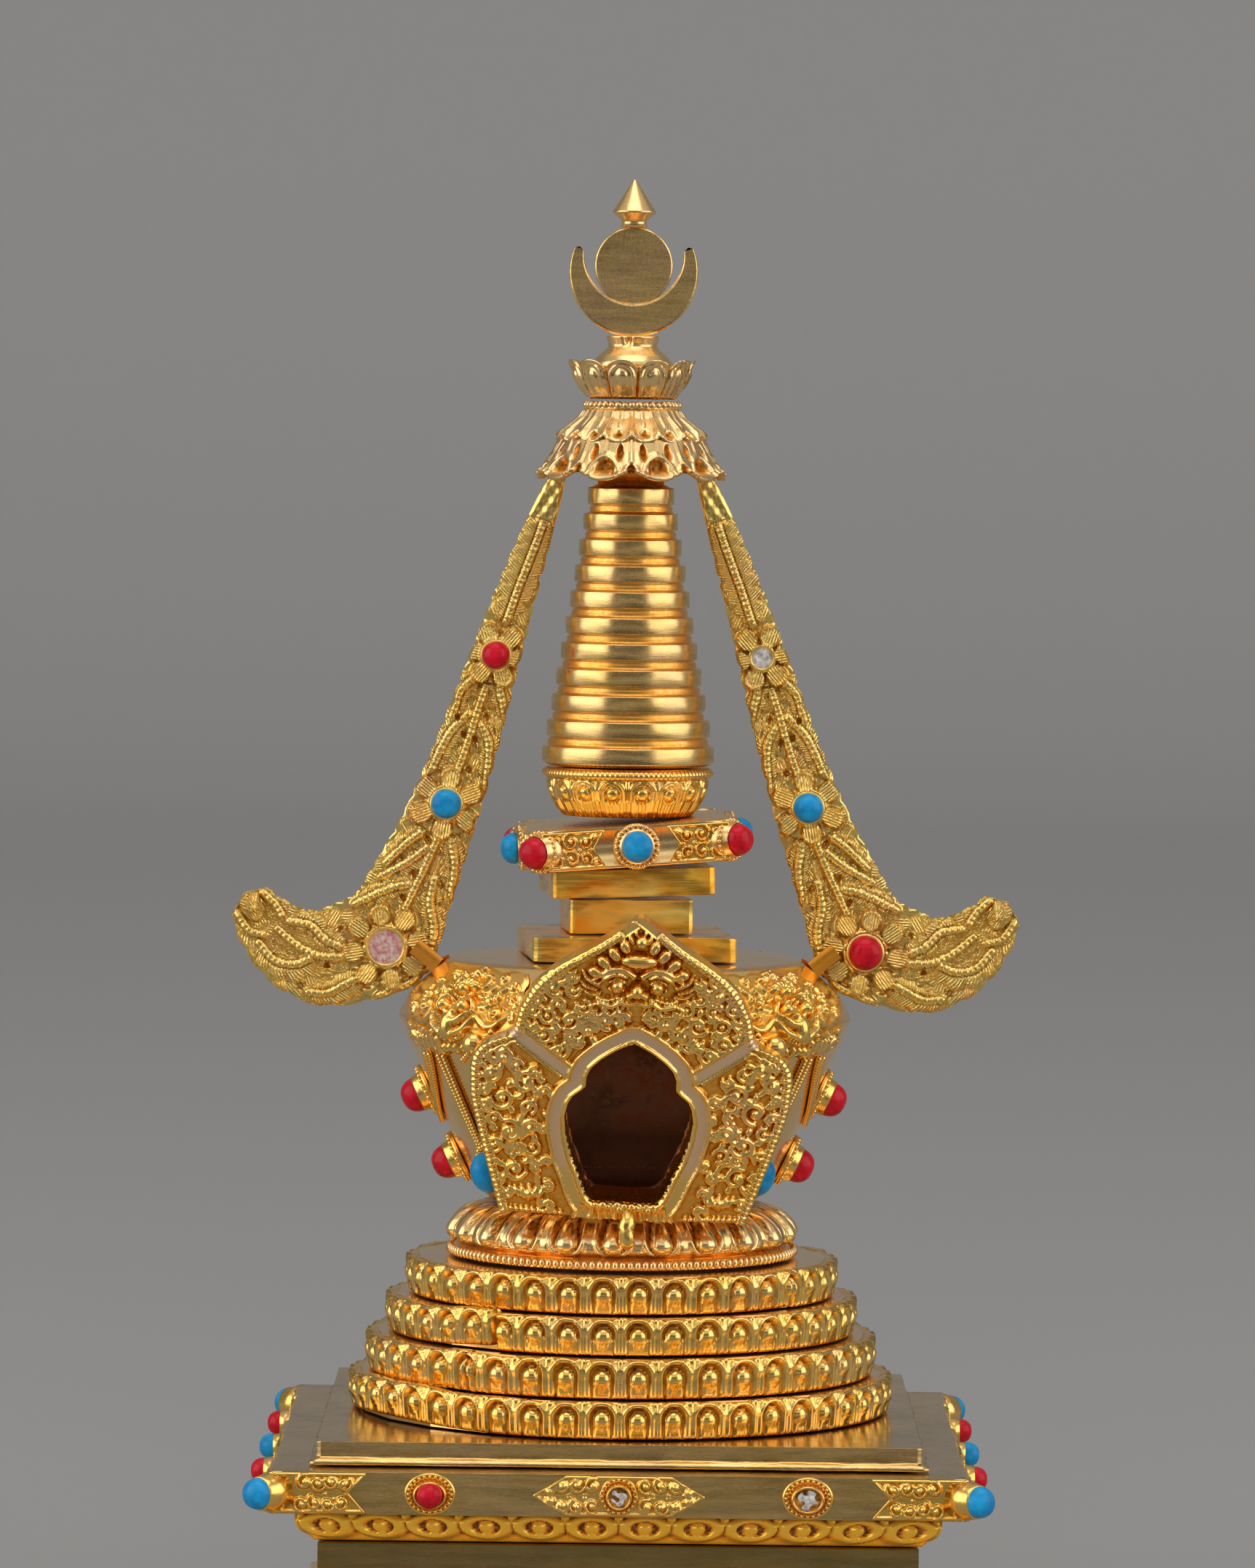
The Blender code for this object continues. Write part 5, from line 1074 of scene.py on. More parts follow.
def dome_lotus():
    """Ring of hanging petals under the dome, over a wire of beads."""
    low, high = heights("dome_lotus")
    foot, bulge, wire_radius, wire_z = 21.4, 26.3, 26.45, low + 0.85
    petals, per_petal, rows, count = 22, 28, 28, 145
    pitch = TURN * bulge / petals
    across = petal_share(petals, per_petal)[None] * pitch
    t = shares(rows)[:, None]
    bottom = low + 1.7
    tall = high - bottom
    up = t * tall
    away = np.hypot(across, np.maximum(2.9 - up, 0) * 1.05)
    rim = 0.75 * ridge(away, 2.75, 0.8)
    width = 1.75 - 0.75 * smooth(up, 1.8, tall)
    bulb = np.sqrt(np.clip(1 - (across / width) ** 2 - (np.maximum(2.2 - up, 0) / 1.6) ** 2, 0, 1))
    side = np.abs(np.abs(across) - pitch / 2)
    leaf = 0.4 * ridge(side, 0.0, 1.2) * smooth(up, 0.4, 1.4) - 0.2 * ridge(side, 0.0, 0.22)
    field = -0.5 * smooth(2.5 - away, 0, 0.6) * (bulb < 0.15)
    relief = np.maximum.reduce([rim, 1.9 * bulb, leaf, 0 * rim]) + field
    body = foot + (bulge - 0.6 - foot) * np.cos(np.clip(t - 0.28, 0, 1) / 0.72 * math.pi / 2) ** 0.85
    body = body - 1.6 * smooth(0.16 - t, 0, 0.16)
    radius = body + 0.75 * relief * smooth(t, 0, 0.08) * (1 - smooth(t, 0.86, 1.0))
    # Painted shade in the hollows and along the ring's bottom and top edges
    recess = hollow(relief, 12, 0.8, True) + 0.2 * smooth(0.1 - t, 0, 0.1) + 0.25 * smooth(t, 0.8, 1)
    z = np.broadcast_to(bottom + up, radius.shape)
    back = np.full((1, radius.shape[1]), foot - 2.0)
    shape = Shape()
    turned(shape, np.concatenate([back, radius, back]), ended(z), ended(recess).clip(0, 0.95), GOLD, True)
    bed = [(20, low + 0.02), (26.3, low + 0.02), (26.6, low + 0.4), (25.0, low + 2.0), (20, low + 2.0)]
    turned(shape, *profile(rounded(bed, 3), 160), 0.35, GOLD, True)
    angle = TURN * np.arange(count) / count
    beads(shape, about_axis(angle, wire_radius, wire_z), 0.54 + 0.03 * np.sin(angle * 23))
    balls = shape.points[-1]
    balls[:, 2] = (balls[:, 2] - wire_z) * 1.4 + wire_z
    matrix = Matrix.Rotation(math.radians(5.3), 4, "Z")
    make("lotus_ring", shape, [lotus_gilt], "gilt_cast", "dome_lotus", matrix=matrix)


# Dome

def dome_profile(inset=0.0):
    """Outside of the dome with a rounded shoulder, moved inwards by inset."""
    low, high = heights("dome")
    rows = [
        (0.05, low + inset), (DOME_FOOT - inset, low + inset), (DOME_EDGE - 1.1 * inset, low + EDGE_RISE),
        (32.9 - inset, low + 31.9 - 0.3 * inset), (27.6 - inset, high - 0.5 - 0.6 * inset),
        (26.2 - inset, high - inset), (0.05, high - inset),
    ]
    return rounded(rows, 5, 0.16)


def niche_half(rise):
    """Half width of the cusped niche at a height above its plaque's foot."""
    return np.where(rise > NICHE_TOP - 1e-6, 0.0, np.interp(rise, *zip(*NICHE_HALF)))


def niche_line(first, count, rough=0.0):
    """Outline of the niche from its sill over its top and down again; rough makes it crumbly."""
    rise = np.concatenate([[NICHE_SILL], np.linspace(first, 28.6, count), [NICHE_TOP]])
    half = niche_half(rise)
    crumbs = rough * (0.12 * np.sin(rise * 5.1) + 0.08 * np.sin(rise * 11.3))
    return np.concatenate([np.stack([crumbs + half, rise], 1), np.stack([crumbs - half, rise], 1)[-2::-1]])


def lean(x, rise, out):
    """Lay a flat relief on the plaque, which leans outwards and curves back."""
    x, rise, out = np.broadcast_arrays(x, rise, out)
    cos, sin = math.cos(PLAQUE_ROLL), math.sin(PLAQUE_ROLL)
    x, rise = x * cos + rise * sin, rise * cos - x * sin
    forth = PLAQUE_FORTH + rise * math.sin(PLAQUE_LEAN) + out * math.cos(PLAQUE_LEAN)
    back = PLAQUE_CURVE - np.sqrt(PLAQUE_CURVE ** 2 - x ** 2)
    z = heights("dome")[0] + rise * math.cos(PLAQUE_LEAN) - out * math.sin(PLAQUE_LEAN)
    return np.stack([x, back - forth, z], -1)


def dome():
    """Hollow polished dome with the niche cut through its wall."""
    outer, room, passage = Shape(), Shape(), Shape()
    turned(outer, *profile(dome_profile(), 160), 0.0, GOLD)
    turned(room, *profile(dome_profile(DOME_WALL), 96), 0.0, INSIDE)
    line = niche_line(2.7, 40, 1.0)
    depth = np.array([[-16.0], [1.4]])
    faces = [quads(2, len(line), True)] + caps(2, len(line))
    passage.add(lean(line[:, 0], line[:, 1], depth), faces, 0.0, INSIDE)
    shell, room, hole = (
        make(name, part, [gold, inside], "gilt_polished")
        for name, part in (("dome_shell", outer), ("room", room), ("passage", passage))
    )
    for body, cutter, operation in ((room, hole, "UNION"), (shell, room, "DIFFERENCE")):
        modifier = body.modifiers.new("cut", "BOOLEAN")
        modifier.operation = operation
        modifier.solver = "EXACT"
        modifier.object = cutter
        graph = bpy.context.evaluated_depsgraph_get()
        mesh = bpy.data.meshes.new_from_object(body.evaluated_get(graph))
        body.modifiers.clear()
        body.data = mesh
    for cutter in (room, hole):
        bpy.data.objects.remove(cutter)
    shell.data.shade_smooth()
    shell.data.set_sharp_from_angle(angle=math.radians(40))
    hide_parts("dome")


# Plaque round the niche

def distance_to(x, y, line):
    """Distance of every point of a grid from a polyline."""
    best = np.full(x.shape, 99.0)
    for (ax, ay), (bx, by) in zip(line, line[1:]):
        dx, dy = bx - ax, by - ay
        t = np.clip(((x - ax) * dx + (y - ay) * dy) / max(dx * dx + dy * dy, 1e-9), 0, 1)
        best = np.minimum(best, np.hypot(x - ax - t * dx, y - ay - t * dy))
    return best


def mirrored(points, side):
    """Points with their place across turned to one side."""
    return [(side * x, y) for x, y in points]


def draw_monster(canvas):
    """Face of the guardian in the plaque's gable: crown, brows, ball eyes, snout and beaded lip."""
    crown = ((2.2, 44.9, 60, 1.15), (3.7, 43.6, 48, 1.25), (5.2, 42.2, 36, 1.25), (6.5, 40.6, 20, 1.15))
    # Points, width, height, base and the share left at each end
    strokes = (
        (((0.7, 40.3), (2.3, 41.2), (4.4, 40.9), (6.6, 39.2)), 1.2, 1.1, 0.5, (1, 0.4)),
        (((1.7, 40.0), (3.2, 40.6), (4.8, 39.9), (5.6, 38.8)), 0.9, 1.3, 0.6, (0.6, 0.4)),
        (((1.9, 39.2), (3.0, 39.8), (4.3, 39.2)), 0.5, 1.0, 0.5),
        (((2.0, 37.9), (3.1, 37.5), (4.2, 38.0)), 0.45, 0.8, 0.5),
        (((5.8, 38.4), (7.4, 39.2), (8.3, 40.4)), 0.7, 0.8, 0.4, (1, 0.3)),
        (((6.2, 37.6), (7.8, 38.1), (8.6, 39.0)), 0.6, 0.7, 0.4, (1, 0.3)),
        (((5.6, 37.0), (7.0, 36.9), (8.2, 37.5)), 0.6, 0.7, 0.4, (1, 0.3)),
        (((0, 36.0), (1.4, 35.6), (2.4, 35.9), (3.8, 35.2), (5.6, 35.6)), 0.95, 1.1, 0.5),
        (((6.0, 35.4), (6.9, 34.9), (6.6, 34.1)), 0.6, 0.8, 0.3),
    )
    # Points, radius, spacing, height and base
    rows = (
        (((0.9, 36.4), (2.6, 36.5), (4.4, 36.0), (6.2, 36.4)), 0.42, 0.75, 0.8, 0.4),
        (((0.8, 34.9), (2.6, 34.8), (4.8, 34.4)), 0.36, 0.7, 0.6, 0.3),
    )
    for side in (-1, 1):
        for x, y, angle, long in crown:
            canvas.oval(side * x, y, long, 0.82, side * angle, 1.1, 0.6, 0.35)
            canvas.dig(side * x, y, long * 0.5, 0.2, side * angle, 0.35)
        for points, *form in strokes:
            canvas.stroke(mirrored(points, side), *form)
        for points, *form in rows:
            canvas.beaded(mirrored(points, side), *form)
        canvas.ball(side * 3.0, 38.6, 0.98, 1.4, 0.7)
        canvas.ball(side * 0.85, 40.0, 0.42, 0.9, 0.6)
        canvas.oval(side * 1.15, 37.3, 0.75, 0.62, 0, 1.5, 0.7)
    canvas.oval(0, 37.9, 1.05, 1.25, 0, 1.7, 0.8)
    canvas.oval(0, 42.7, 2.8, 1.15, 0, 1.3, 0.8)
    for k in (-1, 0, 1):
        canvas.dig(0.9 * k, 41.7, 0.16, 0.16, 0, 0.4)
    canvas.ball(0.2, 45.7, 0.95, 1.2, 0.6)
    for side in (-1, 1):
        canvas.oval(side * 1.35, 45.9, 0.95, 0.4, side * 62, 0.8, 0.4)
        canvas.oval(side * 0.7, 47.0, 0.6, 0.3, side * 75, 0.6, 0.4)


def plaque_scroll(canvas, x, y, radius, start, hand):
    """Large scroll with four leaves round it, or a small ring round a ball."""
    if radius > 1.15:
        canvas.scroll(x, y, radius * 1.08, 1.05, start, hand, 1.0, 0.6, 0.62, 0.25)
        for j in range(4):
            angle = start + hand * (120 + 60 * j)
            turn = math.radians(angle)
            px, py = x + (radius + 0.6) * math.cos(turn), y + (radius + 0.6) * math.sin(turn)
            canvas.oval(px, py, 0.85, 0.62, angle, 0.68, 0.15)
    else:
        around = [math.radians(start + 55 * j) for j in range(6)]
        canvas.stroke([(x + radius * math.cos(a), y + radius * math.sin(a)) for a in around], 0.82, 0.6, 0.2)
        canvas.ball(x, y, 0.55, 0.8, 0.15)


def plaque_canvas():
    """Relief of the whole plaque, seen flat, and where its channels run, which get a painted pale reflection.
    """
    canvas = Canvas(-25, 25, -0.5, 50, 0.09)
    x, y = canvas.x, canvas.y
    foot = 0.2
    rise = np.linspace(foot, NICHE_TOP, 60)
    niche = np.stack([niche_half(rise), rise], 1)
    niche[0] = (4.6, 0.0)
    frame_away = np.minimum(distance_to(x, y, niche), distance_to(-x, y, niche))
    inside_niche = (np.abs(x) < niche_half(np.clip(y, foot, NICHE_TOP))) & (y < NICHE_TOP)
    stem = ((12.4, 1.4), (14.0, 9.2), (17.9, 10.0), (16.0, 15.8), (13.9, 20.0), (17.6, 23.0), (20.2, 27.0))
    for side in (-1, 1):
        for group, low in ((LOWER_SCROLLS, 0), (UPPER_SCROLLS, 1)):
            for k, (a, b, r) in enumerate(group):
                px = side * a + 0.25 * math.sin(5.1 * k + 2.3 * side + low)
                py = b + 0.25 * math.cos(3.7 * k + side)
                hand = side * (1 if (k + low) % 2 else -1)
                plaque_scroll(canvas, px, py, r, 57 * k + 40 * side, hand)
        canvas.stroke(mirrored(stem, side), 1.0, 0.5, 0.15)
        for k in range(-2, 3):
            long = 1.5 - 0.2 * abs(k)
            canvas.oval(side * 14.2 + 0.85 * k, 3.3 + 0.1 * abs(k), long, 0.52, 90 - 15 * k, 0.85, 0.2)
        canvas.ball(side * 14.2, 3.5, 0.8, 0.9, 0.6)
        bar = np.array(mirrored(((10.0, 24.0), (18.0, 30.0)), side))
        along = bar[1] - bar[0]
        over = np.array([-along[1], along[0]]) / np.linalg.norm(along)
        canvas.height = np.where(distance_to(x, y, bar) < 1.3, 0.5, canvas.height)
        for edge in (-1.2, 1.2):
            canvas.stroke(bar + edge * over, 0.6, 0.4, 0.5)
    draw_monster(canvas)
    strip = np.where(frame_away < 3.0, 0.5, canvas.height)
    for base, swell, middle, width, limit in ((0.5, 0.55, 2.75, 0.6, 3.05), (0.45, 0.5, 0.45, 0.65, 3.0)):
        strip = np.maximum(strip, (base + swell * ridge(frame_away, middle, width)) * (frame_away < limit))
    canvas.height = np.where(inside_niche, 0.5, strip)
    for side in (-1, 1):
        away = distance_to(x, y, [(side * half, rise) for rise, half in PLAQUE_HALF])
        bordered = (np.abs(x) > 9.2) | (y > 4)
        canvas.height = np.where((away < 1.35) & bordered, 0.35, canvas.height)
        lip = (0.35 + 0.3 * ridge(away, 1.3, 0.35)) * (away < 1.5) * bordered
        canvas.height = np.maximum(canvas.height, lip)
        rope = spline([
            (side * (half - 0.72 * (0.6 if rise > 45 else 1)), rise - (0.55 if rise > 36 else 0.1))
            for rise, half in PLAQUE_HALF[:-1]
        ])
        run = run_along(rope)
        places = np.arange(0.4, run[-1] - 0.2, 0.84)
        ahead = read_line(np.gradient(rope, axis=0), run, places)
        for (px, py), (dx, dy) in zip(read_line(rope, run, places), ahead):
            canvas.oval(px, py, 0.64, 0.42, math.degrees(math.atan2(dx, -dy)), 0.5, 0.5)
        canvas.beaded([(side * 18, 0.75), (side * 8.9, 0.55)], 0.42, 0.8, 0.5, 0.4)
    bars = [distance_to(side * x, y, ((10.2, 24.2), (17.8, 29.8))) for side in (-1, 1)]
    channel = ((frame_away > 0.85) & (frame_away < 2.4)) | (np.minimum(*bars) < 0.8)
    return canvas, channel


def dome_radius(z):
    """Radius of the dome's wall at a height."""
    return DOME_FOOT + np.clip((z - heights("dome")[0]) / EDGE_RISE, 0, 1) * DOME_FLARE


def niche_plaque():
    """Leaning plaque in three plates round the niche, with the niche's jamb and its rough sill."""
    canvas, channel = plaque_canvas()
    # Painted shade in the hollows and on the low ground round the ornaments
    deep = hollow(canvas.height, 16, 0.8)
    deep = np.clip(deep + 0.5 * smooth(0.35 - canvas.height, 0, 0.3), 0, 0.9)
    # Painted pale reflection in the channels, fading out towards the foot
    deep = np.where(channel, -0.8 * smooth(canvas.y, 5.0, 11.0), deep)
    shape = Shape()

    def lay(x, rise, joined):
        y = np.broadcast_to(rise, x.shape)
        plate(shape, lean, x, y, canvas.at(x, y), canvas.at(x, y, deep), PLAQUE_THICK, 4, (joined,))

    rise = shares(160)[:, None] * NICHE_TOP
    crumbs = 0.13 * np.sin(rise * 5.1) + 0.1 * np.sin(rise * 11.3)
    crumbs = crumbs * (1 - smooth(rise, 9, 15)) * smooth(rise, 0.5, 2.5)
    inner = niche_half(np.clip(rise, NICHE_SILL, NICHE_TOP)) + crumbs
    outer = np.interp(rise, *zip(*PLAQUE_HALF))
    for side in (-1, 1):
        lay(side * (inner + (outer - inner) * shares(84)[None]), rise, "top")
    rise = NICHE_TOP + shares(108)[:, None] * (PLAQUE_HALF[-1][0] - NICHE_TOP)
    lay(np.interp(rise, *zip(*PLAQUE_HALF)) * (2 * shares(168)[None] - 1), rise, "bottom")
    jamb(shape)
    dome_seam()
    sill(shape)
    make("plaque", shape, [cast], "gilt_cast", "niche_plaque", sharp=75)


def dome_seam():
    """Uneven gilded seam round the floor of the dome's inside, which the niche shows."""
    angle = np.radians(np.arange(150, 211, 0.6))
    wander = 0.12 * np.sin(angle * 61) + 0.1 * np.sin(angle * 173)
    spots = about_axis(angle, 20.9, heights("dome")[0] + 2.9 + wander)
    shape = Shape()
    beads(shape, spots, 0.13 + 0.12 * np.abs(np.sin(angle * 97)), 0.0, 6, 4)
    make("dome_seam", shape, [seam_gilding], "gilt_cast")


def sill(shape):
    """Lumpy sill of the niche, with a drip of solder down to the lotus ring."""
    x = 6.4 * (2 * shares(64)[None] - 1)
    y = np.broadcast_to(2.25 * shares(12)[:, None], (13, 65))
    lumps = 0.35 + 0.25 * np.sin(x * 2.3) * np.sin(x * 0.9 + 1) + 0.2 * np.sin(x * 5.1 + y)
    lumps = lumps + 0.3 * smooth(y, 1.0, 2.2)
    # Painted shade on the lower lumps
    plate(shape, lean, np.broadcast_to(x, y.shape), y, lumps + 0.2, 0.15 + 0.25 * (lumps < 0.5), 1.5, 4)
    k = np.arange(26)
    spots = lean(9.0 * k / 25 - 4.5, 2.0 + 0.3 * np.sin(k * 2.1), 0.15 + 0.35 * np.sin(k * 1.3) ** 2)
    beads(shape, spots, 0.42 + 0.26 * np.abs(np.sin(k * 2.7)), 0.05)
    drip = spline([
        (0.7, -27.4, 73.6), (0.8, -28.2, 72.2), (0.6, -28.6, 70.8), (0.8, -28.5, 69.4), (0.7, -28.0, 68.0),
    ], steps=4)
    radius = np.interp(shares(len(drip) - 1), [0, 0.3, 0.55, 0.85, 1], [1.0, 1.3, 1.15, 1.25, 0.5])
    wire(shape, drip, radius, 14, 0.02)


def jamb(shape):
    """Inner wall of the niche, from the plaque back to the dome's wall."""
    x, y = niche_line(2.8, 36).T
    depth = np.zeros(len(x))
    for _ in range(4):
        z = heights("dome")[0] + y * math.cos(PLAQUE_LEAN) - depth * math.sin(PLAQUE_LEAN)
        wall = np.sqrt(dome_radius(z) ** 2 - x ** 2) - 0.6
        back = PLAQUE_CURVE - np.sqrt(PLAQUE_CURVE ** 2 - x ** 2)
        depth = (wall + back - PLAQUE_FORTH - y * math.sin(PLAQUE_LEAN)) / math.cos(PLAQUE_LEAN)
    front, out_x, out_y = np.full(len(x), -0.3), x + 0.7 * np.sign(x), y + 0.4
    loops = [lean(x, y, front), lean(x, y, depth), lean(out_x, out_y, depth), lean(out_x, out_y, front)]
    # Painted shade deepening towards the back of the niche's inner wall
    recess = np.repeat([[0.1], [0.6], [0.6], [0.3]], len(x), 1)
    shape.add(np.stack(loops), [quads(4, len(x), True, True)], recess)


# Garlands and jewels of the dome

def on_dome(azimuth, rise, lift=0.0):
    """Points on the dome's wall: azimuth in degrees from the front, lifted off it."""
    azimuth, rise, lift = np.broadcast_arrays(azimuth, rise, lift)
    radius = DOME_FOOT + rise * math.tan(DOME_SLOPE) + lift * math.cos(DOME_SLOPE)
    z = heights("dome")[0] + rise - lift * math.sin(DOME_SLOPE)
    return about_axis(np.radians(azimuth), radius, z)


def wall_face(azimuth, rise):
    """Flat placing that touches the dome's wall."""
    turn = math.radians(azimuth)
    out = about_axis(turn, math.cos(DOME_SLOPE), -math.sin(DOME_SLOPE))
    across = np.array([math.cos(turn), math.sin(turn), 0.0])
    return flat(on_dome(azimuth, rise, 0.15), across, np.cross(out, across))


def dome_jewel(name, shape, azimuth, rise, color, seed, tall=1.0):
    """Beaded setting on the dome's wall with its stone."""
    face = wall_face(azimuth, rise)
    rows = [
        (4.1, -0.2), (4.15, 0.3), (3.9, 0.5), (3.3, 0.55), (3.1, 0.8), (2.95, 1.3), (2.9, 1.9), (2.8, 2.1),
        (2.6, 1.95), (0.05, 1.8),
    ]
    # Painted shade round the foot of the setting and inside its collar
    spun(shape, face, rows, 40, [0.5, 0.3, 0.3, 0.5, 0.3, 0.05, 0, 0, 0.4, 0.5])
    bead_ring(shape, face, 3.65, 24, 0.62, 0.42)
    cabochon(name, shifted(face, 0, 0, 1.95), 2.68 * tall, 2.7, color, seed=seed, wide=0.93 / tall)


def bead_string(shape, start, end, sag=0.0):
    """Twisted wire on the dome's wall from one (azimuth, rise) to another."""
    t = np.linspace(0, 1, 60)
    azimuth = start[0] + (end[0] - start[0]) * t ** 1.25
    rise = start[1] + (end[1] - start[1]) * t - sag * np.sin(t * math.pi)
    path = on_dome(azimuth, rise, 0.5)
    length = np.linalg.norm(np.diff(path, axis=0), axis=1).sum()
    wire(shape, path, 0.3, 5, 0.35)
    beads(shape, read_line(path, t, np.linspace(0, 1, int(length / 0.52))), 0.5, 0.02, 7, 4)


def garlands():
    """Strings and settings on the sides and under the four masks."""
    for side, azimuth in STRING_PLACES:
        shape = Shape()
        for hand in (-1, 1):
            bead_string(shape, (azimuth + 27 * hand, STRING_TOP), (azimuth + 7.5 * hand, 12.6), 0.9)
            bead_string(shape, (azimuth + 24.5 * hand, STRING_TOP), (azimuth + 9.6 * hand, 13.6), 0.2)
        dome_jewel(f"jewel_stone_{side}_upper", shape, azimuth, 16.9, red, azimuth)
        make(f"string_{side}", shape, [cast], "gilt_cast", f"garland_{side}")
        shape = Shape()
        dome_jewel(f"jewel_stone_{side}_lower", shape, azimuth, 6.7, red, azimuth + 1)
        make(f"mount_{side}", shape, [cast], "gilt_cast", f"jewel_{side}")
    for name, azimuth in MASK_PLACES:
        shape = Shape()
        for hand in (-1, 1):
            bead_string(shape, (azimuth + 11 * hand, STRING_TOP), (azimuth + 8.2 * hand, 8.0))
            bead_string(shape, (azimuth + 8.5 * hand, STRING_TOP), (azimuth + 7.0 * hand, 9.5))
        spread = 1.06 if abs(azimuth) < 90 else 1.0
        dome_jewel(f"jewel_stone_{name}", shape, azimuth * spread, 6.7, blue, azimuth, 1.22)
        make(f"drop_{name}_strings", shape, [cast], "gilt_cast", f"drop_{name}")


# Masks on the dome's shoulder

def shoulder(arc):
    """Radius, height and outward direction along the dome's shoulder; arc runs up from under its edge."""
    low, high = heights("dome")
    under = 4.52
    line = spline([
        (DOME_EDGE - DOME_FLARE / EDGE_RISE * under, low + EDGE_RISE - under), (34.75, low + 28.0),
        (34.1, low + 30.2), (32.4, low + 32.2), (29.9, low + 34.9), (27.4, high - 0.4), (24.6, high),
    ])
    ahead = np.gradient(line, axis=0)
    ahead /= np.linalg.norm(ahead, axis=1)[:, None]
    values = read_line(np.concatenate([line, ahead], 1), run_along(line), arc)
    return values[..., 0], values[..., 1], values[..., 3], -values[..., 2]


def mask_canvas():
    """Sea monster's face: snout with a serrated lip, bulging eyes, crown, ruffs and scrolls."""
    canvas = Canvas(-14, 14, -1, 18, 0.1)
    # Points, width, height, base and the share left at each end
    strokes = (
        (((0, 4.4), (1.6, 4.9), (3.2, 5.4), (4.6, 6.6)), 0.8, 0.9, 0.3, (1, 0.5)),
        (((0, 6.0), (1.5, 5.9), (2.8, 6.5), (3.9, 7.8)), 0.6, 0.7, 0.3, (1, 0.4)),
        (((0.8, 8.6), (2.0, 9.1), (3.3, 8.4), (3.8, 7.2)), 0.65, 1.0, 0.3, (0.7, 0.5)),
        (((1.2, 9.6), (2.6, 10.2), (4.2, 9.4)), 0.55, 0.8, 0.2, (0.7, 0.4)),
        (((4.6, 6.6), (6.4, 5.6), (8.2, 5.8), (10.2, 7.2)), 0.75, 0.8, 0.1, (1, 0.4)),
        (((4.2, 4.6), (6.2, 4.2), (8.0, 4.6), (10.4, 5.0)), 0.6, 0.7, 0.1, (1, 0.4)),
    )
    ruffs = ((5.2, 8.3, 20), (5.8, 9.9, 35), (5.0, 11.5, 55), (6.9, 11.4, 40), (3.6, 12.3, 70))
    curls = ((4.5, 10.4, 0.9), (6.6, 10.0, 0.8), (10.9, 7.4, 0.8), (3.0, 13.6, 0.8), (10.4, 3.2, 0.8))
    for side in (-1, 1):
        for points, *form in strokes:
            canvas.stroke(mirrored(points, side), *form)
        canvas.beaded(mirrored(((0, 3.7), (1.5, 4.1), (3.1, 4.7)), side), 0.32, 0.6, 0.6, 0.3)
        canvas.ball(side * 2.0, 7.6, 0.85, 1.3, 0.3)
        canvas.dig(side * 2.0, 6.7, 0.5, 0.22, 0, 0.4)
        canvas.oval(side * 0.75, 6.6, 0.55, 0.4, side * 30, 0.7, 0.6)
        canvas.dig(side * 0.75, 6.35, 0.2, 0.16, 0, 0.5)
        for x, y, angle in ruffs:
            canvas.leaf(side * x, y, 1.15, 0.5, angle if side > 0 else 180 - angle, 0.6, 0.2)
        canvas.scroll(side * 7.6, 7.4, 1.4, 1.2, 90 - side * 60, side, 0.5, 0.7, 0.5, 0.1)
        canvas.scroll(side * 9.6, 9.6, 1.2, 1.1, 30, -side, 0.5, 0.6, 0.45, 0.1)
        canvas.scroll(side * 8.6, 12.2, 1.0, 1.1, 200, side, 0.45, 0.55, 0.4, 0.1)
        canvas.scroll(side * 5.8, 13.8, 0.9, 1.1, 100, -side, 0.42, 0.5, 0.36, 0.1)
        for k in range(6):
            x, y = side * (4.2 + 1.35 * k), 2.3 + 0.35 * math.sin(2.1 * k)
            canvas.leaf(x, y, 1.5, 0.6, 90 + side * (12 - 9 * k), 0.6, 0.15)
        for k in range(5):
            canvas.ball(side * (5.2 + 1.3 * k), 3.6 + 0.3 * math.cos(2 * k), 0.3, 0.5, 0.15)
        for k, (x, y, r) in enumerate(curls):
            canvas.scroll(side * x, y, r, 1.1, 90 * k, side * (-1) ** k, 0.42, 0.6, 0.36, 0.25)
        for k in range(4):
            x, y = side * (11.4 - 0.25 * k), 4.8 + 2.2 * k
            canvas.leaf(x, y, 1.3, 0.55, 90 - side * (70 - 12 * k), 0.5, 0.15)
        canvas.ball(side * 10.6, 11.6, 0.4, 0.5, 0.1)
    for k in range(7):
        angle = 30 + 20 * k
        turn = math.radians(angle)
        canvas.oval(2.1 * math.cos(turn), 10.4 + 1.9 * math.sin(turn), 0.85, 0.42, angle, 0.8, 0.3)
    canvas.ball(0, 10.6, 0.9, 1.2, 0.4)
    canvas.beaded([(-1.3, 9.6), (0, 9.2), (1.3, 9.6)], 0.3, 0.6, 0.6, 0.4)
    canvas.ball(0, 14.2, 0.75, 0.9, 0.3)
    for k in range(6):
        turn = TURN * k / 6
        x, y = 1.25 * math.cos(turn), 14.2 + 1.25 * math.sin(turn)
        canvas.leaf(x, y, 0.75, 0.42, math.degrees(turn), 0.6, 0.2)
    canvas.oval(0, 5.2, 1.0, 1.4, 0, 0.8, 0.5)
    for k in range(-3, 4):
        canvas.leaf(1.25 * k, 1.4 - 0.12 * abs(k), 1.5, 0.55, 90 - 9 * k, 0.7, 0.15)
    return canvas


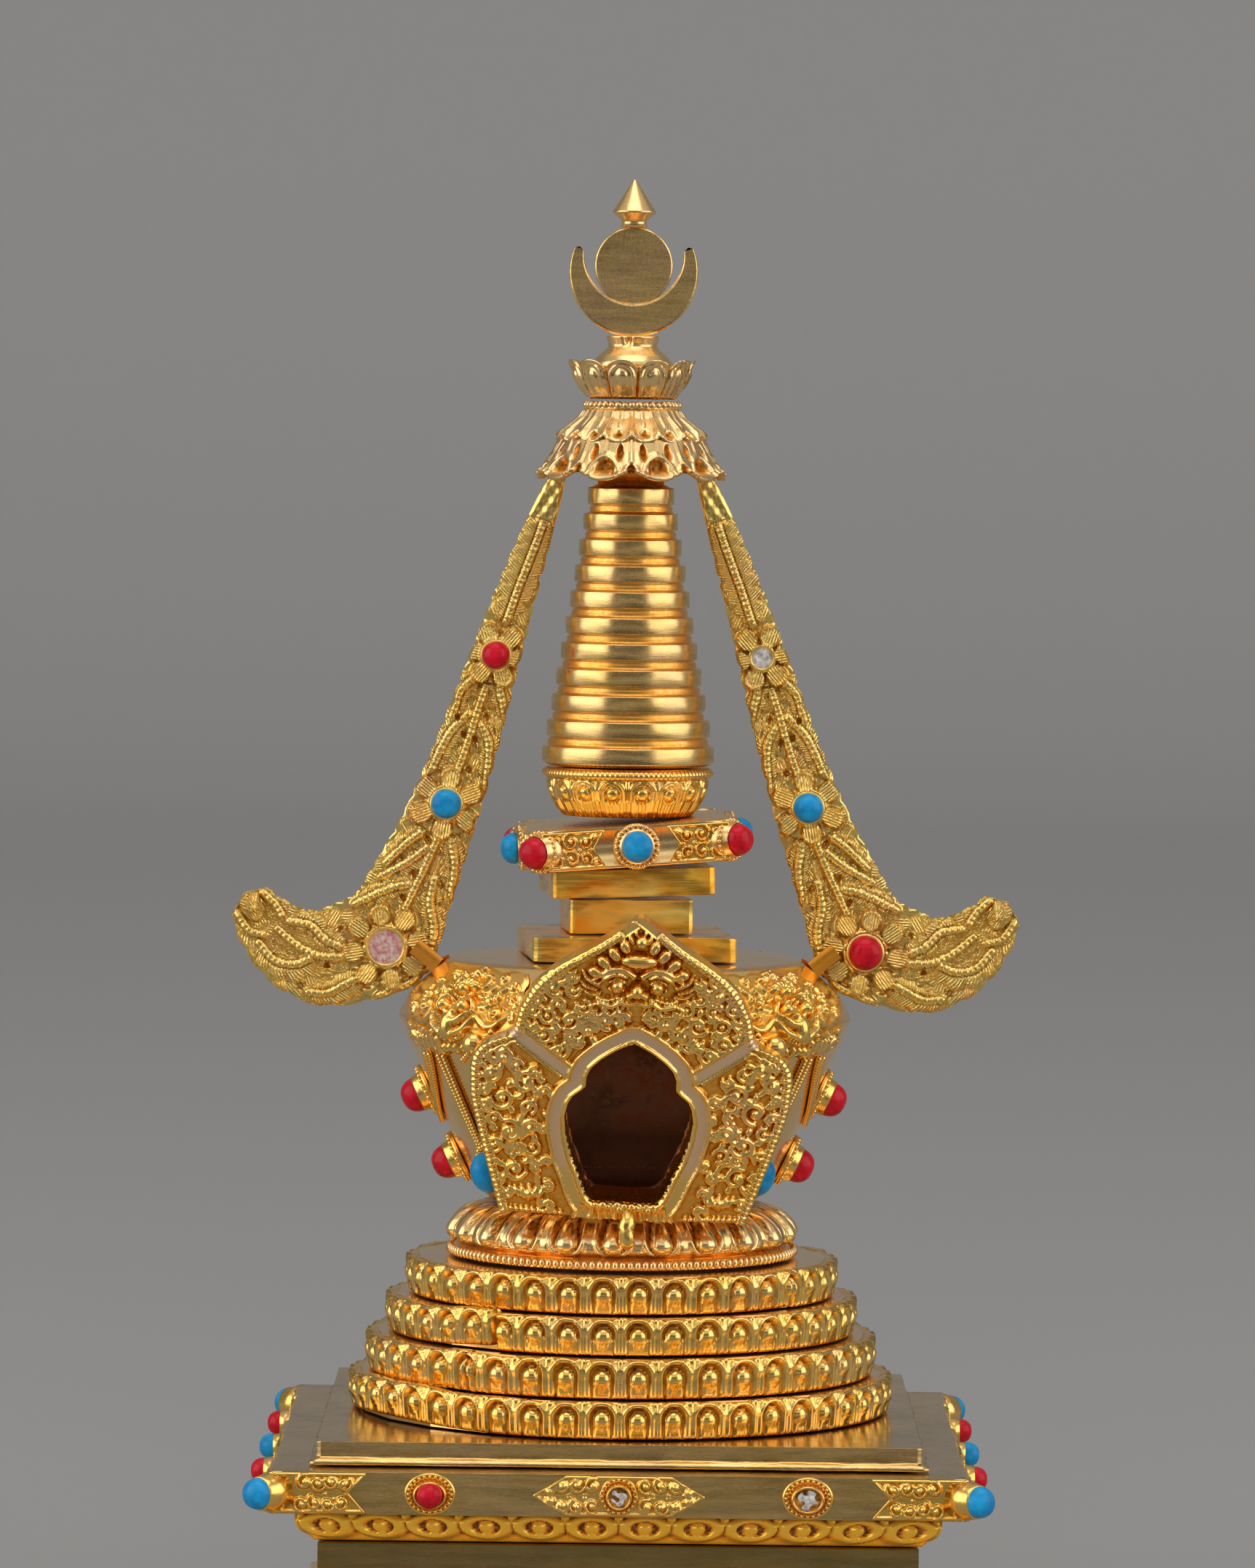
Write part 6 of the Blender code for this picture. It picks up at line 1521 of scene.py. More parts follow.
def mask_balls(shape, azimuth, side):
    """Large ball and smaller ones on the wall between a front mask and the plaque."""
    spots = (
        (12.6, 27.3, 0.75), (11.6, 25.6, 0.8), (5.6, 25.4, 0.6), (14.8, 26.2, 0.5), (13.6, 28.6, 0.5),
        (16.2, 24.6, 0.45),
    )
    beads(shape, on_dome(azimuth + side * 8.7, 27.1, 2.3), 1.72, 0.0, 24, 15)
    for away, rise, size in spots:
        beads(shape, on_dome(azimuth + side * away, rise, 0.9 + size), size, 0.05, 14, 9)
    for k in range(5):
        place = on_dome(azimuth + side * (1.5 + 0.9 * k), 23.8 + 0.35 * k, 1.2)
        beads(shape, place, 0.55, 0.2, 10, 7)


def masks():
    """Four masks, one on each corner of the shoulder."""
    canvas = mask_canvas()
    # Painted shade in the hollows and on the low ground
    deep = np.clip(hollow(canvas.height, 14, 0.75) + 0.25 * smooth(0.2 - canvas.height, 0, 0.2), 0, 0.8)
    for name, azimuth in MASK_PLACES:
        hand, front = np.sign(azimuth), abs(azimuth) < 90
        rows, columns = (80, 120) if front else (56, 88)
        t = shares(rows)[:, None]
        s = (2 * shares(columns) - 1)[None]
        half = 11.9 - 2.6 * t ** 2 + 0.45 * np.abs(np.sin(t * 16)) + 0.3 * np.sin(t * 9 + hand)
        low = 0.5 + 0.55 * np.abs(np.sin(s * 9.3)) - 0.5 * np.exp(-((s - 0.35 * hand) / 0.2) ** 2)
        high = 15.2 + 0.7 * np.abs(np.sin(s * 6.1 + 0.4)) + 0.9 * np.exp(-(s / 0.14) ** 2)
        u = s * half
        v = low + (high - low) * t
        edge = smooth(np.minimum(np.minimum(t, 1 - t) * 14, (1 - np.abs(s)) * 12), 0.0, 0.9)
        snout = 0.9 * np.exp(-(u / 3.6) ** 2 - ((v - 5.4) / 2.6) ** 2)
        brows = 0.5 * np.exp(-((np.abs(u) - 2.1) / 1.6) ** 2 - ((v - 8.4) / 1.8) ** 2)
        crown = 0.7 * np.exp(-(u / 2.6) ** 2 - ((v - 11.3) / 2.0) ** 2)
        lift = 0.35 + edge * (0.25 + np.maximum(snout + brows, crown) + 0.95 * canvas.at(hand * u, v))

        def place(a, b, height, azimuth=azimuth):
            radius, z, outward, upward = shoulder(b)
            angle = math.radians(azimuth) + a / 33.0
            return about_axis(angle, radius + height * outward, z + height * upward)

        shape = Shape()
        plate(shape, place, u, v, lift, canvas.at(hand * u, v, deep) * edge + 0.1, -0.12, 4)
        if front:
            mask_balls(shape, azimuth, -hand)
        make(f"{name}_mask", shape, [cast], "gilt_cast", f"mask_{name}", sharp=80)


# Streamers

def streamer_edges():
    """Inner and outer edge of a streamer, as smooth lines of (across, height) with the same steps."""
    high = corners("streamer_right")[1]
    dome_top = heights("dome")[1]
    top = np.array((10.9, high[2] - 0.4))
    elbow = np.array((27.6 + 9.7, dome_top + 2.0))
    tip = elbow + (20.9, 7.4)
    inner, outer = [], []
    middles, halves = [], []
    for share in [k / 9 for k in range(9)] + [0.985]:
        point = top + (elbow - top) * share
        point = point - (1.9 * math.sin(math.pi * share ** 2), 0)
        middles.append(point)
        halves.append(1.2 + 6.8 * (0.765 * share ** 0.75 + 0.235 * share ** 8))
    for share in [k / 6 for k in range(2, 7)]:
        bend = np.array((elbow[0] + (tip[0] - elbow[0]) * 0.61, elbow[1] - 5.5))
        first, second = elbow + (bend - elbow) * share, bend + (tip - bend) * share
        middles.append(first + (second - first) * share)
        halves.append(8.0 - 5.4 * (0.78 * share + 0.22 * share ** 4))
    middles = np.array(middles)
    count = len(middles)
    for k in range(count):
        ahead = middles[min(k + 1, count - 1)] - middles[max(k - 1, 0)]
        over = np.array((-ahead[1], ahead[0])) / np.linalg.norm(ahead)
        inner.append(middles[k] + over * halves[k])
        outer.append(middles[k] - over * (halves[k] + TAIL_FULLER[k]))
    return spline(np.array(inner), steps=16), spline(np.array(outer), steps=16)


def along_line(x, y, line):
    """Distance from a line, place along it, and 1 on its left or -1 on its right."""
    best, place, side = np.full(x.shape, 99.0), np.zeros(x.shape), np.ones(x.shape)
    run = 0.0
    for (ax, ay), (bx, by) in zip(line, line[1:]):
        dx, dy = bx - ax, by - ay
        length = math.hypot(dx, dy)
        t = np.clip(((x - ax) * dx + (y - ay) * dy) / length ** 2, 0, 1)
        away = np.hypot(x - ax - t * dx, y - ay - t * dy)
        closer = away < best
        best = np.where(closer, away, best)
        place = np.where(closer, run + t * length, place)
        side = np.where(closer, np.sign(dx * (y - ay) - dy * (x - ax)), side)
        run += length
    return best, place, side, run


def frond(canvas, points, left, right, base=0.15):
    """Roped rib with a lobed, engraved blade on each side; left and right are the blades' widths."""
    path = spline(points)
    low, high = path.min(0) - 3.4, path.max(0) + 3.4
    first = ((low - (canvas.left, canvas.bottom)) / canvas.cell).astype(int).clip(0)
    last = ((high - (canvas.left, canvas.bottom)) / canvas.cell).astype(int).clip(0)
    area = slice(first[1], last[1]), slice(first[0], last[0])
    away, along, side, total = along_line(canvas.x[area], canvas.y[area], path)
    taper = (1 - (along / total) ** 5) ** 0.5 * (0.7 + 0.3 * smooth(along / total, 0, 0.25))
    lobes = 0.64 + 0.4 * np.abs(np.sin(along * math.pi / LOBE_PITCH)) ** 0.5
    width = np.where(side > 0, left, right) * taper * lobes
    inside = np.clip(1 - (away / np.maximum(width, 0.01)) ** 4, 0, 1)
    blade = base + (0.12 + 0.34 * smooth(away, 0.62, 0.9)) * inside ** 0.4
    blade = blade - 0.5 * (1.04 - lobes) * smooth(away / np.maximum(width, 0.01), 0.35, 0.8)
    rope = np.abs(np.sin(along * math.pi / ROPE_PITCH)) ** 0.6
    rope = base + 0.12 + (0.25 + 0.42 * rope) * ridge(away, 0.0, 1.5)
    height = np.where(away < 0.64, rope, blade) * ((inside > 0) | (away < 0.64))
    higher = height > canvas.height[area]
    canvas.height[area] = np.where(higher, height, canvas.height[area])
    hatched = COMB_START + np.where(away > 0.7, along + 0.5 * away, along * HATCH_PITCH / ROPE_PITCH)
    canvas.comb[area] = np.where(higher, hatched, canvas.comb[area])


def flower(canvas, x, y, radius, stone, petals, start=0.0):
    """Open flower of engraved round petals about a collar."""
    area = canvas.near(x, y, radius)
    away = np.hypot(canvas.x[area] - x, canvas.y[area] - y)
    canvas.height[area] = np.where(away < radius - 0.4, 0.1, canvas.height[area])
    canvas.comb[area] = np.where(away < radius - 0.4, 0.0, canvas.comb[area])
    middle = radius - 1.5
    for k in range(petals):
        turn = math.radians(start + 360 * k / petals)
        px, py = x + middle * math.cos(turn), y + middle * math.sin(turn)
        canvas.leaf(px, py, 1.62, 1.55, math.degrees(turn), 0.75, 0.45)
        rim = [(px + 1.4 * math.cos(a), py + 1.35 * math.sin(a)) for a in turn + np.linspace(-1.5, 1.5, 7)]
        canvas.stroke(rim, 0.6, 0.45, 0.75)
    far, around = stone + 0.3, np.linspace(0, TURN, 14)[:-1]
    ring = [(x + far * math.cos(a), y + far * math.sin(a)) for a in around]
    canvas.stroke(ring, 0.7, 0.5, 0.7, closed=True)


def streamer_canvas(edges, first_stone):
    """Relief of a streamer drawn in its own upright plane; places are (step along, share across)."""
    inner, outer = edges
    canvas = Canvas(8, 62, 102, 186, 0.1)

    def spot(along, across):
        k = np.clip(along * 16, 0, len(inner) - 1.001)
        i = int(k)
        a = inner[i] + (inner[i + 1] - inner[i]) * (k - i)
        b = outer[i] + (outer[i + 1] - outer[i]) * (k - i)
        return a + (b - a) * (0.5 + 0.5 * across)

    canvas.height[:] = 0.1
    for row in range(36):
        for column in range(-4, 5):
            middle = spot(row * 0.39, 0.0)
            out = spot(row * 0.39, 0.9) - middle
            width = np.linalg.norm(out)
            if abs(column) * SCALE_PITCH > width:
                continue
            x, y = middle + out * column * SCALE_PITCH / width
            turn = math.degrees(math.atan2(-abs(out[0]), out[1])) + 180
            turn += 18 * column + 25 * math.sin(2.3 * row + column)
            canvas.leaf(x, y + 0.3 * math.sin(5 * row + 3 * column), 1.65, 1.0, turn, 0.3, 0.05)
    for points, left, right in FRONDS:
        frond(canvas, points, left, right)
    for x, y in STREAMER_PITS:
        canvas.dig(x, y, 0.62, 0.45, 70, 0.6)
    sizes = ((5.0, first_stone, 6), (5.5, 2.35, 6), (6.5, 2.85, 8))
    for (along, across), (radius, stone, petals) in zip(FLOWER_SPOTS, sizes):
        x, y = spot(along, across)
        flower(canvas, x, y, radius, stone, petals, 22 + 31 * along)
    x, y = spot(13.5, 0.0)
    canvas.oval(x, y, 2.5, 1.8, 62, 0.7, 0.6)
    for away, turn in ((1.0, 25), (1.0, 100), (0.2, 60)):
        px, py = x + away * math.cos(math.radians(turn)), y + away * math.sin(math.radians(turn))
        canvas.leaf(px, py, 1.4, 0.9, turn, 0.45, 1.1)
    canvas.ball(x - 0.5, y - 0.3, 0.6, 0.4, 1.3)
    return canvas, spot


def streamers():
    """Two cast streamers with their flowers, stones, empty settings and straps."""
    for name, hand, lost, first_stone in (("left", -1, 2, 2.15), ("right", 1, 0, 1.6)):
        edges = streamer_edges()
        canvas, spot = streamer_canvas(edges, first_stone)
        inner, outer = edges
        rows, columns = 376, 56
        along = shares(rows) * (len(inner) - 1.001)
        i = along.astype(int)
        part = (along - i)[:, None]
        a = inner[i] + (inner[i + 1] - inner[i]) * part
        b = outer[i] + (outer[i + 1] - outer[i]) * part
        length = np.concatenate([[0], np.cumsum(np.hypot(*np.diff((a + b) / 2, axis=0).T))])
        over = (b - a) / np.linalg.norm(b - a, axis=1)[:, None]
        fade = smooth(along / 16, 1.0, 1.8) * (1 - smooth(along / 16, 13.4, 14))
        a = a + over * ((0.45 * (1 - np.abs(np.sin(length * 0.98))) ** 1.5 - 0.1) * fade)[:, None]
        b = b - over * ((0.45 * (1 - np.abs(np.sin(length * 0.9 + 1))) ** 1.5 - 0.1) * fade)[:, None]
        close = 1 - 0.96 * smooth(along / 16, 13.55, 14.0)[:, None] ** 2
        middle = (a + b) / 2
        a, b = middle + (a - middle) * close, middle + (b - middle) * close
        s = shares(columns)[None]
        x = a[:, :1] + (b - a)[:, :1] * s
        y = a[:, 1:] + (b - a)[:, 1:] * s
        strap = 1 - smooth(along / 16, 0.85, 0.95)[:, None]
        bare = 0.3 + 0.1 * np.sin(x * 3.1) * np.sin(y * 2.3) + 0.25 * smooth(s, 0.2, 0.8)
        relief = canvas.at(x, y) * (1 - strap) + strap * bare
        edge = smooth(np.minimum(s, 1 - s) * 2 * np.linalg.norm(b - a, axis=1)[:, None] / 2, 0, 0.5)
        lift = 0.15 + 1.25 * relief * (0.35 + 0.65 * edge)
        # Painted shade in the hollows and on the low ground, lighter towards the edges
        deep = np.clip(hollow(canvas.height, 8, 0.45) + 0.15 * smooth(0.2 - canvas.height, 0, 0.2), 0, 0.6)
        recess = canvas.at(x, y, deep) * (1 - strap) * (0.4 + 0.6 * edge) + 0.1 * strap

        def place(px, py, height, hand=hand):
            return np.stack([hand * px, -height, py + 0 * px], -1)

        shape = Shape()
        shape.comb = canvas.at_nearest(x, y) * (1 - (strap > 0.5))
        plate(shape, place, x, y, lift, recess, 0.35, 4)
        places = [spot(*where) for where in FLOWER_SPOTS]
        for k, (middle, stone, color) in enumerate(zip(places, (first_stone, 2.3, 2.65), (red, blue, red))):
            seat = flat((hand * middle[0], -1.35, middle[1]), (1, 0, 0), (0, 0, 1))
            if k == lost:
                rows = [
                    (stone + 0.5, -0.9), (stone + 0.45, 0.15), (stone + 0.25, 0.3), (stone + 0.02, 0.15),
                    (stone - 0.1, -0.3), (0.05, -0.35),
                ]
                spun(shape, seat, rows, 32, [0.2, 0, 0, 0.1, 0.5, 0.5])
                filling(shape, shifted(seat, 0, 0, -0.45), stone - 0.05, 0.42, 2.0 + k)
            else:
                rows = [(stone + 0.5, -0.9), (stone + 0.4, 0.1), (stone + 0.1, 0.3), (0.05, 0.2)]
                spun(shape, seat, rows, 32, [0.3, 0, 0, 0.4])
                cabochon(f"streamer_{name}_gem_{k + 1}", shifted(seat, 0, 0, 0.3), stone, stone * 0.88, color,
                         f"streamer_stone_{name}_{k + 1}", seed=k + hand)
        looks = [engraved, engraved, pink_paste if lost == 2 else white_paste]
        make(f"streamer_{name}_cast", shape, looks, "gilt_cast", f"streamer_{name}", sharp=80)


def clips():
    """Two bare copper straps that tie the streamers to the shoulder."""
    for name, hand in (("left", -1), ("right", 1)):
        shape = Shape()
        along, wide = np.array((-0.76, -0.16, -0.6)), np.array((0.6, 0.08, -0.8))
        start = np.array((32.2, -1.75, 111.3))
        lengths = ((start, along, 4.7, 0.22), (start + along * 4.6, np.array((-0.35, 0.75, 0.15)), 2.2, 0.2))
        for origin, way, length, thick in lengths:
            way = way / np.linalg.norm(way)
            out = np.cross(way, wide)
            out = out / np.linalg.norm(out)
            s, h = np.meshgrid(np.array([-1.3, -1.22, 1.22, 1.3]), np.linspace(0, length, 5))
            grid = origin + h[..., None] * way + s[..., None] * wide
            front = grid - thick * (1 - 0.4 * (np.abs(s) > 1.25))[..., None] * np.sign(out[1]) * out
            points = np.concatenate([front, grid[:, ::-1] + 0.1 * np.sign(out[1]) * out], 1) * (hand, 1, 1)
            shape.add(points, [quads(5, 8, True)] + caps(5, 8), 0.35)
        make(f"strap_{name}", shape, [copper], "bare_copper", f"clip_{name}", sharp=50)


# Square terrace above the dome

def terrace_block(name, node, tilt=0.0):
    """Polished block under the terrace's cornice, with worn edges and slightly rippled faces."""
    low, high = corners(node)
    middle = (low[2] + high[2]) / 2
    turn = math.radians(TERRACE_TURN)
    half = (high[0] - low[0]) / 2 / (math.cos(turn) + math.sin(turn))
    half_height = (high[2] - low[2]) / 2 - half * math.sin(math.radians(tilt))
    per_side = 24
    outline = np.array(edge_roll(-half_height, half_height, half, 0.22))
    extra = np.array([(half, k * (half_height - 0.5)) for k in (-1, -0.5, 0, 0.5, 1)])
    foot, head = (outline[side * outline[:, 1] > half_height - 0.4] for side in (-1, 1))
    rows = np.concatenate([foot, extra, head])
    ripple = 0.05 * np.sin(np.arange(4 * per_side) * 0.55 + half)
    shape = Shape()
    ends = np.abs(rows[:, 1:]) > half_height - 0.4
    squared(shape, rows[:, :1] + 0.6 * ripple, rows[:, 1:] + ripple * ends, per_side)
    matrix = Matrix.Translation((0, 0, middle * MM)) @ Matrix.Rotation(turn, 4, "Z")
    matrix = matrix @ Matrix.Rotation(math.radians(-tilt), 4, "Y")
    make(name, shape, [terrace], "gilt_polished", node, matrix=matrix)


def harmika():
    """Cornice of the terrace with scroll panels, bead rings and the settings of its stones."""
    low, high = corners("harmika_cornice")
    middle = (low[2] + high[2]) / 2
    matrix = Matrix.Translation((0, 0, middle * MM)) @ Matrix.Rotation(math.radians(TERRACE_TURN), 4, "Z")
    matrix = matrix @ Matrix.Rotation(math.radians(-4.2), 4, "Y")
    half, cut = 16.0, 3.2
    shape = Shape()
    edge = np.linspace(-(half - cut), half - cut, 12)
    outline = np.concatenate([
        np.stack([edge * math.cos(a) + half * math.sin(a), edge * math.sin(a) - half * math.cos(a)], 1)
        for a in (TURN * k / 4 for k in range(4))
    ])
    rows = np.array([
        (0.96, -3.1), (0.99, -3.1), (1.0, -2.9), (1.0, -2.6), (0.975, -2.35), (0.975, 2.5), (0.995, 2.8),
        (0.99, 3.1), (0.9, 3.1),
    ])
    x, y = (rows[:, :1] * outline[:, axis] for axis in (0, 1))
    rings(shape, x, y, rows[:, 1:] + 0 * x, 0.0)
    canvas = Canvas(-0.4, 10.2, -3.2, 3.2)
    canvas.stroke([(0.3, 2.65), (9.2, 2.65)], 0.45, 0.35)
    canvas.stroke([(0.3, -2.65), (9.2, -2.65)], 0.45, 0.35)
    canvas.stroke([(9.3, 2.6), (8.4, 1.2), (7.6, 0)], 0.5, 0.4)
    canvas.stroke([(9.3, -2.6), (8.4, -1.2), (7.6, 0)], 0.5, 0.4)
    scrolls = (
        (1.9, 1.25, 1.25), (4.3, 1.35, 1.25), (6.5, 1.2, 1.0), (1.9, -1.35, 1.25), (4.3, -1.25, 1.25),
        (6.5, -1.3, 1.0), (8.0, 1.9, 0.5), (8.0, -1.9, 0.5),
    )
    for k, (a, b, r) in enumerate(scrolls):
        hand = 1 if k % 2 else -1
        canvas.scroll(a, b, r, 1.1, 70 * hand + 50 * k, hand, 0.42, 0.5, 0.36)
    for a in (3.1, 5.5, 7.2):
        canvas.ball(a, 0.0, 0.28, 0.35)

    def tail(v):
        return 0 * v, 7.7 + 1.9 * np.abs(v) / 2.85

    for k, side in enumerate(SIDES):
        across, out = quarter(k) @ (1, 0, 0), quarter(k) @ (0, -1, 0)
        face = flat(out * half * 0.975, across, (0, 0, 1))
        fineness = (60, 36) if side in ("front", "left") else (40, 24)
        for hand in (-1, 1):
            start = out * half * 0.975 + across * hand * (half - cut * 0.55)
            start = flat(start, -hand * across, (0, 0, 1))
            lay_panel(shape, facing(start, out), canvas, 2.85, tail, 0.15, *fineness)
        # Painted shade in the settings' grooves and inside their collars
        spun(shape, face, [
            (3.5, -0.3), (3.5, 0.5), (3.1, 0.7), (2.7, 0.7), (2.5, 1.3), (2.3, 1.3), (2.2, 0.9), (0.05, 0.8),
        ], 40, [0.3, 0.3, 0.5, 0.5, 0, 0, 0.5, 0.6])
        bead_ring(shape, face, 3.15, 24, 0.75, 0.36)
        corner = quarter(k) @ np.array([1, -1, 0.0]) / math.sqrt(2)
        lie = quarter(k) @ np.array([1, 1, 0.0]) / math.sqrt(2)
        seat = flat(corner * (half - cut / 2) * math.sqrt(2) * 0.99, lie, (0, 0, 1))
        spun(shape, seat, [
            (3.3, -1.2), (3.3, 0.1), (3.0, 0.5), (2.75, 0.9), (2.6, 1.5), (2.5, 1.7), (2.3, 1.5), (0.05, 1.4),
        ], 40, [0.3, 0.3, 0.4, 0.2, 0, 0, 0.5, 0.6])
        bead_ring(shape, seat, 3.0, 24, 0.45, 0.34)
    make("harmika_panels", shape, [soft_gilt, cast], "gilt_cast", "harmika_cornice", sharp=75, matrix=matrix)
    for kind, color, lift in (("side", blue, 1.2), ("corner", red, 1.5)):
        for k, where in enumerate(("right", "back", "left", "front")):
            spot = quarter(k) @ ((half, 0, 0) if kind == "side" else (half - cut / 2, half - cut / 2, 0))
            out = spot / np.linalg.norm(spot)
            place = flat(spot + out * lift, np.cross((0, 0, 1), out), (0, 0, 1))
            stone_node = f"harmika_stone_{kind}_{where}"
            piece = cabochon(f"terrace_stone_{kind}_{where}", place, 2.4, 2.2, color, stone_node, seed=k)
            piece.data.transform(matrix)


# Spire

def spire():
    """Turned rings with flat polished faces and hollow grooves between them."""
    low, high = heights("spire")
    rows, recess = [(9.0, low), (12.3, low), (12.35, low + 0.45)], [0.3, 0.2, 0.3]
    for index in range(11):
        bottom = low + 0.5 + 3.94 * index
        radius = 13.15 - 0.7 * index + 0.0045 * index ** 2
        # The third number of each row paints shade into the grooves
        ring = [
            (-0.55, -0.4, 0.5), (-0.12, -0.1, 0.3), (-0.03, -0.02, 0.1), (0, 0.1, 0), (0.02, 1.2, 0),
            (0, 2.22, 0), (-0.04, 2.36, 0), (-0.14, 2.43, 0.1), (-0.55, 2.46, 0.35), (-0.82, 2.62, 0.5),
            (-0.95, 2.95, 0.55), (-0.82, 3.25, 0.5),
        ]
        for out, rise, deep in ring:
            rows.append((radius + out, bottom + rise))
            recess.append(deep)
    neck = radius - 1.6
    rows = rows[:-3] + [(neck + 0.1, bottom + 2.9), (neck, bottom + 4.5), (neck - 0.3, high), (3.0, high)]
    recess = recess[:-3] + [0.4, 0.2, 0.3, 0.5]
    columns = 112
    angle = np.arange(columns) * TURN / columns
    r, z = profile(rows, columns)
    r = r + 0.035 * np.sin(5 * angle + z * 1.3) + 0.02 * np.sin(11 * angle + z * 2.1)
    shape = Shape()
    turned(shape, r, z, np.array(recess)[:, None] * np.ones(columns))
    make("spire_rings", shape, [satin], "gilt_polished", "spire")


def spire_bowl():
    """Bowl of sixteen petals with a band of rope-like beads, on which the spire stands."""
    low, high = heights("spire_lotus")
    petals, per_petal, rows = 16, 30, 28
    columns = petals * per_petal
    top = high - 1.65
    t = shares(rows)[:, None]
    up = t * (top - low)
    tall = top - low
    body = np.interp(t, [0, 0.12, 0.45, 0.75, 1], [10.0, 10.6, 11.7, 12.3, 12.45])
    pitch = TURN * 12.2 / petals
    across = ((np.arange(columns) % per_petal) / per_petal - 0.5)[None] * pitch
    bend = tall - 2.1
    away = np.hypot(across, np.maximum(up - bend, 0))
    rim = 0.62 * ridge(away, 2.0, 0.55) + 0.4 * ridge(away, 1.4, 0.35)
    bulb = 0.95 * knob(across, up - 0.62 * tall, 1.0, 1.0)
    below = smooth(0.5 * tall - up, 0, 0.3) * (np.abs(across) < 1.25)
    fingers = below * 0.5 * np.abs(np.cos(across * math.pi / 0.62)) ** 0.6
    holes = sum(knob(across - k * 0.62, up - 0.44 * tall, 0.2, 0.3) for k in (-1, 0, 1))
    side = np.abs(np.abs(across) - pitch / 2)
    leaf = 0.55 * ridge(side - 0.12 * (tall - up), -0.2, 0.85) * smooth(up, 0.3 * tall, 0.5 * tall)
    column = np.arange(columns)
    foot = 0.25 * np.sin(column * 0.9 + 3 * up) * np.sin(column * 0.31) * smooth(0.9 - up, 0, 0.7)
    relief = np.maximum.reduce([rim, bulb, fingers, leaf, 0 * rim]) - 0.35 * holes
    relief = relief - 0.25 * smooth(1.6 - away, 0, 0.5) * (bulb < 0.1)
    radius = body + 0.62 * relief * smooth(up, 0.5, 1.0) * (1 - smooth(t, 0.95, 1)) - 0.35 + foot
    # Painted shade in the hollows, the dented holes and at the foot
    recess = hollow(relief, 8, 0.7, True) + 0.5 * holes + 0.75 * smooth(1.0 - up, 0, 0.5)
    band = [
        (12.2, top), (12.75, top + 0.12), (13.1, top + 0.5), (13.15, top + 0.85), (12.9, top + 1.3),
        (12.4, high - 0.05), (8.0, high),
    ]
    r, z = profile(band, columns)
    # The twist dents the rope band and also paints shade between its turns
    twist = np.abs(np.cos(np.arange(columns)[None] * 104 / columns * math.pi + 0.5 * (z - top)))
    r = r - 0.24 * (1 - twist ** 0.5) * (r > 12.5)
    shape = Shape()
    start = np.full((1, columns), 8.0)
    turned(
        shape, np.concatenate([start, radius, r]),
        np.concatenate([np.full((1, columns), low), np.broadcast_to(low + up, radius.shape), z]),
        np.concatenate([recess[:1], recess, (1 - twist) * 0.6 * (r > 12.0)]).clip(0, 0.95),
    )
    make("spire_bowl", shape, [cast], "gilt_cast", "spire_lotus")


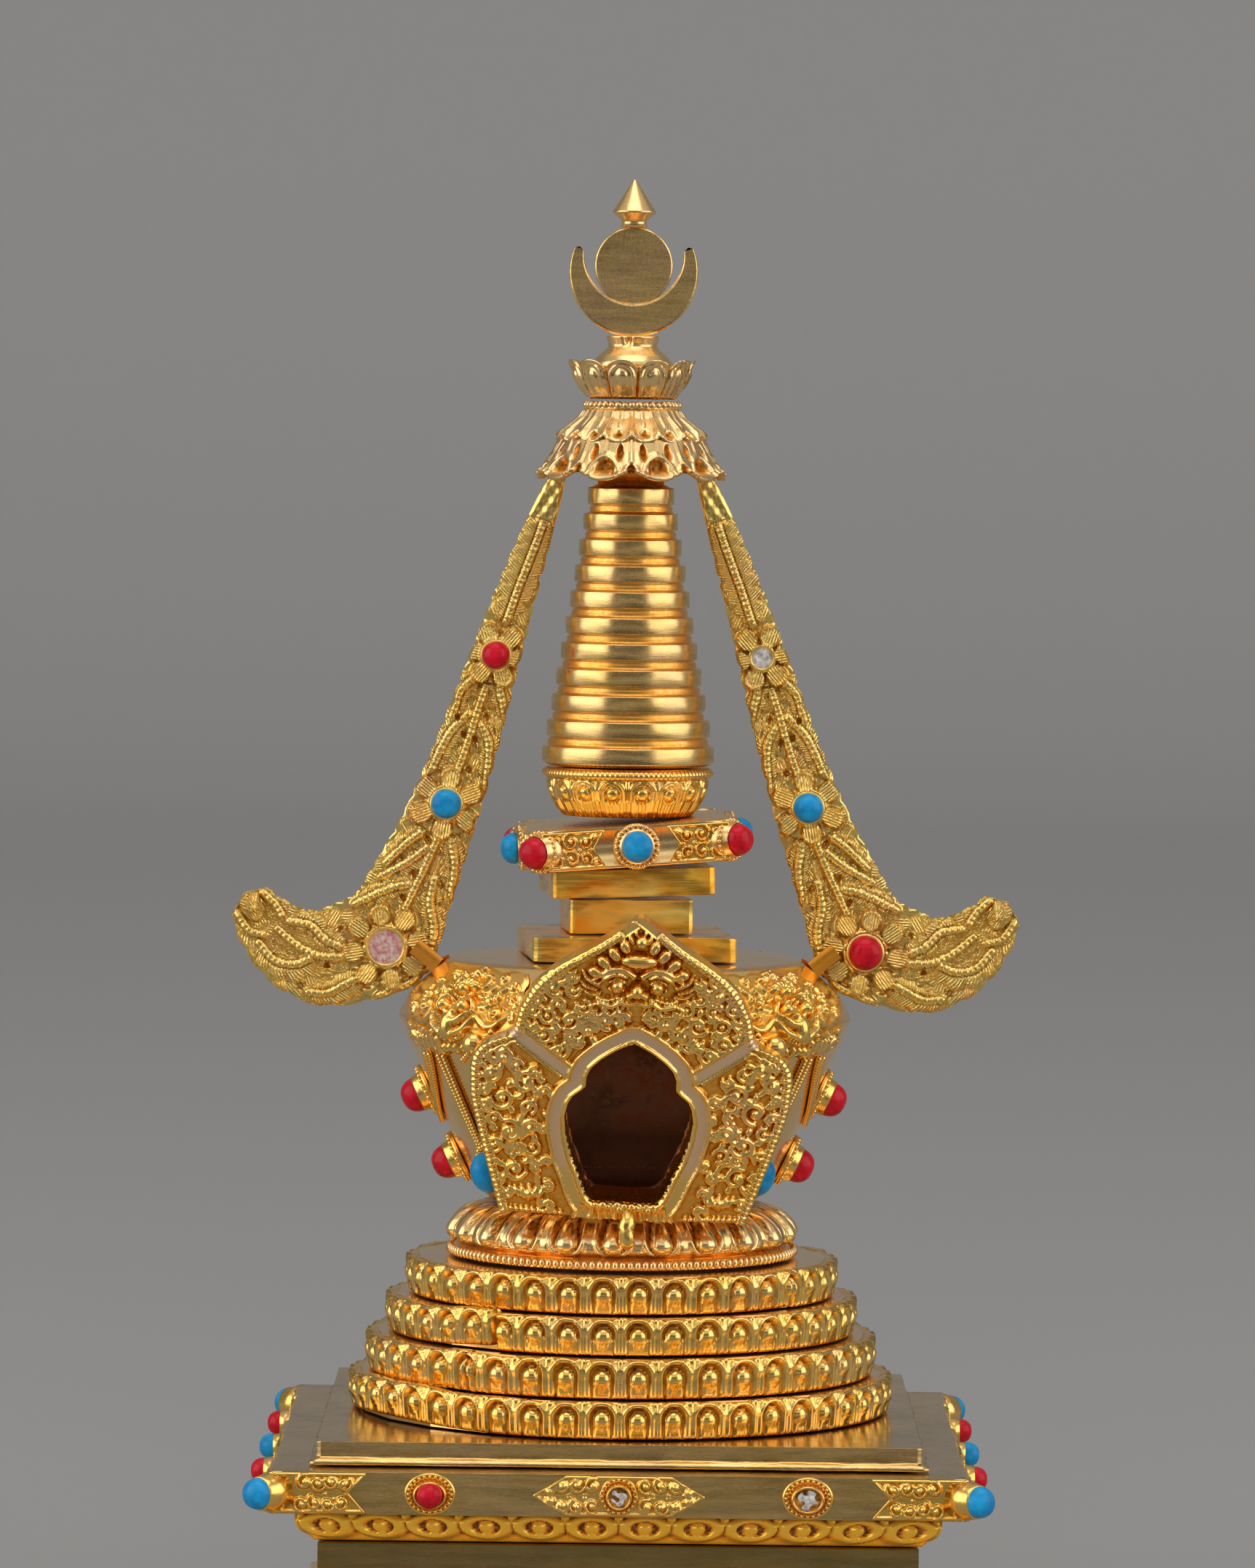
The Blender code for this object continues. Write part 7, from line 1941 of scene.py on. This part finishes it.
def canopy():
    """Two fluted tiers with scallops whose holes are shallow dents filled with painted shade, under a ring of
    beads.
    """
    low, high = heights("canopy")
    top = high - 1.35
    large, per = 10, 56
    columns = large * per
    local = (np.arange(columns) % per) / per - 0.5
    rim = 14.5
    tier = top - 5.1
    shape = Shape()

    rows = 26
    t = shares(rows)[:, None]
    start = low + 0.15 + 1.25 * (0.5 - 0.5 * np.cos(local * TURN))[None] ** 1.4
    up = start + t * (tier + 0.8 - start)
    body = np.interp(t, [0, 0.25, 0.6, 1], [rim - 0.25, rim - 1.0, rim - 2.3, 11.0]) * np.ones_like(up)
    pitch = TURN * (rim - 1) / large
    across = local[None] * pitch
    big = np.hypot(across, np.maximum(up - (low + 1.4), 0) * 0.9)
    small_x = np.abs(np.abs(across) - pitch / 2)
    small = np.hypot(small_x * 1.15, np.maximum(up - (low + 1.2), 0))
    relief = 0.65 * ridge(big, 2.35, 0.7) + 0.5 * ridge(small, 1.35, 0.5)
    relief += 0.75 * ridge(up - start, 0.5, 0.6)
    relief += 0.4 * ridge(small_x, 0.0, 0.7) * (small > 1.6)
    relief += 0.35 * ridge(np.abs(across), 0.0, 0.6) * (big > 2.7)
    hole = (np.hypot(across, up - (low + 1.7)) < 1.5) & (up > low + 1.5)
    hole |= (np.abs(across) < 1.5) & (up > low + 1.45) & (up < low + 1.7)
    hole |= np.hypot(small_x / 0.55, (up - (low + 1.9)) / 0.8) < 1
    slot = np.hypot((np.abs(small_x - 2.0)) / 0.5, (up - (low + 4.4)) / 1.15) < 1
    depth = blurred((hole | slot).astype(float), 1, True)
    # Painted shade in the hollows and the dented holes, and on the tier's underside below
    recess = hollow(relief, 8, 0.8, True) + 0.9 * depth
    radius = body + 0.55 * relief * smooth(t, 0, 0.04) - 0.95 * depth
    r_in, z_in = body[:1] - 1.0, up[:1] + 0.1
    inner = np.full((1, columns), 8.6)
    turned(
        shape, np.concatenate([inner, r_in, radius, inner]),
        np.concatenate([np.full((1, columns), tier - 1.5), z_in, up, np.full((1, columns), tier + 0.8)]),
        np.concatenate([0 * recess[:1] + 0.7, 0 * recess[:1] + 0.5, recess, recess[-1:]]).clip(0, 0.9),
        GOLD, True,
    )

    lobes = 16
    per = 40
    columns = lobes * per
    local = (np.arange(columns) % per) / per - 0.5
    t = shares(20)[:, None]
    drop = 0.9 * (np.abs(local)[None] * 2) ** 3
    start = tier + 0.25 + drop
    up = start + t * (top - start)
    body = np.interp(t, [0, 0.12, 0.4, 0.75, 1], [11.35, 11.1, 9.6, 7.9, 7.2]) * np.ones_like(up)
    across = local[None] * TURN * body / lobes
    edge = TURN * 10.6 / lobes / 2
    away = np.hypot(across, np.maximum(tier + 1.7 - up, 0))
    side = np.abs(np.abs(local)[None] - 0.5) * TURN * body / lobes
    relief = 0.55 * ridge(away, edge * 0.8, 0.55) * (up < tier + 2.2)
    relief += 0.5 * ridge(side, 0.0, 0.75) * (up > tier + 1.0)
    relief += 0.35 * ridge(np.abs(across), 0.0, 0.7) * (up > tier + 2.6)
    hole = np.hypot(across / 0.75, (up - tier - 1.35) / 0.42) < 1
    depth = blurred(hole.astype(float), 1, True)
    radius = body + 0.6 * relief * smooth(t, 0, 0.05) - 0.7 * depth
    # Painted shade in the hollows and the dented holes, and on the tier's underside below
    recess = hollow(relief, 8, 0.8, True) + 0.9 * depth
    inner = np.full((1, columns), 5.5)
    turned(
        shape, np.concatenate([inner, body[:1] - 0.9, radius, inner]),
        np.concatenate([np.full((1, columns), tier + 1.0), up[:1] + 0.1, up, np.full((1, columns), top)]),
        np.concatenate([0 * recess[:1] + 0.5, 0 * recess[:1] + 0.4, recess, recess[-1:]]).clip(0, 0.9),
        GOLD, True,
    )
    seat = [(3.0, top - 0.3), (7.3, top - 0.3), (7.2, top + 0.9), (3.0, top + 0.9)]
    turned(shape, *profile(rounded(seat, 3), 64), 0.35, GOLD, True)
    angle = TURN * np.arange(42) / 42
    wobble = 0.06 * np.sin(angle * 9)
    centres = about_axis(angle, 7.0 + wobble, top + 0.72 + 0.5 * wobble)
    beads(shape, centres, 0.6 + 0.05 * np.sin(angle * 17), columns=10, rows=7)
    make("canopy_tiers", shape, [canopy_gilt], "gilt_cast", "canopy")


def lotus_cup():
    """Cup of eleven round petals that opens under the cap; its right side is worn and pitted."""
    low, high = heights("lotus_cup")
    petals, per, rows = 11, 34, 26
    columns = petals * per
    local = ((np.arange(columns) % per) / per - 0.5)[None]
    angle = np.arange(columns)[None] * TURN / columns
    t = shares(rows)[:, None]
    tip = high - 1.5 * (np.abs(local) * 2) ** 2.6
    up = t * (tip - low)
    body = np.interp(t, [0, 0.1, 0.3, 0.6, 0.85, 1], [6.8, 7.1, 8.0, 8.95, 9.2, 9.6])
    pitch = TURN * body / petals
    across = local * pitch
    away = np.hypot(across, np.maximum(up - 3.6, 0) * 1.1)
    petal = 0.6 * np.sqrt(np.clip(1 - (2 * across / pitch) ** 2, 0, 1))
    arch = 0.35 * ridge(away, 1.75, 0.5)
    bulb = 0.5 * knob(across, up - 2.9, 0.95, 1.7)
    lip = 0.3 * smooth(t, 0.88, 0.96)
    seam = 0.5 * ridge(np.abs(across), 0.5 * pitch, 0.4)
    relief = petal + arch + bulb + lip - seam
    worn = smooth(np.cos(angle - 1.15), 0.55, 0.9)
    pits = 0.16 * np.sin(9 * across + 7 * up) * np.sin(5 * up + 31 * angle) * worn
    radius = np.minimum(body - 0.45 + 0.8 * relief * smooth(t, 0, 0.06) * (1 - 0.45 * worn) + pits, 9.95)
    # Painted shade in the hollows and the seams between petals, and further down inside the cup; the worn
    # side's pits are wear
    recess = hollow(relief, 7, 0.55, True) + 0.25 * seam
    recess = recess + 0.3 * worn * (0.5 + 0.5 * np.sin(7 * up + 23 * angle))
    within = np.array([9.0, 8.4, 7.6, 6.9])[:, None] * np.ones_like(angle)
    drop = np.array([0.15, 0.5, 1.0, 1.5])[:, None]
    ring = np.ones_like(angle)
    shape = Shape()
    turned(
        shape, np.concatenate([5.5 * ring, radius, within, 6.0 * ring]),
        np.concatenate([low * ring, low + up, tip - drop, (high - 1.9) * ring]),
        np.concatenate([recess[:1], recess, 0 * within + 0.4, 0.6 * ring]).clip(0, 0.9),
    )
    matrix = Matrix.Rotation(math.radians(5.8), 4, "Z")
    make("cup", shape, [lotus_gilt], "gilt_cast", "lotus_cup", matrix=matrix)


def finial():
    """Domed cap, crescent moon, sun and jewel."""
    low, high = heights("finial_cap")
    shape = Shape()
    rows = [
        (5.9, low), (6.15, low + 0.3), (6.0, low + 1.0), (5.3, low + 1.9), (4.3, low + 2.7), (3.7, low + 3.3),
        (3.75, low + 3.8), (4.1, high + 0.45), (3.6, high + 0.6), (0.05, high + 0.3),
    ]
    radius, z = profile(rounded(rows, 3, 0.3), 72)
    angle = TURN * np.arange(72) / 72
    crack = 0.35 * np.exp(-((angle - 6.1) / 0.14) ** 2) * smooth(z, high - 1.4, high)
    turned(shape, radius * (1 - crack), z, 1.5 * crack)
    make("cap", shape, [soft_gilt], "gilt_polished", "finial_cap")

    low, high = heights("crescent_moon")
    radius, cut, cut_rise, horn_rise, thick = 9.8, 7.6, 3.0, 3.95, 0.9
    horn = math.asin(horn_rise / radius)
    inner_horn = math.asin((horn_rise - cut_rise) / cut)
    place = flat((0, 0, low + 9.84), (1, 0, 0), (0, 0, 1))
    across = np.array([0.0, 0.05, 0.1, 0.15, 0.5, 0.85, 0.9, 0.95, 1.0])[:, None]
    lift = thick - 0.25 * np.clip(np.abs(2 * across - 1) * 5 - 4, 0, 1) ** 2
    t = 0.5 + (shares(88)[None] - 0.5) * (1 - 0.045 * np.abs(2 * across - 0.8) ** 2.5)
    a = math.pi - horn + t * (math.pi + 2 * horn)
    b = math.pi - inner_horn + t * (math.pi + 2 * inner_horn)
    x = radius * np.cos(a) * (1 - across) + cut * np.cos(b) * across
    y = radius * np.sin(a) * (1 - across) + (cut_rise + cut * np.sin(b)) * across
    points = np.concatenate([place(x, y, lift), place(x[::-1], y[::-1], -lift)])
    count = x.shape[1]
    rows = np.arange(len(points))[None] * count
    shape = Shape()
    shape.add(points, [quads(len(points), count, False, True), rows, rows + count - 1])
    make("moon", shape, [plates], "gilt_polished", "crescent_moon", sharp=12)

    low, high = heights("sun_disc")
    radius = (high - low) / 2 + 0.25
    place = flat((0, 0, (low + high) / 2 - 0.2), (1, 0, 0), (0, 0, 1))
    shape = Shape()
    edge = [(0.05, 0.9), (radius - 0.4, 0.9), (radius - 0.25, 0.88), (radius - 0.08, 0.75), (radius, 0.55)]
    spun(shape, place, [(r, -h) for r, h in edge] + edge[::-1], 96)
    make("sun", shape, [plates], "gilt_polished", "sun_disc", sharp=12)

    low, high = heights("finial_jewel")
    rows = [
        (2.0, low - 0.45), (1.9, low + 0.4), (2.2, low + 0.8), (3.3, low + 1.75), (3.32, low + 2.0),
        (2.3, low + 3.5), (0.3, high - 0.25), (0.05, high),
    ]
    shape = Shape()
    turned(shape, *profile(rounded(rows, 3, 0.15), 64), 0.0)
    make("jewel_point", shape, [soft_gilt], "gilt_polished", "finial_jewel")


# Stage, lights and camera

def make_stage():
    """Pale floor that curves up into a wall all round, so every view has the same backdrop."""
    made, nodes = new_material("stage_grey", roughness=0.9)
    place = nodes.add("ShaderNodeTexCoord").outputs["Object"]
    reach = nodes.add("ShaderNodeVectorMath", {"operation": "LENGTH"}, Vector=place).outputs["Value"]
    # Darker near the stupa and paler out to the wall: painted light that evens out how the lamps fall off
    reach = nodes.range(reach, 0.2, 3.0)
    nodes.put(nodes.shader.inputs["Base Color"], nodes.mix(reach, (0.33, 0.327, 0.322), (0.56, 0.555, 0.55)))
    bm = bmesh.new()
    radius, bend, top = 3.2, 0.9, 3.0
    profile = [(0.0, 0.0), (radius - bend, 0.0)]
    for k in range(1, 13):
        turn = math.pi / 2 * k / 12
        profile.append((radius - bend + bend * math.sin(turn), bend - bend * math.cos(turn)))
    profile.append((radius, top))
    verts = [bm.verts.new((x, 0, z)) for x, z in profile]
    edges = [bm.edges.new(pair) for pair in zip(verts, verts[1:])]
    bmesh.ops.spin(
        bm, geom=verts + edges, cent=(0, 0, 0), axis=(0, 0, 1), angle=TURN, steps=96, use_merge=True,
    )
    bmesh.ops.remove_doubles(bm, verts=bm.verts, dist=0.0001)
    mesh = bpy.data.meshes.new("stage")
    bm.to_mesh(mesh)
    bm.free()
    mesh.shade_smooth()
    mesh.materials.append(made)
    floor = bpy.data.objects.new("stage", mesh)
    bpy.context.scene.collection.objects.link(floor)


def softbox(name, azimuth, distance, height, width, tall, radiance, tilt=0.0, mirrored=True):
    """Large even lamp facing the stupa; azimuth is from the camera's side, radiance what a mirror shows."""
    lamp = bpy.data.lights.new(name, "AREA")
    lamp.shape = "RECTANGLE"
    lamp.size, lamp.size_y = width, tall
    lamp.energy = radiance * math.pi * width * tall
    made = bpy.data.objects.new(name, lamp)
    turn = math.radians(azimuth)
    made.location = (distance * math.sin(turn), -distance * math.cos(turn), height)
    made.rotation_euler = (math.radians(90 - tilt), 0, turn)
    made.visible_camera = False
    made.visible_glossy = mirrored
    bpy.context.scene.collection.objects.link(made)


def dark_card(name, low, high, shade):
    """Black card that only mirrors see, like the unlit room on the camera's side."""
    made, nodes = new_material(name, roughness=0.9)
    nodes.shader.inputs["Base Color"].default_value = (shade, shade, shade, 1)
    mesh = bpy.data.meshes.new(name)
    points = [low, (high[0], low[1], low[2]), high, (low[0], high[1], high[2])]
    mesh.from_pydata(points, [], [(0, 1, 2, 3)])
    mesh.materials.append(made)
    card = bpy.data.objects.new(name, mesh)
    card.visible_camera = card.visible_diffuse = card.visible_shadow = False
    bpy.context.scene.collection.objects.link(card)


def make_lights():
    """Even surroundings, soft lamps round the stupa and two dark cards."""
    world = bpy.data.worlds.new("studio")
    bpy.context.scene.world = world
    world.use_nodes = True
    world.node_tree.nodes["Background"].inputs["Color"].default_value = (1.0, 0.98, 0.95, 1)
    world.node_tree.nodes["Background"].inputs["Strength"].default_value = 0.42
    softbox("softbox_left", -67, 1.35, 0.70, 1.5, 1.35, 1.75)
    softbox("softbox_right", 66, 1.35, 0.70, 1.5, 1.35, 1.5)
    softbox("softbox_top", 0, 0.35, 1.6, 1.3, 1.0, 1.5, tilt=78)
    softbox("softbox_front", 0, 1.7, 1.25, 1.8, 0.5, 0.9, tilt=32)
    softbox("softbox_low", 0, 1.3, 0.065, 1.3, 0.11, 0.6)
    softbox("fill_front", 0, 1.7, 0.42, 0.9, 0.5, 5.0, tilt=10, mirrored=False)
    dark_card("card_floor", (-0.45, -1.5, 0.002), (0.45, -0.25, 0.002), 0.05)
    dark_card("card_room", (-1.05, -1.5, 0.0), (0.75, -1.5, 0.9), 0.14)


def make_camera():
    """The photograph's viewpoint: a long lens, a little above the stupa's middle."""
    data = bpy.data.cameras.new("camera")
    data.lens = 183.7
    data.sensor_width = 36.0
    made = bpy.data.objects.new("camera", data)
    made.location = (0, -1.222, 0.1968)
    tilt = Matrix.Rotation(math.radians(90 - 2.83), 4, "X")
    roll = Matrix.Rotation(math.radians(0.7), 4, "Z")
    made.rotation_euler = (tilt @ roll).to_euler()
    bpy.context.scene.collection.objects.link(made)
    bpy.context.scene.camera = made


base_petals("petals_upper", "base_upper_petals", False)
base_petals("petals_lower", "base_lower_petals", True)
base_cornice()
base_plinth()
step_strips()
dome_lotus()
dome()
niche_plaque()
masks()
garlands()
streamers()
clips()
terrace_block("terrace_foot", "harmika_plinth")
terrace_block("terrace_neck", "harmika_neck")
terrace_block("terrace_step", "harmika_step", 1.8)
harmika()
spire()
spire_bowl()
canopy()
lotus_cup()
finial()

make_stage()
make_lights()
make_camera()
bpy.context.scene.view_settings.view_transform = "Standard"

SPECIAL_NODES = {"base_neck": neck_gilt}
NODE_MATERIALS = {
    "gilt_polished": gold, "gilt_cast": cast, "bare_copper": copper, "coral_red": red, "turquoise_blue": blue,
}
for entry in frame["record"]["subparts"]:
    node = frame["nodes"][entry["node"]]
    node.data.materials.clear()
    chosen = SPECIAL_NODES.get(entry["node"], NODE_MATERIALS[entry["material_slot"]])
    node.data.materials.append(chosen)
